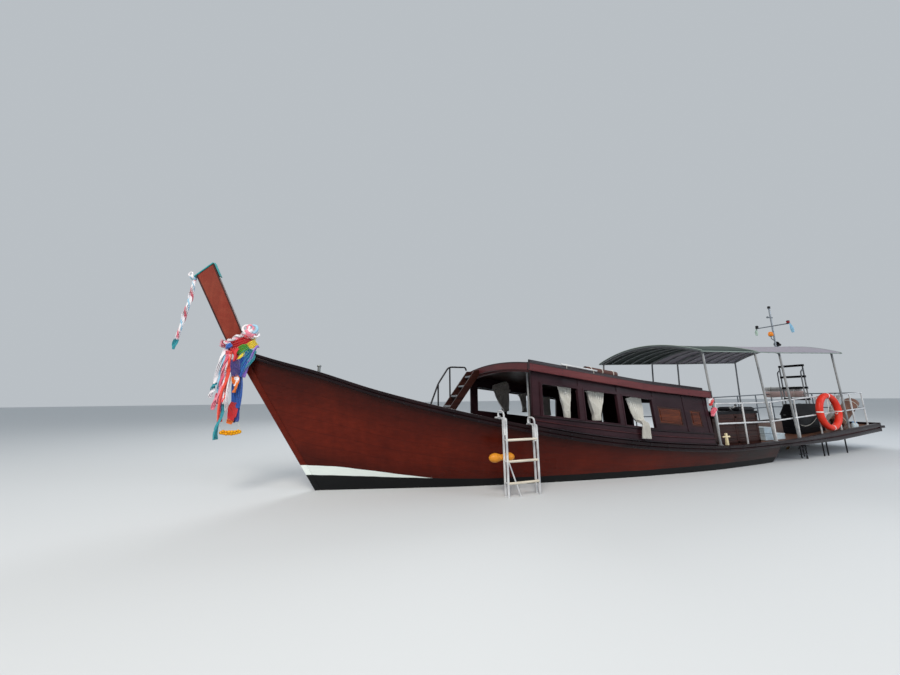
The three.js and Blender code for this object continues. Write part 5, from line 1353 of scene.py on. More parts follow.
for name, x0, x1, half0, half1, battens, canvas, slot, metal in CANOPIES:
    half_at = lambda x: half0 + (half1 - half0) * (x0 - x) / (x0 - x1)
    sheet = piece(f"{name}_canvas", canopy_sheet(x0, x1, half_at), canvas, name, thick=3,
                  turn=False)
    frame_work = Shape()
    for x in spread(x0 - 25, x1 + 25, battens):
        half = half_at(x) - 12
        frame_work.loft([[(x + a, y, arch_z(x, y) + LIFT - 16 + b)
                          for a, b in ((-11, 0), (11, 0), (11, 20), (-11, 20))]
                         for y in spread(half, -half, 30)])
    hem = Shape()
    for side in (1, -1):
        hem.sweep([(x, side * half_at(x), arch_z(x, half_at(x)) + LIFT)
                   for x in spread(x0, x1, 24)], HEM)
    for x, half, ahead in ((x0, half0, 1), (x1, half1, -1)):
        hem.sweep([(x - ahead * 6, y, arch_z(x, y) + LIFT + CANVAS * 0.6)
                   for y in spread(half, -half, 40)], HEM)
    laths = piece(f"{name}_battens", frame_work, metal, edge=2)
    tape = piece(f"{name}_edge_roll", hem, hem_pale)

# RAILS round the aft deck
# columns: x, height
RAIL_HIGH = [(-850, 1010), (-2300, 1012), (-3860, 1095), (-5950, 1170)]
RAIL_MID = [(-850, 700), (-2300, 690), (-3860, 760), (-5950, 850)]
STANCHIONS = (-950, -1620, -2420, -3200, -4000, -4780, -5400, -5950)
RAIL_END = STANCHIONS[-1]


def stanchion(shape, x, y):
    """A post from the deck to the top rail, with its foot flange."""
    foot = deck_z(x) + 1.3
    shape.tube([(x, y, foot), (x, y, along(RAIL_HIGH, x))], RAIL_R, 14)
    shape.turned((x, y, foot), UPRIGHT, [(0, 32), (4, 32), (7, 17), (14, 15)], 20)


for side, name in SIDES:
    shape = Shape()
    for table in (RAIL_HIGH, RAIL_MID):
        shape.tube([(x, side * rail_y(x), along(table, x))
                    for x in spread(STANCHIONS[0], RAIL_END, 30)], RAIL_R, 14)
    for x in STANCHIONS:
        stanchion(shape, x, side * rail_y(x))
        for table in (RAIL_HIGH, RAIL_MID):
            shape.ring((x, side * rail_y(x), along(table, x)), FORWARD, RAIL_R - 1, 3.2, 16, 8)
    piece(f"deck_rail_{name}", shape, rail_white if side > 0 else steel,
          f"side_rail_{name}")
shape = Shape()
stern_half = rail_y(RAIL_END) - 6
for table in (RAIL_HIGH, RAIL_MID):
    z = along(table, RAIL_END)
    shape.tube([(RAIL_END, stern_half, z), (RAIL_END, -stern_half, z)], RAIL_R, 14)
for y in (-400, 0, 400):
    stanchion(shape, RAIL_END, y)
piece("stern_rail_tubes", shape, steel, "stern_rail")

# MAST with crossbar, lamps, horn and a lamp on an arm ahead of it
MAST_X, MAST_TOP, BAR_Z, BAR_HALF = -4930, 3180, 2750, 320
mast_foot = along(HOOPS, MAST_X, 3) + HOOP_CAMBER + LIFT + CANVAS + 0.8
shape = Shape()
shape.turned((MAST_X, 0, mast_foot), UPRIGHT, [(0, 55), (5, 55), (12, 30), (30, 20)], 28)
shape.tube([(MAST_X, 0, mast_foot), (MAST_X, 0, MAST_TOP)], 17, 18)
shape.tube([(MAST_X, BAR_HALF, BAR_Z), (MAST_X, -BAR_HALF, BAR_Z)], 12, 14)
shape.ring((MAST_X, 0, BAR_Z), UPRIGHT, 18, 6, 20, 8)
shape.tube(rounded([(MAST_X, 0, 2400), (MAST_X + 110, 0, 2440), (MAST_X + 110, 0, 2500)], 40), 9,
    12)
shape.turned((MAST_X - 60, 0, 2955), FORWARD, [(0, 14), (20, 17), (60, 12), (110, 12), (140, 15),
    (165, 19), (180, 24)], 24)
# columns: y, height, radius, how tall, finish of the lens
for y, z, r, tall, lens in ((0, MAST_TOP - 5, 32, 60, 1), (BAR_HALF - 15, BAR_Z - 5, 34, 75, 2),
                            (15 - BAR_HALF, BAR_Z - 5, 34, 75, 1)):
    for up, profile, finish in ((0, [(0, r - 6), (3, r - 2), (tall * 0.25, r - 2)], 1),
                                (0.25, [(0, r - 5), (tall * 0.5, r - 5)], lens),
                                (0.72, [(0, r), (4, r), (tall * 0.28, r * 0.55)], 1)):
        shape.turned((MAST_X, y, z + tall * up), UPRIGHT, profile, 24, finish)
shape.turned((MAST_X + 110, 0, 2495), UPRIGHT, [(0, 22), (6, 34), (10, 36)], 24, 1)
shape.turned((MAST_X + 110, 0, 2505), UPRIGHT,
    [(0, 40), (12, 46), (50, 48), (78, 44), (96, 30), (104, 10)], 28, 3)
piece("mast_and_lamps", shape, [steel, lamp_black, lamp_red, lamp_orange],
    "mast")

# LADDERS: black slats on two grey uprights, with a bent tube ahead of each
LADDER = {"x": -4857, "port": 454, "starboard": 14, "r": 14, "top": 1800}
SLATS = {"count": 6, "first": 565, "rise": 243, "high": 48, "front": 14, "aft": 36}
HAND = {"x": LADDER["x"] + 105, "r": 12, "bend": 1640, "top": 1700}
shape = Shape()
stiles = (LADDER["port"] - LADDER["r"], LADDER["starboard"] + LADDER["r"])
for y in stiles:
    x, foot = LADDER["x"], deck_z(LADDER["x"] - LADDER["r"]) + 0.9
    shape.tube([(x, y, foot), (x, y, LADDER["top"] - 1)], LADDER["r"] - 0.6)
    shape.turned((x, y, foot), UPRIGHT, [(0, 16), (24, 16), (28, 14)], 20, 1)
    ahead, foot = HAND["x"], deck_z(HAND["x"] - HAND["r"]) + 0.9
    shape.tube(rounded([(ahead, y, foot), (ahead, y, HAND["bend"]), (x, y, HAND["top"])], 45),
               HAND["r"] - 0.4, side=(0, 1, 0))
    shape.turned((ahead, y, foot), UPRIGHT, [(0, 26), (4, 26), (6, 14), (14, 13)], 20)
    shape.ring((x + 4, y, HAND["top"]), (-0.87, 0, 0.5), HAND["r"] + 1.5, 3, 18, 8)
for i in range(SLATS["count"]):
    x, z = LADDER["x"], SLATS["first"] + i * SLATS["rise"]
    back, ahead, half = SLATS["aft"] - 0.6, SLATS["front"] - 0.6, SLATS["high"] / 2 - 0.6
    shape.loft([[(x + a, y, z + b) for a, b in ((-back, 4 - half), (4 - back, -half),
        (ahead - 4, -half), (ahead, 4 - half),
                                                (ahead, half - 4), (ahead - 4, half),
                                                (4 - back, half), (-back, half - 4))]
                for y in (LADDER["starboard"] + 0.8, LADDER["port"] - 0.8)], finish=1)
    for y in stiles:
        shape.turned((x - back + 1, y, z), (-1, 0, 0), [(0, 5), (1.2, 4.6), (1.6, 2)], 12)
piece("ladder_slats_and_stiles", shape, [grey_tube, black_board], "canopy_ladder")

# The boarding ladder hooks over the gunwale: an inner and an outer tube on each side, pale rungs,
# a hand loop over the top and a brace across the outer face
FRONT, AFT, TUBE, OUTER, INNER, LOW, INNER_LOW = 2860, 2440, 14, 1205, 1128, -85, -60
RUNGS = (640, 395, 150)
shape = Shape()
for x in (FRONT, AFT):
    top, within = edge_z(x) + 14.9, half_beam(x) - PLANKING - 26
    shape.tube(rounded([(x, within, edge_z(x) - 18), (x, within, top), (x, INNER, top),
                        (x, INNER, INNER_LOW)], 22), TUBE, side=FORWARD)
    shape.tube(rounded([(x, INNER - 60, top), (x, OUTER, top), (x, OUTER, LOW)], 30), TUBE,
               side=FORWARD)
    for z in RUNGS:
        shape.tube([(x, INNER, z), (x, OUTER, z)], 10, 12)
    for y, z in ((INNER, INNER_LOW), (OUTER, LOW)):
        shape.turned((x, y, z), UPRIGHT, [(0, 13), (2, 16.5), (42, 16.5), (44, 14)], 20, 1)
    shape.turned((x, within, edge_z(x) - 19), UPRIGHT, [(0, 16), (22, 16), (26, 14)], 20, 1)
for z in RUNGS:
    shape.loft([[(x, OUTER + 14 * math.cos(a), z + 15 * math.sin(a)) for a in turns_of(16)]
                for x in (AFT, FRONT)], finish=2)
for x in (FRONT, AFT):
    top, loop, back = edge_z(x) + 14.9, x + 26, INNER - 70
    shape.tube(rounded([(loop, OUTER, top - 190), (loop, OUTER, top + 88), (loop, back, top + 88),
                        (loop, back, top + 15)], 60), 11, 14, side=FORWARD)
    for y, z in ((OUTER, top - 180), (OUTER, top - 60), (back, top + 24)):
        shape.tube([(x, y, z), (x + 27, y, z)], 7, 10)
shape.tube([(FRONT - 14, OUTER, 395), (FRONT - 190, OUTER, LOW)], 9, 12)
shape.tube([(FRONT, OUTER, LOW + 8), (FRONT - 190, OUTER, LOW + 8)], 9, 12)
piece("boarding_ladder_tubes", shape, [rail_white, black_rubber, rung_wood],
    "boarding_ladder")

# Float with a waist: the profile of its fore half
FLOAT_MIDDLE = (2870, 1081, 428)
FLOAT_HALF = [(12, 36), (30, 41), (50, 46), (74, 54), (98, 55), (122, 50), (142, 41), (158, 28),
              (167, 16), (170, 3)]
profile = [(-x, r) for x, r in FLOAT_HALF[::-1]] + [(0, 35)] + FLOAT_HALF
piece("float_shell", Shape().turned(FLOAT_MIDDLE, FORWARD, profile), float_shell,
    "float")


# HELM: locker, cushion, wheel and lever
aft, fore, inner, outer = -2060, -950, 640, 1020
shape = Shape()
for low in spread(354, 754, 4):
    high = low + 97
    for y0, y1 in ((outer - 20, outer - 4), (inner + 4, inner + 20)):
        shape.block(aft + 6, fore - 6, y0, y1, low, high)
    for x0, x1 in ((fore - 20, fore - 4), (aft + 4, aft + 20)):
        shape.block(x0, x1, inner + 6, outer - 6, low, high)
for x in (aft + 25, (aft + fore) / 2, fore - 25):
    for y in (inner + 22, outer - 22):
        shape.block(x - 25, x + 25, y - 22, y + 22, 353, 857)
for z in (372, 770):
    shape.block(aft, fore, outer - 6, outer, z, z + 34)
for y, low, high in ((inner - 15, 858, 880), (outer - 4, 838, 859)):
    shape.block(aft - 15, fore + 15, y, outer + 8, low, high, 1)
piece("helm_locker_boards", shape, [brown_teak, black_board], "helm_locker", edge=2.5)


# The cushion's filling, in metres: inset of the block, its room to swell upwards, the most that a
# point moves, radius of its edges, grid; then the pressure
INSET, SWELL, MOST, EDGE, GRID, PRESSURE = 0.006, 0.009, 0.014, 0.014, 0.006, 4.0


def cushion(name, x0, x1, y0, y1, z0, z1, finish):
    """A filled pad: a smaller block is blown up as cloth, its swelling is capped and its foot
    kept flat."""
    low = Vector((x0 / 1000 + INSET, y0 / 1000 + INSET, z0 / 1000))
    high = Vector((x1 / 1000 - INSET, y1 / 1000 - INSET, z1 / 1000 - SWELL))
    mesh = bpy.data.meshes.new(name)
    work = bmesh.new()
    bmesh.ops.create_cube(work, size=1.0)
    for v in work.verts:
        v.co = Vector([(a + b) / 2 + (b - a) * c for a, b, c in zip(low, high, v.co)])
    bmesh.ops.bevel(work, geom=work.edges[:], offset=EDGE, segments=3, affect="EDGES", profile=0.6)
    work.to_mesh(mesh)
    work.free()
    pad = linked(name, mesh)
    grid = pad.modifiers.new("even grid", "REMESH")
    grid.mode, grid.voxel_size = "VOXEL", GRID
    baked = evaluated(pad)
    pad.modifiers.clear()
    pad.data = baked
    rest = [v.co.copy() for v in baked.vertices]
    cloth = pad.modifiers.new("filling", "CLOTH")
    cloth.settings.use_pressure = True
    cloth.settings.uniform_pressure_force = PRESSURE
    cloth.settings.effector_weights.gravity = 0
    cloth.settings.quality = 6
    for frame_number in range(1, 21):
        bpy.context.scene.frame_set(frame_number)
    blown = evaluated(pad)
    pad.modifiers.clear()
    pad.data = blown
    bpy.context.scene.frame_set(1)
    for v, start in zip(pad.data.vertices, rest):
        move = v.co - start
        if move.length > MOST:
            move *= MOST / move.length
        v.co = start + move
        v.co.z = max(v.co.z, low.z + 0.0004)
        v.co.x = min(max(v.co.x, x0 / 1000), x1 / 1000)
        v.co.y = min(max(v.co.y, y0 / 1000), y1 / 1000)
    pad.data.materials.clear()
    pad.data.materials.append(finish)
    pad.data.polygons.foreach_set("use_smooth", [True] * len(pad.data.polygons))
    finer = pad.modifiers.new("finer", "SUBSURF")
    finer.levels = finer.render_levels = 1
    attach(pad, "boat")
    return pad


pad = cushion("helm_cushion_pad", -2060, -1640, 640, 1020, 880.3, 940, vinyl)
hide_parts("helm_cushion")
piping = Shape()
corners = [(-2052, 648), (-1648, 648), (-1648, 1012), (-2052, 1012)]
loop = []
for k in range(4):
    (ax, ay), (bx, by) = corners[k], corners[(k + 1) % 4]
    loop += [(ax + (bx - ax) * t, ay + (by - ay) * t, 908) for t in (0.03, 0.25, 0.5, 0.75, 0.97)]
piping.tube(smooth_line([*loop, loop[0]], 4), 4, 8)
piece("helm_cushion_piping", piping, vinyl)

# The wheel: rim, six turned spokes with grips, hub, brass cap and shaft
centre, RADIUS, RIM = Vector((-862, 420, 900)), 190, 15
SPOKE = [(20, 9), (45, 9), (60, 12), (75, 9), (120, 8), (140, 11), (155, 9), (175, 9), (193, 8),
         (197, 12), (203, 12), (208, 8), (222, 11), (232, 10), (236, 4)]
shape = Shape().ring(centre, FORWARD, RADIUS - RIM, RIM, 72, 16)
for angle in turns_of(6):
    shape.turned(centre, (0, math.cos(angle), math.sin(angle)), SPOKE, 16)
shape.turned(centre, FORWARD, [(-25, 30), (-22, 40), (-12, 42), (12, 42), (20, 36), (25, 16)])
shape.turned(centre, (-1, 0, 0), [(24, 26), (28, 24), (31, 12)], 24, 1)
shape.turned(centre, FORWARD, [(20, 14), (123, 14)], 20, 1)
piece("wheel_rim_and_spokes", shape, [wheel_teak, bronze], "steering_wheel",
      body="helm")

lever = Shape()
lever.turned((-1480, 985, 880.4), UPRIGHT, [(0, 34), (8, 34), (12, 20), (30, 16)], 24, 1)
lever.tube(rounded([(-1480, 985, 905), (-1450, 985, 960), (-1540, 985, 930), (-1600, 985, 968)],
    25), 9, 12)
lever.turned((-1600, 985, 966), (-0.6, 0, 0.8), [(0, 12), (6, 17), (22, 17), (30, 8)], 20, 1)
piece("throttle_lever", lever, [grey_tube, lamp_black])

# ENGINE: ribs and pipes on the block, its cover and the cover's hipped lid
ENGINE = {"aft": -4600, "front": -3980, "starboard": 455, "port": 625, "top": 700}
COVER = {"aft": -4700, "front": -3880, "starboard": 400, "port": 680, "eave": 740}
LID = {"over": 12, "top": 960, "hip_long": 80, "hip_wide": 50}
engine = Shape()
middle = (ENGINE["starboard"] + ENGINE["port"]) / 2
for x in spread(-4560, -4020, 8):
    for y, way in ((ENGINE["port"], 1), (ENGINE["starboard"], -1)):
        engine.block(x - 10, x + 10, y + way * 0.4, y + way * 5, 460, 680)
engine.tube(rounded([(ENGINE["front"] + 1, middle + 40, 640),
    (ENGINE["front"] + 48, middle + 40, 640),
                     (ENGINE["front"] + 48, middle - 40, 560),
                     (ENGINE["front"] + 1, middle - 40, 560)], 25), 14, 12, 1)
for x in spread(-4500, -4100, 3):
    engine.turned((x, middle - 55, 700.4), UPRIGHT, [(0, 14), (3, 14), (4, 8), (5, 8)], 12, 1)
piece("engine_fittings", engine, [black_steel, zinc])


def cover_box():
    """Four walls: a thin inner skin, three boards outside it and a post at each corner."""
    shape = Shape()
    x0, x1, y0, y1, top = [COVER[key] for key in ("aft", "front", "starboard", "port", "eave")]
    foot = lambda x: deck_z(x) + 0.9

    def wall(a, b, c, d, low, high):
        """A board from x a to b and y c to d; `low` and `high` are shares of the wall's height."""
        z = lambda x, share: foot(x) + (top - foot(x)) * share
        shape.loft([[(x, c, z(x, low)), (x, d, z(x, low)), (x, d, z(x, high)), (x, c, z(x, high))]
            for x in (a, b)])

    for low, high in ((0.0, 1.0), (0.02, 0.325), (0.335, 0.655), (0.665, 0.985)):
        near, far, ends = (8.5, 17.5, 0.5) if low == 0.0 else (0.5, 9.0, 30)
        wall(x0 + ends, x1 - ends, y1 - far, y1 - near, low, high)
        wall(x0 + ends, x1 - ends, y0 + near, y0 + far, low, high)
        wall(x0 + near, x0 + far, y0 + ends, y1 - ends, low, high)
        wall(x1 - far, x1 - near, y0 + ends, y1 - ends, low, high)
    for x in (x0 + 0.3, x1 - 29):
        for y in (y0 + 0.3, y1 - 29):
            wall(x, x + 28.7, y, y + 28.7, 0.0, 0.995)
    return shape


piece("cover_walls", cover_box(), black_board, "engine_cover", edge=2)


def lid_ring(inset, rise, shrink=0.0):
    """The lid's outline at a share of its rise, drawn in by `inset` mm."""
    long = -LID["over"] + (LID["over"] + LID["hip_long"]) * rise + inset
    wide = -LID["over"] + (LID["over"] + LID["hip_wide"]) * rise + inset
    z = COVER["eave"] + 1.2 + (LID["top"] - COVER["eave"] - 1.2) * rise - shrink
    return [(COVER["aft"] + long, COVER["starboard"] + wide, z),
        (COVER["front"] - long, COVER["starboard"] + wide, z),
            (COVER["front"] - long, COVER["port"] - wide, z),
            (COVER["aft"] + long, COVER["port"] - wide, z)]


lid = Shape()
lid.loft([lid_ring(26, -0.001), lid_ring(4, -0.001), lid_ring(4, 0.985), lid_ring(20, 0.9)],
    caps=False)
lid.loft([lid_ring(18, 0.9, 2), lid_ring(3, 0.985, 0), lid_ring(6, 0.996, 0)])
for low, high in ((0.004, 0.3), (0.315, 0.62), (0.635, 0.93)):
    outer, upper = lid_ring(0.3, low), lid_ring(0.3, high)
    inner, under = lid_ring(6, low), lid_ring(6, high)
    for k in range(4):
        n = (k + 1) % 4
        cut = lambda ring, t: towards(ring[k], ring[n], t)
        lid.loft([[cut(ring, t) for ring in (inner, outer, upper, under)] for t in (0.012, 0.988)])
for k in range(4):
    lid.tube([towards(lid_ring(4, 0.0)[k], lid_ring(4, 1.0)[k], t) for t in (0.01, 0.5, 0.985)],
        5.5, 10)
for y in spread(COVER["starboard"] + 75, COVER["port"] - 75, 1):
    lid.turned((COVER["front"] + LID["over"] - 4, y - 22, COVER["eave"] + 1.5), (0, 1, 0),
        [(0, 5), (44, 5)], 12, 1)
handle = rounded([(-4330, 540, 959), (-4330, 540, 968), (-4250, 540, 968), (-4250, 540, 959)], 8)
lid.tube(handle, 3.5, 10, 1)
piece("cover_lid_boards", lid, [black_board, zinc], "engine_cover_lid",
      body="cover_lid", edge=1.5)

# LIFEBUOY with its seizings and grab line
buoy_centre = Vector((BUOY["x"], buoy_y, BUOY["z"]))
AROUND, SEIZED = 192, 0.018


def seizing(i, j):
    """The bands sit a quarter turn apart, each over a small share of its quarter."""
    return int(abs(((i + 0.5) / AROUND * 4) % 1.0 - 0.5) < SEIZED)


rings = []
for i in range(AROUND + 1):
    angle = 2 * math.pi * i / AROUND + math.pi / 4
    out = Vector((math.cos(angle), 0, math.sin(angle)))
    rings.append([buoy_centre + out * (BUOY["ring"] + a) + Vector((0, b, 0))
                  for a, b in circle((BUOY["tube"] - 1.6) * 0.99, 24)])
piece("lifebuoy_ring", Shape().loft(rings, caps=False, finish=seizing), [buoy_foam, buoy_band],
    "lifebuoy")


# ROLLS of matting: one long sheet wound up, seen as turns at its ends
def wound(name, foot, top, outer, inner, pitch, thick, finish, stands_for=(),
          side=(0, 1, 0), ties=2):
    """A sheet wound from radius `inner` to `outer`, its turns `pitch` mm apart, tied with cords."""
    turns = (outer - inner) / pitch
    count = int(turns * 24)
    spiral = []
    for i in range(count + 1):
        share = i / count
        r = inner + (outer - thick / 2 - 0.5 - inner) * share + 0.8 * math.sin(7 * share * turns)
        angle = 2 * math.pi * turns * share
        spiral.append((r * math.cos(angle), r * math.sin(angle)))
    line = [towards(foot, top, t) for t in spread(0, 1, 10)]
    sheet = piece(name, Shape().sweep(line, spiral, side=side, closed=False), finish,
                  stands_for, thick=thick, turn=False)
    cords = Shape()
    tangent = (Vector(top) - Vector(foot)).normalized()
    for t in spread(0.14, 0.86, ties - 1):
        cords.ring(towards(foot, top, t), tangent, outer - 2, 4, 40, 8)
    tie = piece(f"{name}_ties", cords, line_white)
    math.dist(foot, top) / 1000


# The thick mat leans: the lower edge of its foot touches the deck
MAT_R, MAT_X, MAT_Y, MAT_LONG, LEAN = 118, -5117, 700, 846, math.pi / 6
mat_foot = (MAT_X + math.sin(LEAN) * MAT_R, MAT_Y, deck_z(MAT_X) + math.cos(LEAN) * MAT_R + 0.6)
mat_top = (mat_foot[0] - math.cos(LEAN) * MAT_LONG, MAT_Y, mat_foot[2] + math.sin(LEAN) * MAT_LONG)
wound("reed_mat_roll", mat_foot, mat_top, MAT_R, 24, 15, 5, reed, "rolled_mat")
wound("roof_canvas_roll", (900, 420, roof_top(900, 420) + 52), (330, 420, roof_top(330, 420) + 52),
      52, 12, 9, 4, reed, "roof_mat", ties=3)
wound("slim_mat_roll", (-5030, 560, deck_z(-5030) + 62), (-5330, 690, 1120), 50, 12, 9, 4,
      grey_reed, ties=3)

# Bitt with its cross bar, bollard, edge posts, stern beam
shape = Shape()
bitt_foot = edge_z(-986) + 0.6
shape.loft([[(-1010 + a * wide, 1155 + b * deep, z) for a,
    b in ((-1, -1), (1, -1), (1, 1), (-1, 1))]
            for z, wide, deep in ((bitt_foot, 22, 17), (bitt_foot + 30, 19, 15), (548, 16, 13),
            (556, 15, 12), (560, 9, 8))])
shape.turned((-1086, 1155, 505), FORWARD, [(0, 9), (4, 13), (18, 13), (26, 10), (126, 10),
                                           (134, 13), (148, 13), (152, 9)], 20)
piece("gunwale_bitt", shape, cream, "stern_bitt", edge=2)
shape = Shape().turned((5030, 150, edge_z(5058) - 29.5), UPRIGHT, [
    (0, 27), (10, 27), (14, 20), (60, 18), (95, 19), (100, 26), (112, 27.5), (120, 24), (124, 10)],
    28)
piece("foredeck_bollard", shape, zinc, "bow_bollard")

EDGE_Y = 985
shape = Shape()
edge_top = lambda x: deck_z(x) - 32.3
edge_at = lambda x: EDGE_Y + half_beam(x) - half_beam(-3100)
shape.loft([[(x, edge_at(x) + a, edge_top(x) - b) for a,
    b in ((-22, 0), (22, 0), (22, 12), (-22, 12))]
            for x in (-3100, -3600, -4200, -4950)])
for x, low in ((-3160, 20), (-3250, 40), (-3340, 0), (-3960, -60), (-4110, -60), (-4860, -120)):
    shape.tube([(x, edge_at(x), low), (x, edge_at(x), edge_top(x) - 6)], 11, 12)
    shape.turned((x, edge_at(x), low), UPRIGHT, [(0, 9), (3, 13), (40, 13), (44, 11)], 14)
for z in (90, 190):
    shape.tube([(-3120, EDGE_Y - 6, z), (-3370, EDGE_Y - 16, z)], 9, 12)
piece("edge_post_rods", shape, black_steel, "edge_posts")

shape = Shape()
stern_half = half_beam(STERN_X) + RAIL_OUT
shape.block(STERN_X - 60, STERN_X - 0.3, -stern_half, stern_half, 372, 548)
for side in (1, -1):
    shape.block(STERN_X - 300, STERN_X - 50, side * (stern_half - 95), side * (stern_half - 35),
        430, 480)
piece("stern_beam_boards", shape, rail_dark, "stern_beam", edge=6)


# SASHES, CURTAINS AND RIBBONS: pleated cloth that follows a line
def pleated(line, flat, widths, pleats, twist, side, flutter):
    """A strip of cloth gathered to a width that changes along its line; its flat width stays."""
    count = pleats * 8

    def section(share):
        spot = share * (len(widths) - 1)
        i = min(int(spot), len(widths) - 2)
        seen = min(widths[i] + (widths[i + 1] - widths[i]) * (spot - i), flat * 0.98)
        fold = math.sqrt(max(0.0, flat * flat - seen * seen)) / (4 * pleats)
        out = []
        for k in range(count + 1):
            t = k / count
            wave = math.sin(2 * math.pi * pleats * t + 0.7 * math.sin(5 * share + 2 * t))
            out.append(((t - 0.5) * seen, fold * wave + flutter * math.sin(9 * share + 3 * t)))
        return out

    return Shape().sweep(line, section, side=side, closed=False, twist=twist)


def cloth_strip(name, points, flat, widths, finish, pleats=4, twist=0.0, side=None, steps=10,
                thick=1.6,
                stands_for=(), flutter=0.0):
    """A pleated strip as a soft sheet; `side` is the way in which its width shows."""
    line = smooth_line(points, steps)
    if side is None:
        # A hanging strip shows its width fore and aft, a band round the board shows it up and down
        run = line[-1] - line[0]
        side = FORWARD if abs(run.z) > abs(run.x) else UPRIGHT
    sheet = piece(name, pleated(line, flat, widths, pleats, twist, side, flutter), finish,
                  stands_for, thick=thick, crease=70, turn=False)


def knot(shape, centre, size, finishes, seed):
    """A tied knot: four fat loops of cloth wound through each other, in turn in its finishes."""
    draw = random.Random(seed)
    for k in range(4):
        axis = Vector([draw.uniform(-a, a) for a in (1, 0.6, 1)]).normalized()
        place = Vector(centre) + Vector([draw.uniform(-0.2, 0.2) * size for _ in range(3)])
        shape.ring(place, axis, size * 0.52, size * 0.36, 20, 10, finishes[k % len(finishes)])


# CURTAINS: port side tied back, starboard hanging, with their rods
# The rod runs 37 mm inside the window openings and sinks from 1345 to 1125 going aft
curtain_y = lambda x: wall_high(x) - WALL - 37
rod_z = lambda x: 1345 + (x - 2260) * (1125 - 1345) / (420 - 2260)
GAP = 12
# columns: height, x, half width seen; the first row hangs from the rod
CURTAINS = {
    "port_1": (780, [(None, 1838, 116), (1263, 1838, 107), (1120, 1834, 84), (1035, 1828, 62),
    (960, 1826, 50), (856, 1824, 41)]),
    "port_2": (1050, [(None, 1345, 156), (1195, 1345, 148), (1080, 1348, 124), (986, 1350, 92),
    (890, 1350, 62), (815, 1351, 60)]),
    "starboard_1": (1150, [(None, 1762, 195), (1320, 1757, 184), (1200, 1738, 160),
    (1080, 1708, 122), (960, 1676, 66),
                           (887, 1661, 44)]),
    "starboard_2": (640, [(None, 1290, 100), (1180, 1280, 84), (1060, 1262, 62), (960, 1255, 48),
    (860, 1255, 55)]),
    "starboard_3": (420, [(None, 760, 125), (1040, 744, 108), (900, 730, 84), (780, 720, 80)]),
}
for side, name in SIDES:
    rods = Shape().tube([(x, side * curtain_y(x), rod_z(x)) for x in spread(2235, 490, 8)], 8, 12)
    for x in (2225, 1655, 500):
        held, fixed, z = curtain_y(x) - 4, curtain_y(x) + 23, rod_z(x)
        rods.tube([(x, side * held, z), (x, side * fixed, z)], 6, 10)
        rods.turned((x, side * (fixed + 0.4), z), (0, -side, 0), [(0, 20), (3, 20), (5, 10)], 16)
    piece(f"curtain_rod_{name}", rods, steel)

ring_lines = []
for name, (flat, rows) in CURTAINS.items():
    side = 1 if name.startswith("port") else -1
    top_x, top_half = rows[0][1:]
    y = side * curtain_y(top_x)
    points = [(x, y, rod_z(x) - GAP if z is None else z) for z, x, half in rows]
    ring_lines.append([((x, y, rod_z(x)), FORWARD)
                       for x in spread(top_x - top_half + 8, top_x + top_half - 8, 4)])
    if len(rows) > 4:
        z, x, half = rows[-2]
        band = Shape().ring((x, y, z), (0.1, 0, 1), half * 0.92, 8, 32, 8)
        for p, c in enumerate(band.points):
            band.points[p] = (c[0], y + (c[1] - y) * 0.4, c[2])
        piece(f"curtain_tie_{name}", band, sunlit_curtain_cotton)
    # Port curtains take the copy painted as sunlit, and starboard curtains take the copy with
    # painted shade
    cloth_strip(f"curtain_{name}", points, flat, [2 * half for z, x, half in rows],
                sunlit_curtain_cotton if side > 0 else curtain_shade, 7, side=FORWARD,
                stands_for=f"curtains_{name[:-2]}" if name.endswith("1") else (), thick=1.2)
# The third curtain on the port side hangs out over the window's lower edge
y = curtain_y(670)
cloth_strip("curtain_port_3", [
    (672, y, rod_z(672) - GAP), (664, y + 1, 1107), (628, y + 3, 930), (606, y + 10, 802),
    (636, 1140, 774), (676, 1217, 748), (690, 1222, 662), (694, 1222, 560)], 560,
    [300, 290, 250, 170, 110, 104, 112, 120], sunlit_curtain_cotton, 7, side=FORWARD,
    thick=1.2)
ring_lines.append([((x, y, rod_z(x)), FORWARD) for x in spread(530, 810, 4)])

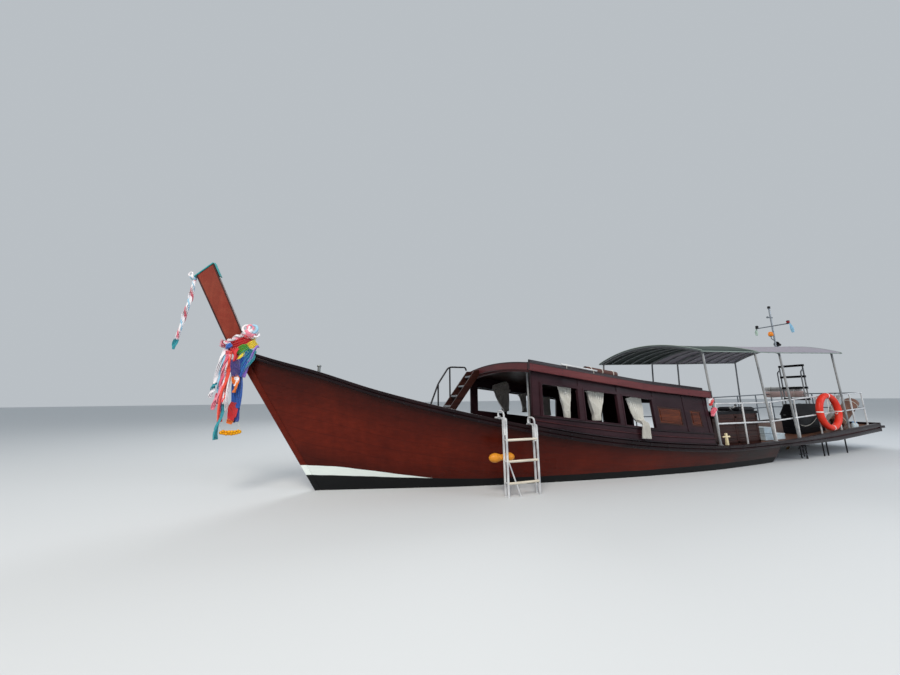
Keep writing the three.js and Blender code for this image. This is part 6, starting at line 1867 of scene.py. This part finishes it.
# GARLANDS at the foot of the prow board
# columns: name, cloth, flat width, pleats, turns of twist, seen widths, points
STREAMERS = [
    ("white_band", "white", 230, 4, 2.0, (75, 68, 64, 64, 71),
     [(6140, 74, 1846), (6119, 86, 1857), (6042, 92, 1917), (5962, 88, 1961), (5890, 66, 2005)]),
    ("pink_band", "pink", 170, 3, 2.2, (54, 47, 47, 49, 54),
     [(6190, 40, 1838), (6150, 72, 1850), (6050, 84, 1900), (5960, 80, 1945), (5885, 66, 1990)]),
    ("red_band", "red", 330, 5, 0.0, (97, 139, 150, 139, 97),
     [(6150, 52, 1790), (6047, 92, 1822), (5967, 96, 1857), (5900, 84, 1890), (5862, 56, 1905)]),
    ("green_band", "green", 280, 6, 0.0, (64, 90, 97, 75),
     [(6010, 118, 1732), (5965, 122, 1768), (5926, 122, 1794), (5880, 112, 1815)]),
    ("yellow_band", "yellow", 230, 5, 0.0, (71, 98, 102, 86),
     [(5885, 112, 1812), (5852, 112, 1830), (5820, 100, 1852), (5798, 76, 1868)]),
    ("pale_yellow_fold", "yellow", 200, 4, 0.2, (64, 81, 64),
    [(5900, 112, 1760), (5950, 122, 1700), (5990, 126, 1640)]),
    ("teal_sash", "teal", 420, 6, 0.05, (118, 182, 171, 118),
     [(5840, 112, 1778), (5880, 130, 1680), (5926, 140, 1580), (5948, 142, 1490)]),
    ("sky_sash", "blue", 300, 5, 0.1, (64, 97, 118, 108),
     [(5862, 122, 1735), (5905, 142, 1630), (5940, 150, 1530), (5956, 152, 1430)]),
    ("lilac_ribbon", "purple", 120, 3, 0.5, (36, 32, 32, 36),
     [(5770, 100, 1815), (5793, 120, 1800), (5859, 150, 1578), (5894, 160, 1419)]),
    ("red_roll", "red", 260, 4, 0.4, (90, 97, 90, 92),
     [(6030, 116, 1790), (6020, 134, 1745), (6004, 144, 1685), (5985, 146, 1620)]),
    ("purple_sash", "indigo", 360, 8, 0.0, (90, 102, 98, 86),
     [(6000, 158, 1640), (5990, 172, 1560), (5982, 176, 1500), (5976, 176, 1430)]),
    ("orange_sash", "orange", 260, 5, 0.3, (81, 94, 90, 64),
     [(5984, 172, 1446), (5966, 184, 1370), (5962, 184, 1300), (5976, 178, 1236)]),
    ("orange_fold", "white", 150, 3, 0.4, (43, 49, 36),
    [(5964, 190, 1425), (5950, 196, 1370), (5966, 192, 1310)]),
    ("blue_sash", "blue", 360, 6, 0.08, (97, 118, 120, 112, 98),
     [(5958, 146, 1440), (5955, 150, 1325), (5948, 150, 1202), (5946, 150, 1120),
     (5945, 150, 1050)]),
    ("navy_sash", "navy", 220, 4, 0.2, (64, 60, 54, 54, 64),
     [(5934, 132, 1330), (5936, 132, 1140), (5930, 134, 1018), (5924, 138, 950), (5922, 140, 888)]),
    ("navy_end", "navy", 160, 4, 0.1, (64, 75, 54),
    [(5975, 144, 960), (5955, 146, 920), (5930, 146, 896)]),
    ("scarlet_end", "red", 260, 5, 0.1, (64, 81, 86, 81),
     [(5968, 156, 1120), (5982, 160, 1060), (5984, 160, 990), (5982, 160, 905)]),
    ("scarlet_fold", "red", 180, 4, 0.2, (42, 52, 45),
    [(5950, 156, 1070), (5944, 160, 1010), (5950, 156, 940)]),
    ("sky_streamer", "sky", 130, 3, 1.2, (29, 34, 35, 32, 29),
     [(6122, 122, 1740), (6130, 140, 1600), (6146, 146, 1450), (6150, 148, 1330),
     (6142, 148, 1230)]),
    ("grey_streamer", "white", 130, 3, 1.4, (25, 30, 34, 30, 27),
     [(6098, 138, 1700), (6088, 158, 1520), (6096, 164, 1360), (6090, 164, 1230),
     (6076, 160, 1100)]),
    ("plum_streamer", "navy", 110, 3, 1.0, (22, 25, 27, 24, 20),
     [(6112, 128, 1700), (6094, 150, 1500), (6098, 158, 1300), (6106, 158, 1150),
     (6096, 156, 1020)]),
    ("crimson_streamer", "coral", 150, 4, 1.3, (29, 37, 40, 37, 34),
     [(6086, 134, 1745), (6066, 154, 1560), (6060, 160, 1400), (6074, 162, 1260),
     (6086, 160, 1120)]),
    ("orange_end", "orange", 200, 4, 0.1, (68, 77, 64),
    [(5986, 156, 925), (5992, 156, 896), (5999, 154, 868)]),
    ("white_sash", "white", 170, 3, 0.5, (36, 39, 43, 39, 36),
     [(6070, 142, 1699), (6054, 152, 1500), (6048, 156, 1400), (6050, 156, 1187),
     (6042, 154, 1010)]),
    ("coral_streamer", "coral", 260, 5, 0.4, (60, 71, 75, 71, 64, 54),
     [(6080, 128, 1740), (6075, 150, 1560), (6076, 156, 1400), (6104, 158, 1240), (6111, 156, 1082),
     (6099, 152, 892)]),
    ("pink_streamer", "pink", 250, 4, 1.0, (54, 66, 71, 66, 54),
     [(6108, 120, 1752), (6108, 142, 1573), (6106, 150, 1417), (6124, 150, 1264),
     (6130, 148, 1100)]),
    ("rose_streamer", "rose", 220, 4, 1.3, (43, 51, 54, 49, 43),
     [(6092, 132, 1745), (6100, 150, 1600), (6120, 154, 1430), (6118, 156, 1250),
     (6092, 156, 1120)]),
    ("teal_tail", "teal", 210, 4, 0.4, (43, 54, 64, 68, 64, 54),
     [(6095, 142, 1112), (6092, 150, 1010), (6104, 150, 919), (6126, 150, 830), (6130, 148, 770),
     (6124, 146, 690)]),
    ("violet_tail", "pink", 130, 3, 0.7, (39, 45, 47, 39),
     [(6150, 144, 1230), (6166, 144, 1160), (6180, 146, 1090), (6190, 146, 1035)]),
    ("white_tail", "white", 170, 3, 0.8, (39, 45, 47, 43, 49),
     [(6118, 112, 1776), (6145, 130, 1700), (6168, 138, 1560), (6188, 140, 1420),
     (6200, 138, 1340)]),
    ("sky_tail", "teal", 150, 3, 0.6, (43, 54, 47),
    [(6190, 138, 1360), (6206, 136, 1310), (6214, 134, 1260)]),
    ("white_end", "white", 150, 3, 0.6, (47, 55, 36),
    [(6206, 138, 1290), (6220, 136, 1230), (6232, 134, 1175)]),
    ("starboard_band", "white", 210, 4, 2.2, (71, 64, 64, 71),
     [(6185, -30, 1868), (6110, -66, 1906), (5980, -70, 1975), (5880, -56, 2018)]),
    ("starboard_red_band", "red", 300, 5, 0.0, (81, 129, 133, 86),
     [(6170, -38, 1790), (6090, -64, 1832), (5970, -66, 1895), (5868, -46, 1940)]),
    ("bow_band", "pink", 220, 4, 0.0, (90, 98, 90),
    [(6186, 52, 1850), (6214, 0, 1856), (6186, -46, 1850)]),
    ("back_band", "yellow", 220, 4, 0.0, (90, 98, 90),
    [(5862, 50, 1942), (5836, 0, 1950), (5862, -46, 1942)]),
]
knots = Shape()
knot(knots, (6101, 106, 1809), 44, (0,), 3)
knot(knots, (5890, 96, 1990), 70, (1, 2), 5)
knot(knots, (5852, 70, 1960), 54, (2, 1), 8)
knot(knots, (5906, 112, 1950), 40, (4, 2), 9)
# columns: middle, axis, radius, thickness, finish
BOWS = [((5850, 96, 2040), (0.2, 1, 0.1), 50, 16, 3), ((5930, 100, 2046), (0.4, 1, 0.3), 42, 15, 1),
        ((5880, 104, 2056), (-0.4, 1, 0.2), 34, 13, 2),
        ((5818, 84, 1975), (-0.3, 1, 0.5), 38, 14, 1)]
for middle, axis, radius, fat, finish in BOWS:
    knots.ring(middle, axis, radius, fat, 20, 8, finish)
tied = piece("garland_knots", knots, cloths("blue", "white", "pink", "sky", "red"))
for row, (name, colour, flat, folds, turns, widths, points) in enumerate(STREAMERS):
    cloth_strip(f"sash_{name}", points, flat, widths, sash_cloth[colour], folds, turns,
                stands_for="bow_garland" if row == 0 else (), flutter=3.0)

# Twisted ribbon at the board's top corner, with its knot and teal tail
tip = Shape()
knot(tip, (6598, 0, 2686), 42, (0, 2, 1, 0), 11)
tip.ring((6622, 10, 2728), (0.5, 1, 0.2), 26, 9, 18, 8, 1)
tip.ring((6612, -16, 2708), (0.2, 1, 0.6), 22, 8, 18, 8, 1)
tip_knot = piece("tip_knot", tip, cloths("sky", "white", "teal"))
TIP_LINE = smooth_line([(6580, 4, 2672), (6584, 4, 2560), (6597, 2, 2400), (6628, 0, 2240),
                        (6655, 0, 2060), (6684, 0, 1880)], 8)
# columns: cloth, seen width, distance from the middle, start of its turn
TWISTS = [("white", 42, 9, 0.0), ("rose", 26, 15, 1.9), ("white", 34, 10, 3.4),
    ("sky", 22, 15, 4.9)]
for row, (colour, wide, out, start) in enumerate(TWISTS):
    twisted = []
    for point, share in zip(TIP_LINE, spread(0, 1, len(TIP_LINE) - 1)):
        turn = start + 2 * math.pi * 3.2 * share
        reach = out * (0.45 + 0.55 * math.sin(math.pi * share))
        twisted.append(point + Vector((reach * math.cos(turn), reach * math.sin(turn), 0)))
    cloth_strip(f"tip_ribbon_twist_{row + 1}", twisted, 2.6 * wide,
                (wide * 0.8, wide, wide, wide * 0.85), sash_cloth[colour], 2, 1.6, steps=2,
                stands_for="tip_ribbon" if row == 0 else ())
cloth_strip("tip_ribbon_tail", [(6684, 0, 1890), (6694, 2, 1850), (6702, 0, 1810),
    (6706, -4, 1762)],
            200, (48, 58, 64, 44), sash_cloth["teal"], 4, 0.2)

# Ribbons on the mast's crossbar
for name, side, colour, drop in (("crossbar_ribbon_blue", 1, "sky", 215),
                                 ("crossbar_ribbon_pale", -1, "pale", 165)):
    y = side * (BAR_HALF + 2)
    cloth_strip(name, [(MAST_X, y, BAR_Z + 6), (MAST_X - 10, y + side * 16, BAR_Z - 50),
                       (MAST_X - 22, y + side * 22, BAR_Z - 0.6 * drop),
                       (MAST_X - 30, y + side * 26, BAR_Z - drop)],
                120, (34, 48, 66, 54), sash_cloth[colour], 3, 0.3)

# DECK GOODS: white crates of slatted sides, two stacked and one alone
crates = Shape()
for x0, x1, stack in ((-2690, -2400, 2), (-2960, -2720, 1)):
    for n in range(stack):
        z0, inset = 353.5 + n * 114, n * 4
        y0, y1, z1 = 620 + inset, 900 - inset, z0 + 106
        crates.block(x0 + inset, x1 - inset, y0, y1, z1 - 16, z1)
        crates.block(x0 + inset + 8, x1 - inset - 8, y0 + 8, y1 - 8, z0, z1 - 10)
        for z in spread(z0 + 14, z1 - 34, 3):
            crates.block(x0 + inset + 3, x1 - inset - 3, y0 + 3, y1 - 3, z - 5, z + 5)
piece("white_deck_crates", crates, white_goods, edge=2, turn=False)

# Nodes that keep the part's own mesh take their finish here
for finish, nodes in (
        (maroon, "transom fore_bulkhead cabin_side_port cabin_side_starboard cabin_aft_wall"),
        (rail_dark, "overhang_frame stern_frame rudder"), (topsides, "keel"),
        (bronze, "shaft_gland shaft_bracket propeller"), (steel, "propeller_shaft"),
        (black_steel, "engine_block")):
    for node in nodes.split():
        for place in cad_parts[node].material_slots:
            place.material = finish

# ROOF AND STERN GOODS: rolled canvas and a pole on the roof, mats lashed on the stern rail
canvas_at = lambda x: (x, 980, roof_top(x, 980) + 57)
wound("port_roof_canvas", canvas_at(1446), canvas_at(903), 56, 12, 10, 4, brown_canvas,
      ties=3)
POLE_Y = 1060
pole_z = lambda x, rise: roof_top(x, POLE_Y) + rise
roof_pole = Shape().tube([(x, POLE_Y, pole_z(x, 60.4)) for x in spread(1904, 1307, 6)], 14)
for x in (1830, 1380):
    roof_pole.ring((x, POLE_Y, pole_z(x, 60)), FORWARD, 14.5, 3, 20, 8, 1)
    roof_pole.tube([(x, POLE_Y + a, pole_z(x, b))
                    for a, b in ((17, 56), (20, 40), (21, 10), (21, 1))], 3, 8, 1)
piece("roof_edge_pole", roof_pole, [rail_white, rope_white])


# The stern rail's top tube, over which the mats hang
TOP_X, TOP_Z = RAIL_HIGH[-1]


def saddle(name, reach, y0, y1, drop, finish):
    """A mat folded over the rail, `reach` mm from the tube's middle; its edges wave a little."""
    x, z = TOP_X, TOP_Z
    rings = []
    for y in spread(y0, y1, 40):
        sag = drop + 3.0 * math.sin(y / 71) + 1.5 * math.sin(y / 29 + reach)
        swell = 1.5 + 1.5 * math.sin(y / 47)
        ring = [(x + reach + swell + 5, y, z - sag * (1 - t)) for t in spread(0, 1, 8)[:-1]]
        ring += [(x + (reach + swell) * math.cos(a), y, z + reach * math.sin(a))
                 for a in [math.pi * k / 12 for k in range(13)]]
        ring += [(x - reach - swell - 5, y, z - sag * t) for t in spread(0, 1, 8)[1:]]
        rings.append(ring)
    sheet = piece(name, Shape().loft(rings, closed=False), finish, thick=11,
                  turn=False)


# columns: distance from the tube's middle, y of both edges, drop on each side, finish
LAYERS = [(19, -150, -920, 62, mat_rose), (30.5, -140, -930, 74, mat_grey),
          (42, -135, -925, 68, mat_rose), (53.5, -145, -935, 80, mat_grey),
          (65, -130, -930, 72, mat_rose)]
for number, layer in enumerate(LAYERS, 1):
    saddle(f"stern_mat_{number}", *layer)
ROLL_Z = TOP_Z + 72 + 56
wound("stern_mat_roll", (TOP_X, -170, ROLL_Z), (TOP_X, -900, ROLL_Z), 54, 12, 9, 4, mat_grey,
      side=UPRIGHT, ties=3)
lashing = Shape()
# columns: forward and up from the tube's middle, from the top round the aft side
HUG = [(-38, 172), (-60, 128), (-78, 60), (-82, 0), (-83, -60), (-60, -92)]
HUG = [(0, 185), *[(-a, b) for a, b in HUG], (0, -100), *HUG[::-1], (0, 185)]
for y in (-290, -780):
    lashing.tube(smooth_line([(TOP_X + a, y, TOP_Z + b) for a, b in HUG], 5), 4, 8, side=(0, 1, 0))
piece("stern_mat_lashings", lashing, rope_white)

# Cloths knotted round the first hoop's port leg
tied_cloths = Shape()
leg_y = lambda z: 1165 - 80 * (z - 450) / 1400 + 8
knot(tied_cloths, (-838, leg_y(1080), 1082), 34, (0, 1), 21)
knot(tied_cloths, (-838, leg_y(925), 928), 40, (2,), 22)
leg_knots = piece("hoop_leg_knots", tied_cloths, cloths("red", "white", "rose"))
# columns: name, cloth, height of its knot, length
LEG_CLOTHS = [("crimson", "red", 1078, 150), ("pale", "white", 1090, 120),
              ("rose", "rose", 925, 165), ("pink", "pink", 915, 140)]
for row, (name, colour, z, reach) in enumerate(LEG_CLOTHS):
    y = leg_y(z)
    cloth_strip(f"leg_cloth_{name}", [(-826, y + 14, z + 4), (-790, y + 30, z - 6),
        (-760, y + 34, z - 34),
                (-740, y + 32, z - 0.6 * reach)], 150, (34, 56, 70, 58), sash_cloth[colour], 3, 0.2)

# Horn on the aft canopy behind the mast, and two jugs beside the leaning mat
horn_z = arch_z(-5030, 0) + LIFT + CANVAS
horn = Shape()
horn.turned((-5030, 0, horn_z), UPRIGHT, [(0, 34), (4, 34), (8, 12), (34, 11)], 20)
horn.turned((-5095, 0, horn_z + 62), (1, 0, 0.12), [
    (0, 22), (6, 30), (44, 32), (52, 20), (70, 20), (96, 34), (118, 58), (122, 60), (122, 56),
    (100, 30), (80, 14)], 28)
piece("deck_horn", horn, lamp_black)
jugs = Shape()
for x, y, tall in ((-5310, 850, 116), (-5425, 842, 96)):
    foot = deck_z(x) + 1.2
    jugs.turned((x, y, foot), UPRIGHT, [(0, 29), (4, 34), (tall * 0.6, 34), (tall * 0.8, 28),
                                        (tall * 0.88, 14), (tall, 14)], 24)
    jugs.turned((x, y, foot + tall), UPRIGHT, [(0, 16), (14, 16), (17, 12)], 20, 1)
piece("deck_jugs", jugs, [white_goods, sky_cap])

# SMALL PARTS set along lines by the tree
# Marigold heads threaded under the bow sashes
head = Shape().turned((0, 0, -13), UPRIGHT, [(0, 5), (3, 14), (8, 20), (12, 15), (14, 19),
                                             (18, 13), (20, 15), (25, 7), (27, 2)], 11)
marigold = part_object("marigold_head", head)
flower_route = smooth_line(FLOWER_LINE[3:-3], 6)
lower_line = [(p, (0, 1, 0)) for p in flower_route]
upper_line = [((x, y + 9, z + 21), (0, 1, 0.3)) for x, y, z in flower_route[4:-4]]
marigold_row = set_along("marigold_heads", [lower_line], marigold, 25, marigold_petal,
                         (1.0, 1.25), 4)
marigold_upper = set_along("marigold_heads_upper", [upper_line], marigold, 27, marigold_petal,
                           (0.85, 1.1), 9)
laid_cord("marigold_thread", FLOWER_LINE, 5)
bpy.data.objects.remove(marigold)

# Rings of the curtains: each hangs on the rod, its middle a little under the rod's
hoop = part_object("curtain_ring", Shape().ring((0, 0, 0), UPRIGHT, 12.5, 2.2, 18, 6))
hung = [[((x, y, z - 2.1), look) for (x, y, z), look in line] for line in ring_lines]
set_along("curtain_rings", hung, hoop, 38, steel, seed=2)
bpy.data.objects.remove(hoop)

# Screw heads along the rub rails and wooden plugs along the fascia
stud = Shape().turned((0, 0, -4), UPRIGHT, [(0, 8), (4.2, 8), (5.6, 6.6), (6.2, 3), (5.4, 2.6),
    (5.3, 0.4)], 10)
screw = part_object("screw_head", stud)
rail_lines = [[((x, side * (half_beam(x) + 45), edge_z(x) - down), (0, side, 0))
               for x in spread(4300, -2850, 60)] for side in (1, -1) for down in (21, 74)]
fascia_lines = [[((x, side * (roof_half(x) + 23), fascia_z(x, share)), (0, side, 0))
                 for x in spread(2400, -740, 24)] for side in (1, -1) for share in (0.3, 0.74)]
set_along("rub_rail_screws", rail_lines, screw, 310, black_steel, seed=3)
set_along("fascia_plugs", fascia_lines, screw, 420, drip_brown, (0.8, 0.8), 5)
bpy.data.objects.remove(screw)


# STUDIO: plain pale floor at the waterline, pale surroundings and soft lights
FLOOR_HALF = 150
floor_mesh = bpy.data.meshes.new("floor")
floor_mesh.from_pydata([(x * FLOOR_HALF, y * FLOOR_HALF, 0) for x, y in (
    (-1, -1), (1, -1), (1, 1), (-1, 1))], [], [(0, 1, 2, 3)])
floor = linked("floor", floor_mesh)
pale, pale_tree = new_finish("pale_studio_floor")
close_finish(pale_tree, {"Base Color": "#c9cdd0", "Roughness": 0.85})
floor_mesh.materials.append(pale)

world = bpy.data.worlds.new("studio")
bpy.context.scene.world = world
world.use_nodes = True
backdrop = world.node_tree.nodes["Background"].inputs
backdrop["Color"].default_value = linear("#dfe6ec")
backdrop["Strength"].default_value = 0.66


def soft_light(name, place, target, size, power, colour="#ffffff"):
    """A round lamp of `size` metres at a place, turned to a target."""
    data = bpy.data.lights.new(name, "AREA")
    data.shape, data.size, data.energy = "DISK", size, power
    data.color = linear(colour)[:3]
    lamp = linked(name, data)
    lamp.location = place
    lamp.rotation_euler = (Vector(target) - Vector(place)).to_track_quat("-Z", "Y").to_euler()


soft_light("key", (9.0, 11.0, 13.0), (0.5, 0, 0.6), 7.0, 2250, "#fff6ea")
soft_light("fill", (-9.0, 12.0, 7.0), (-2.0, 0, 0.8), 8.0, 750, "#eaf2ff")
soft_light("back", (-2.0, -12.0, 10.0), (0.0, 0, 1.0), 8.0, 800)
bpy.context.scene.view_settings.view_transform = "Standard"
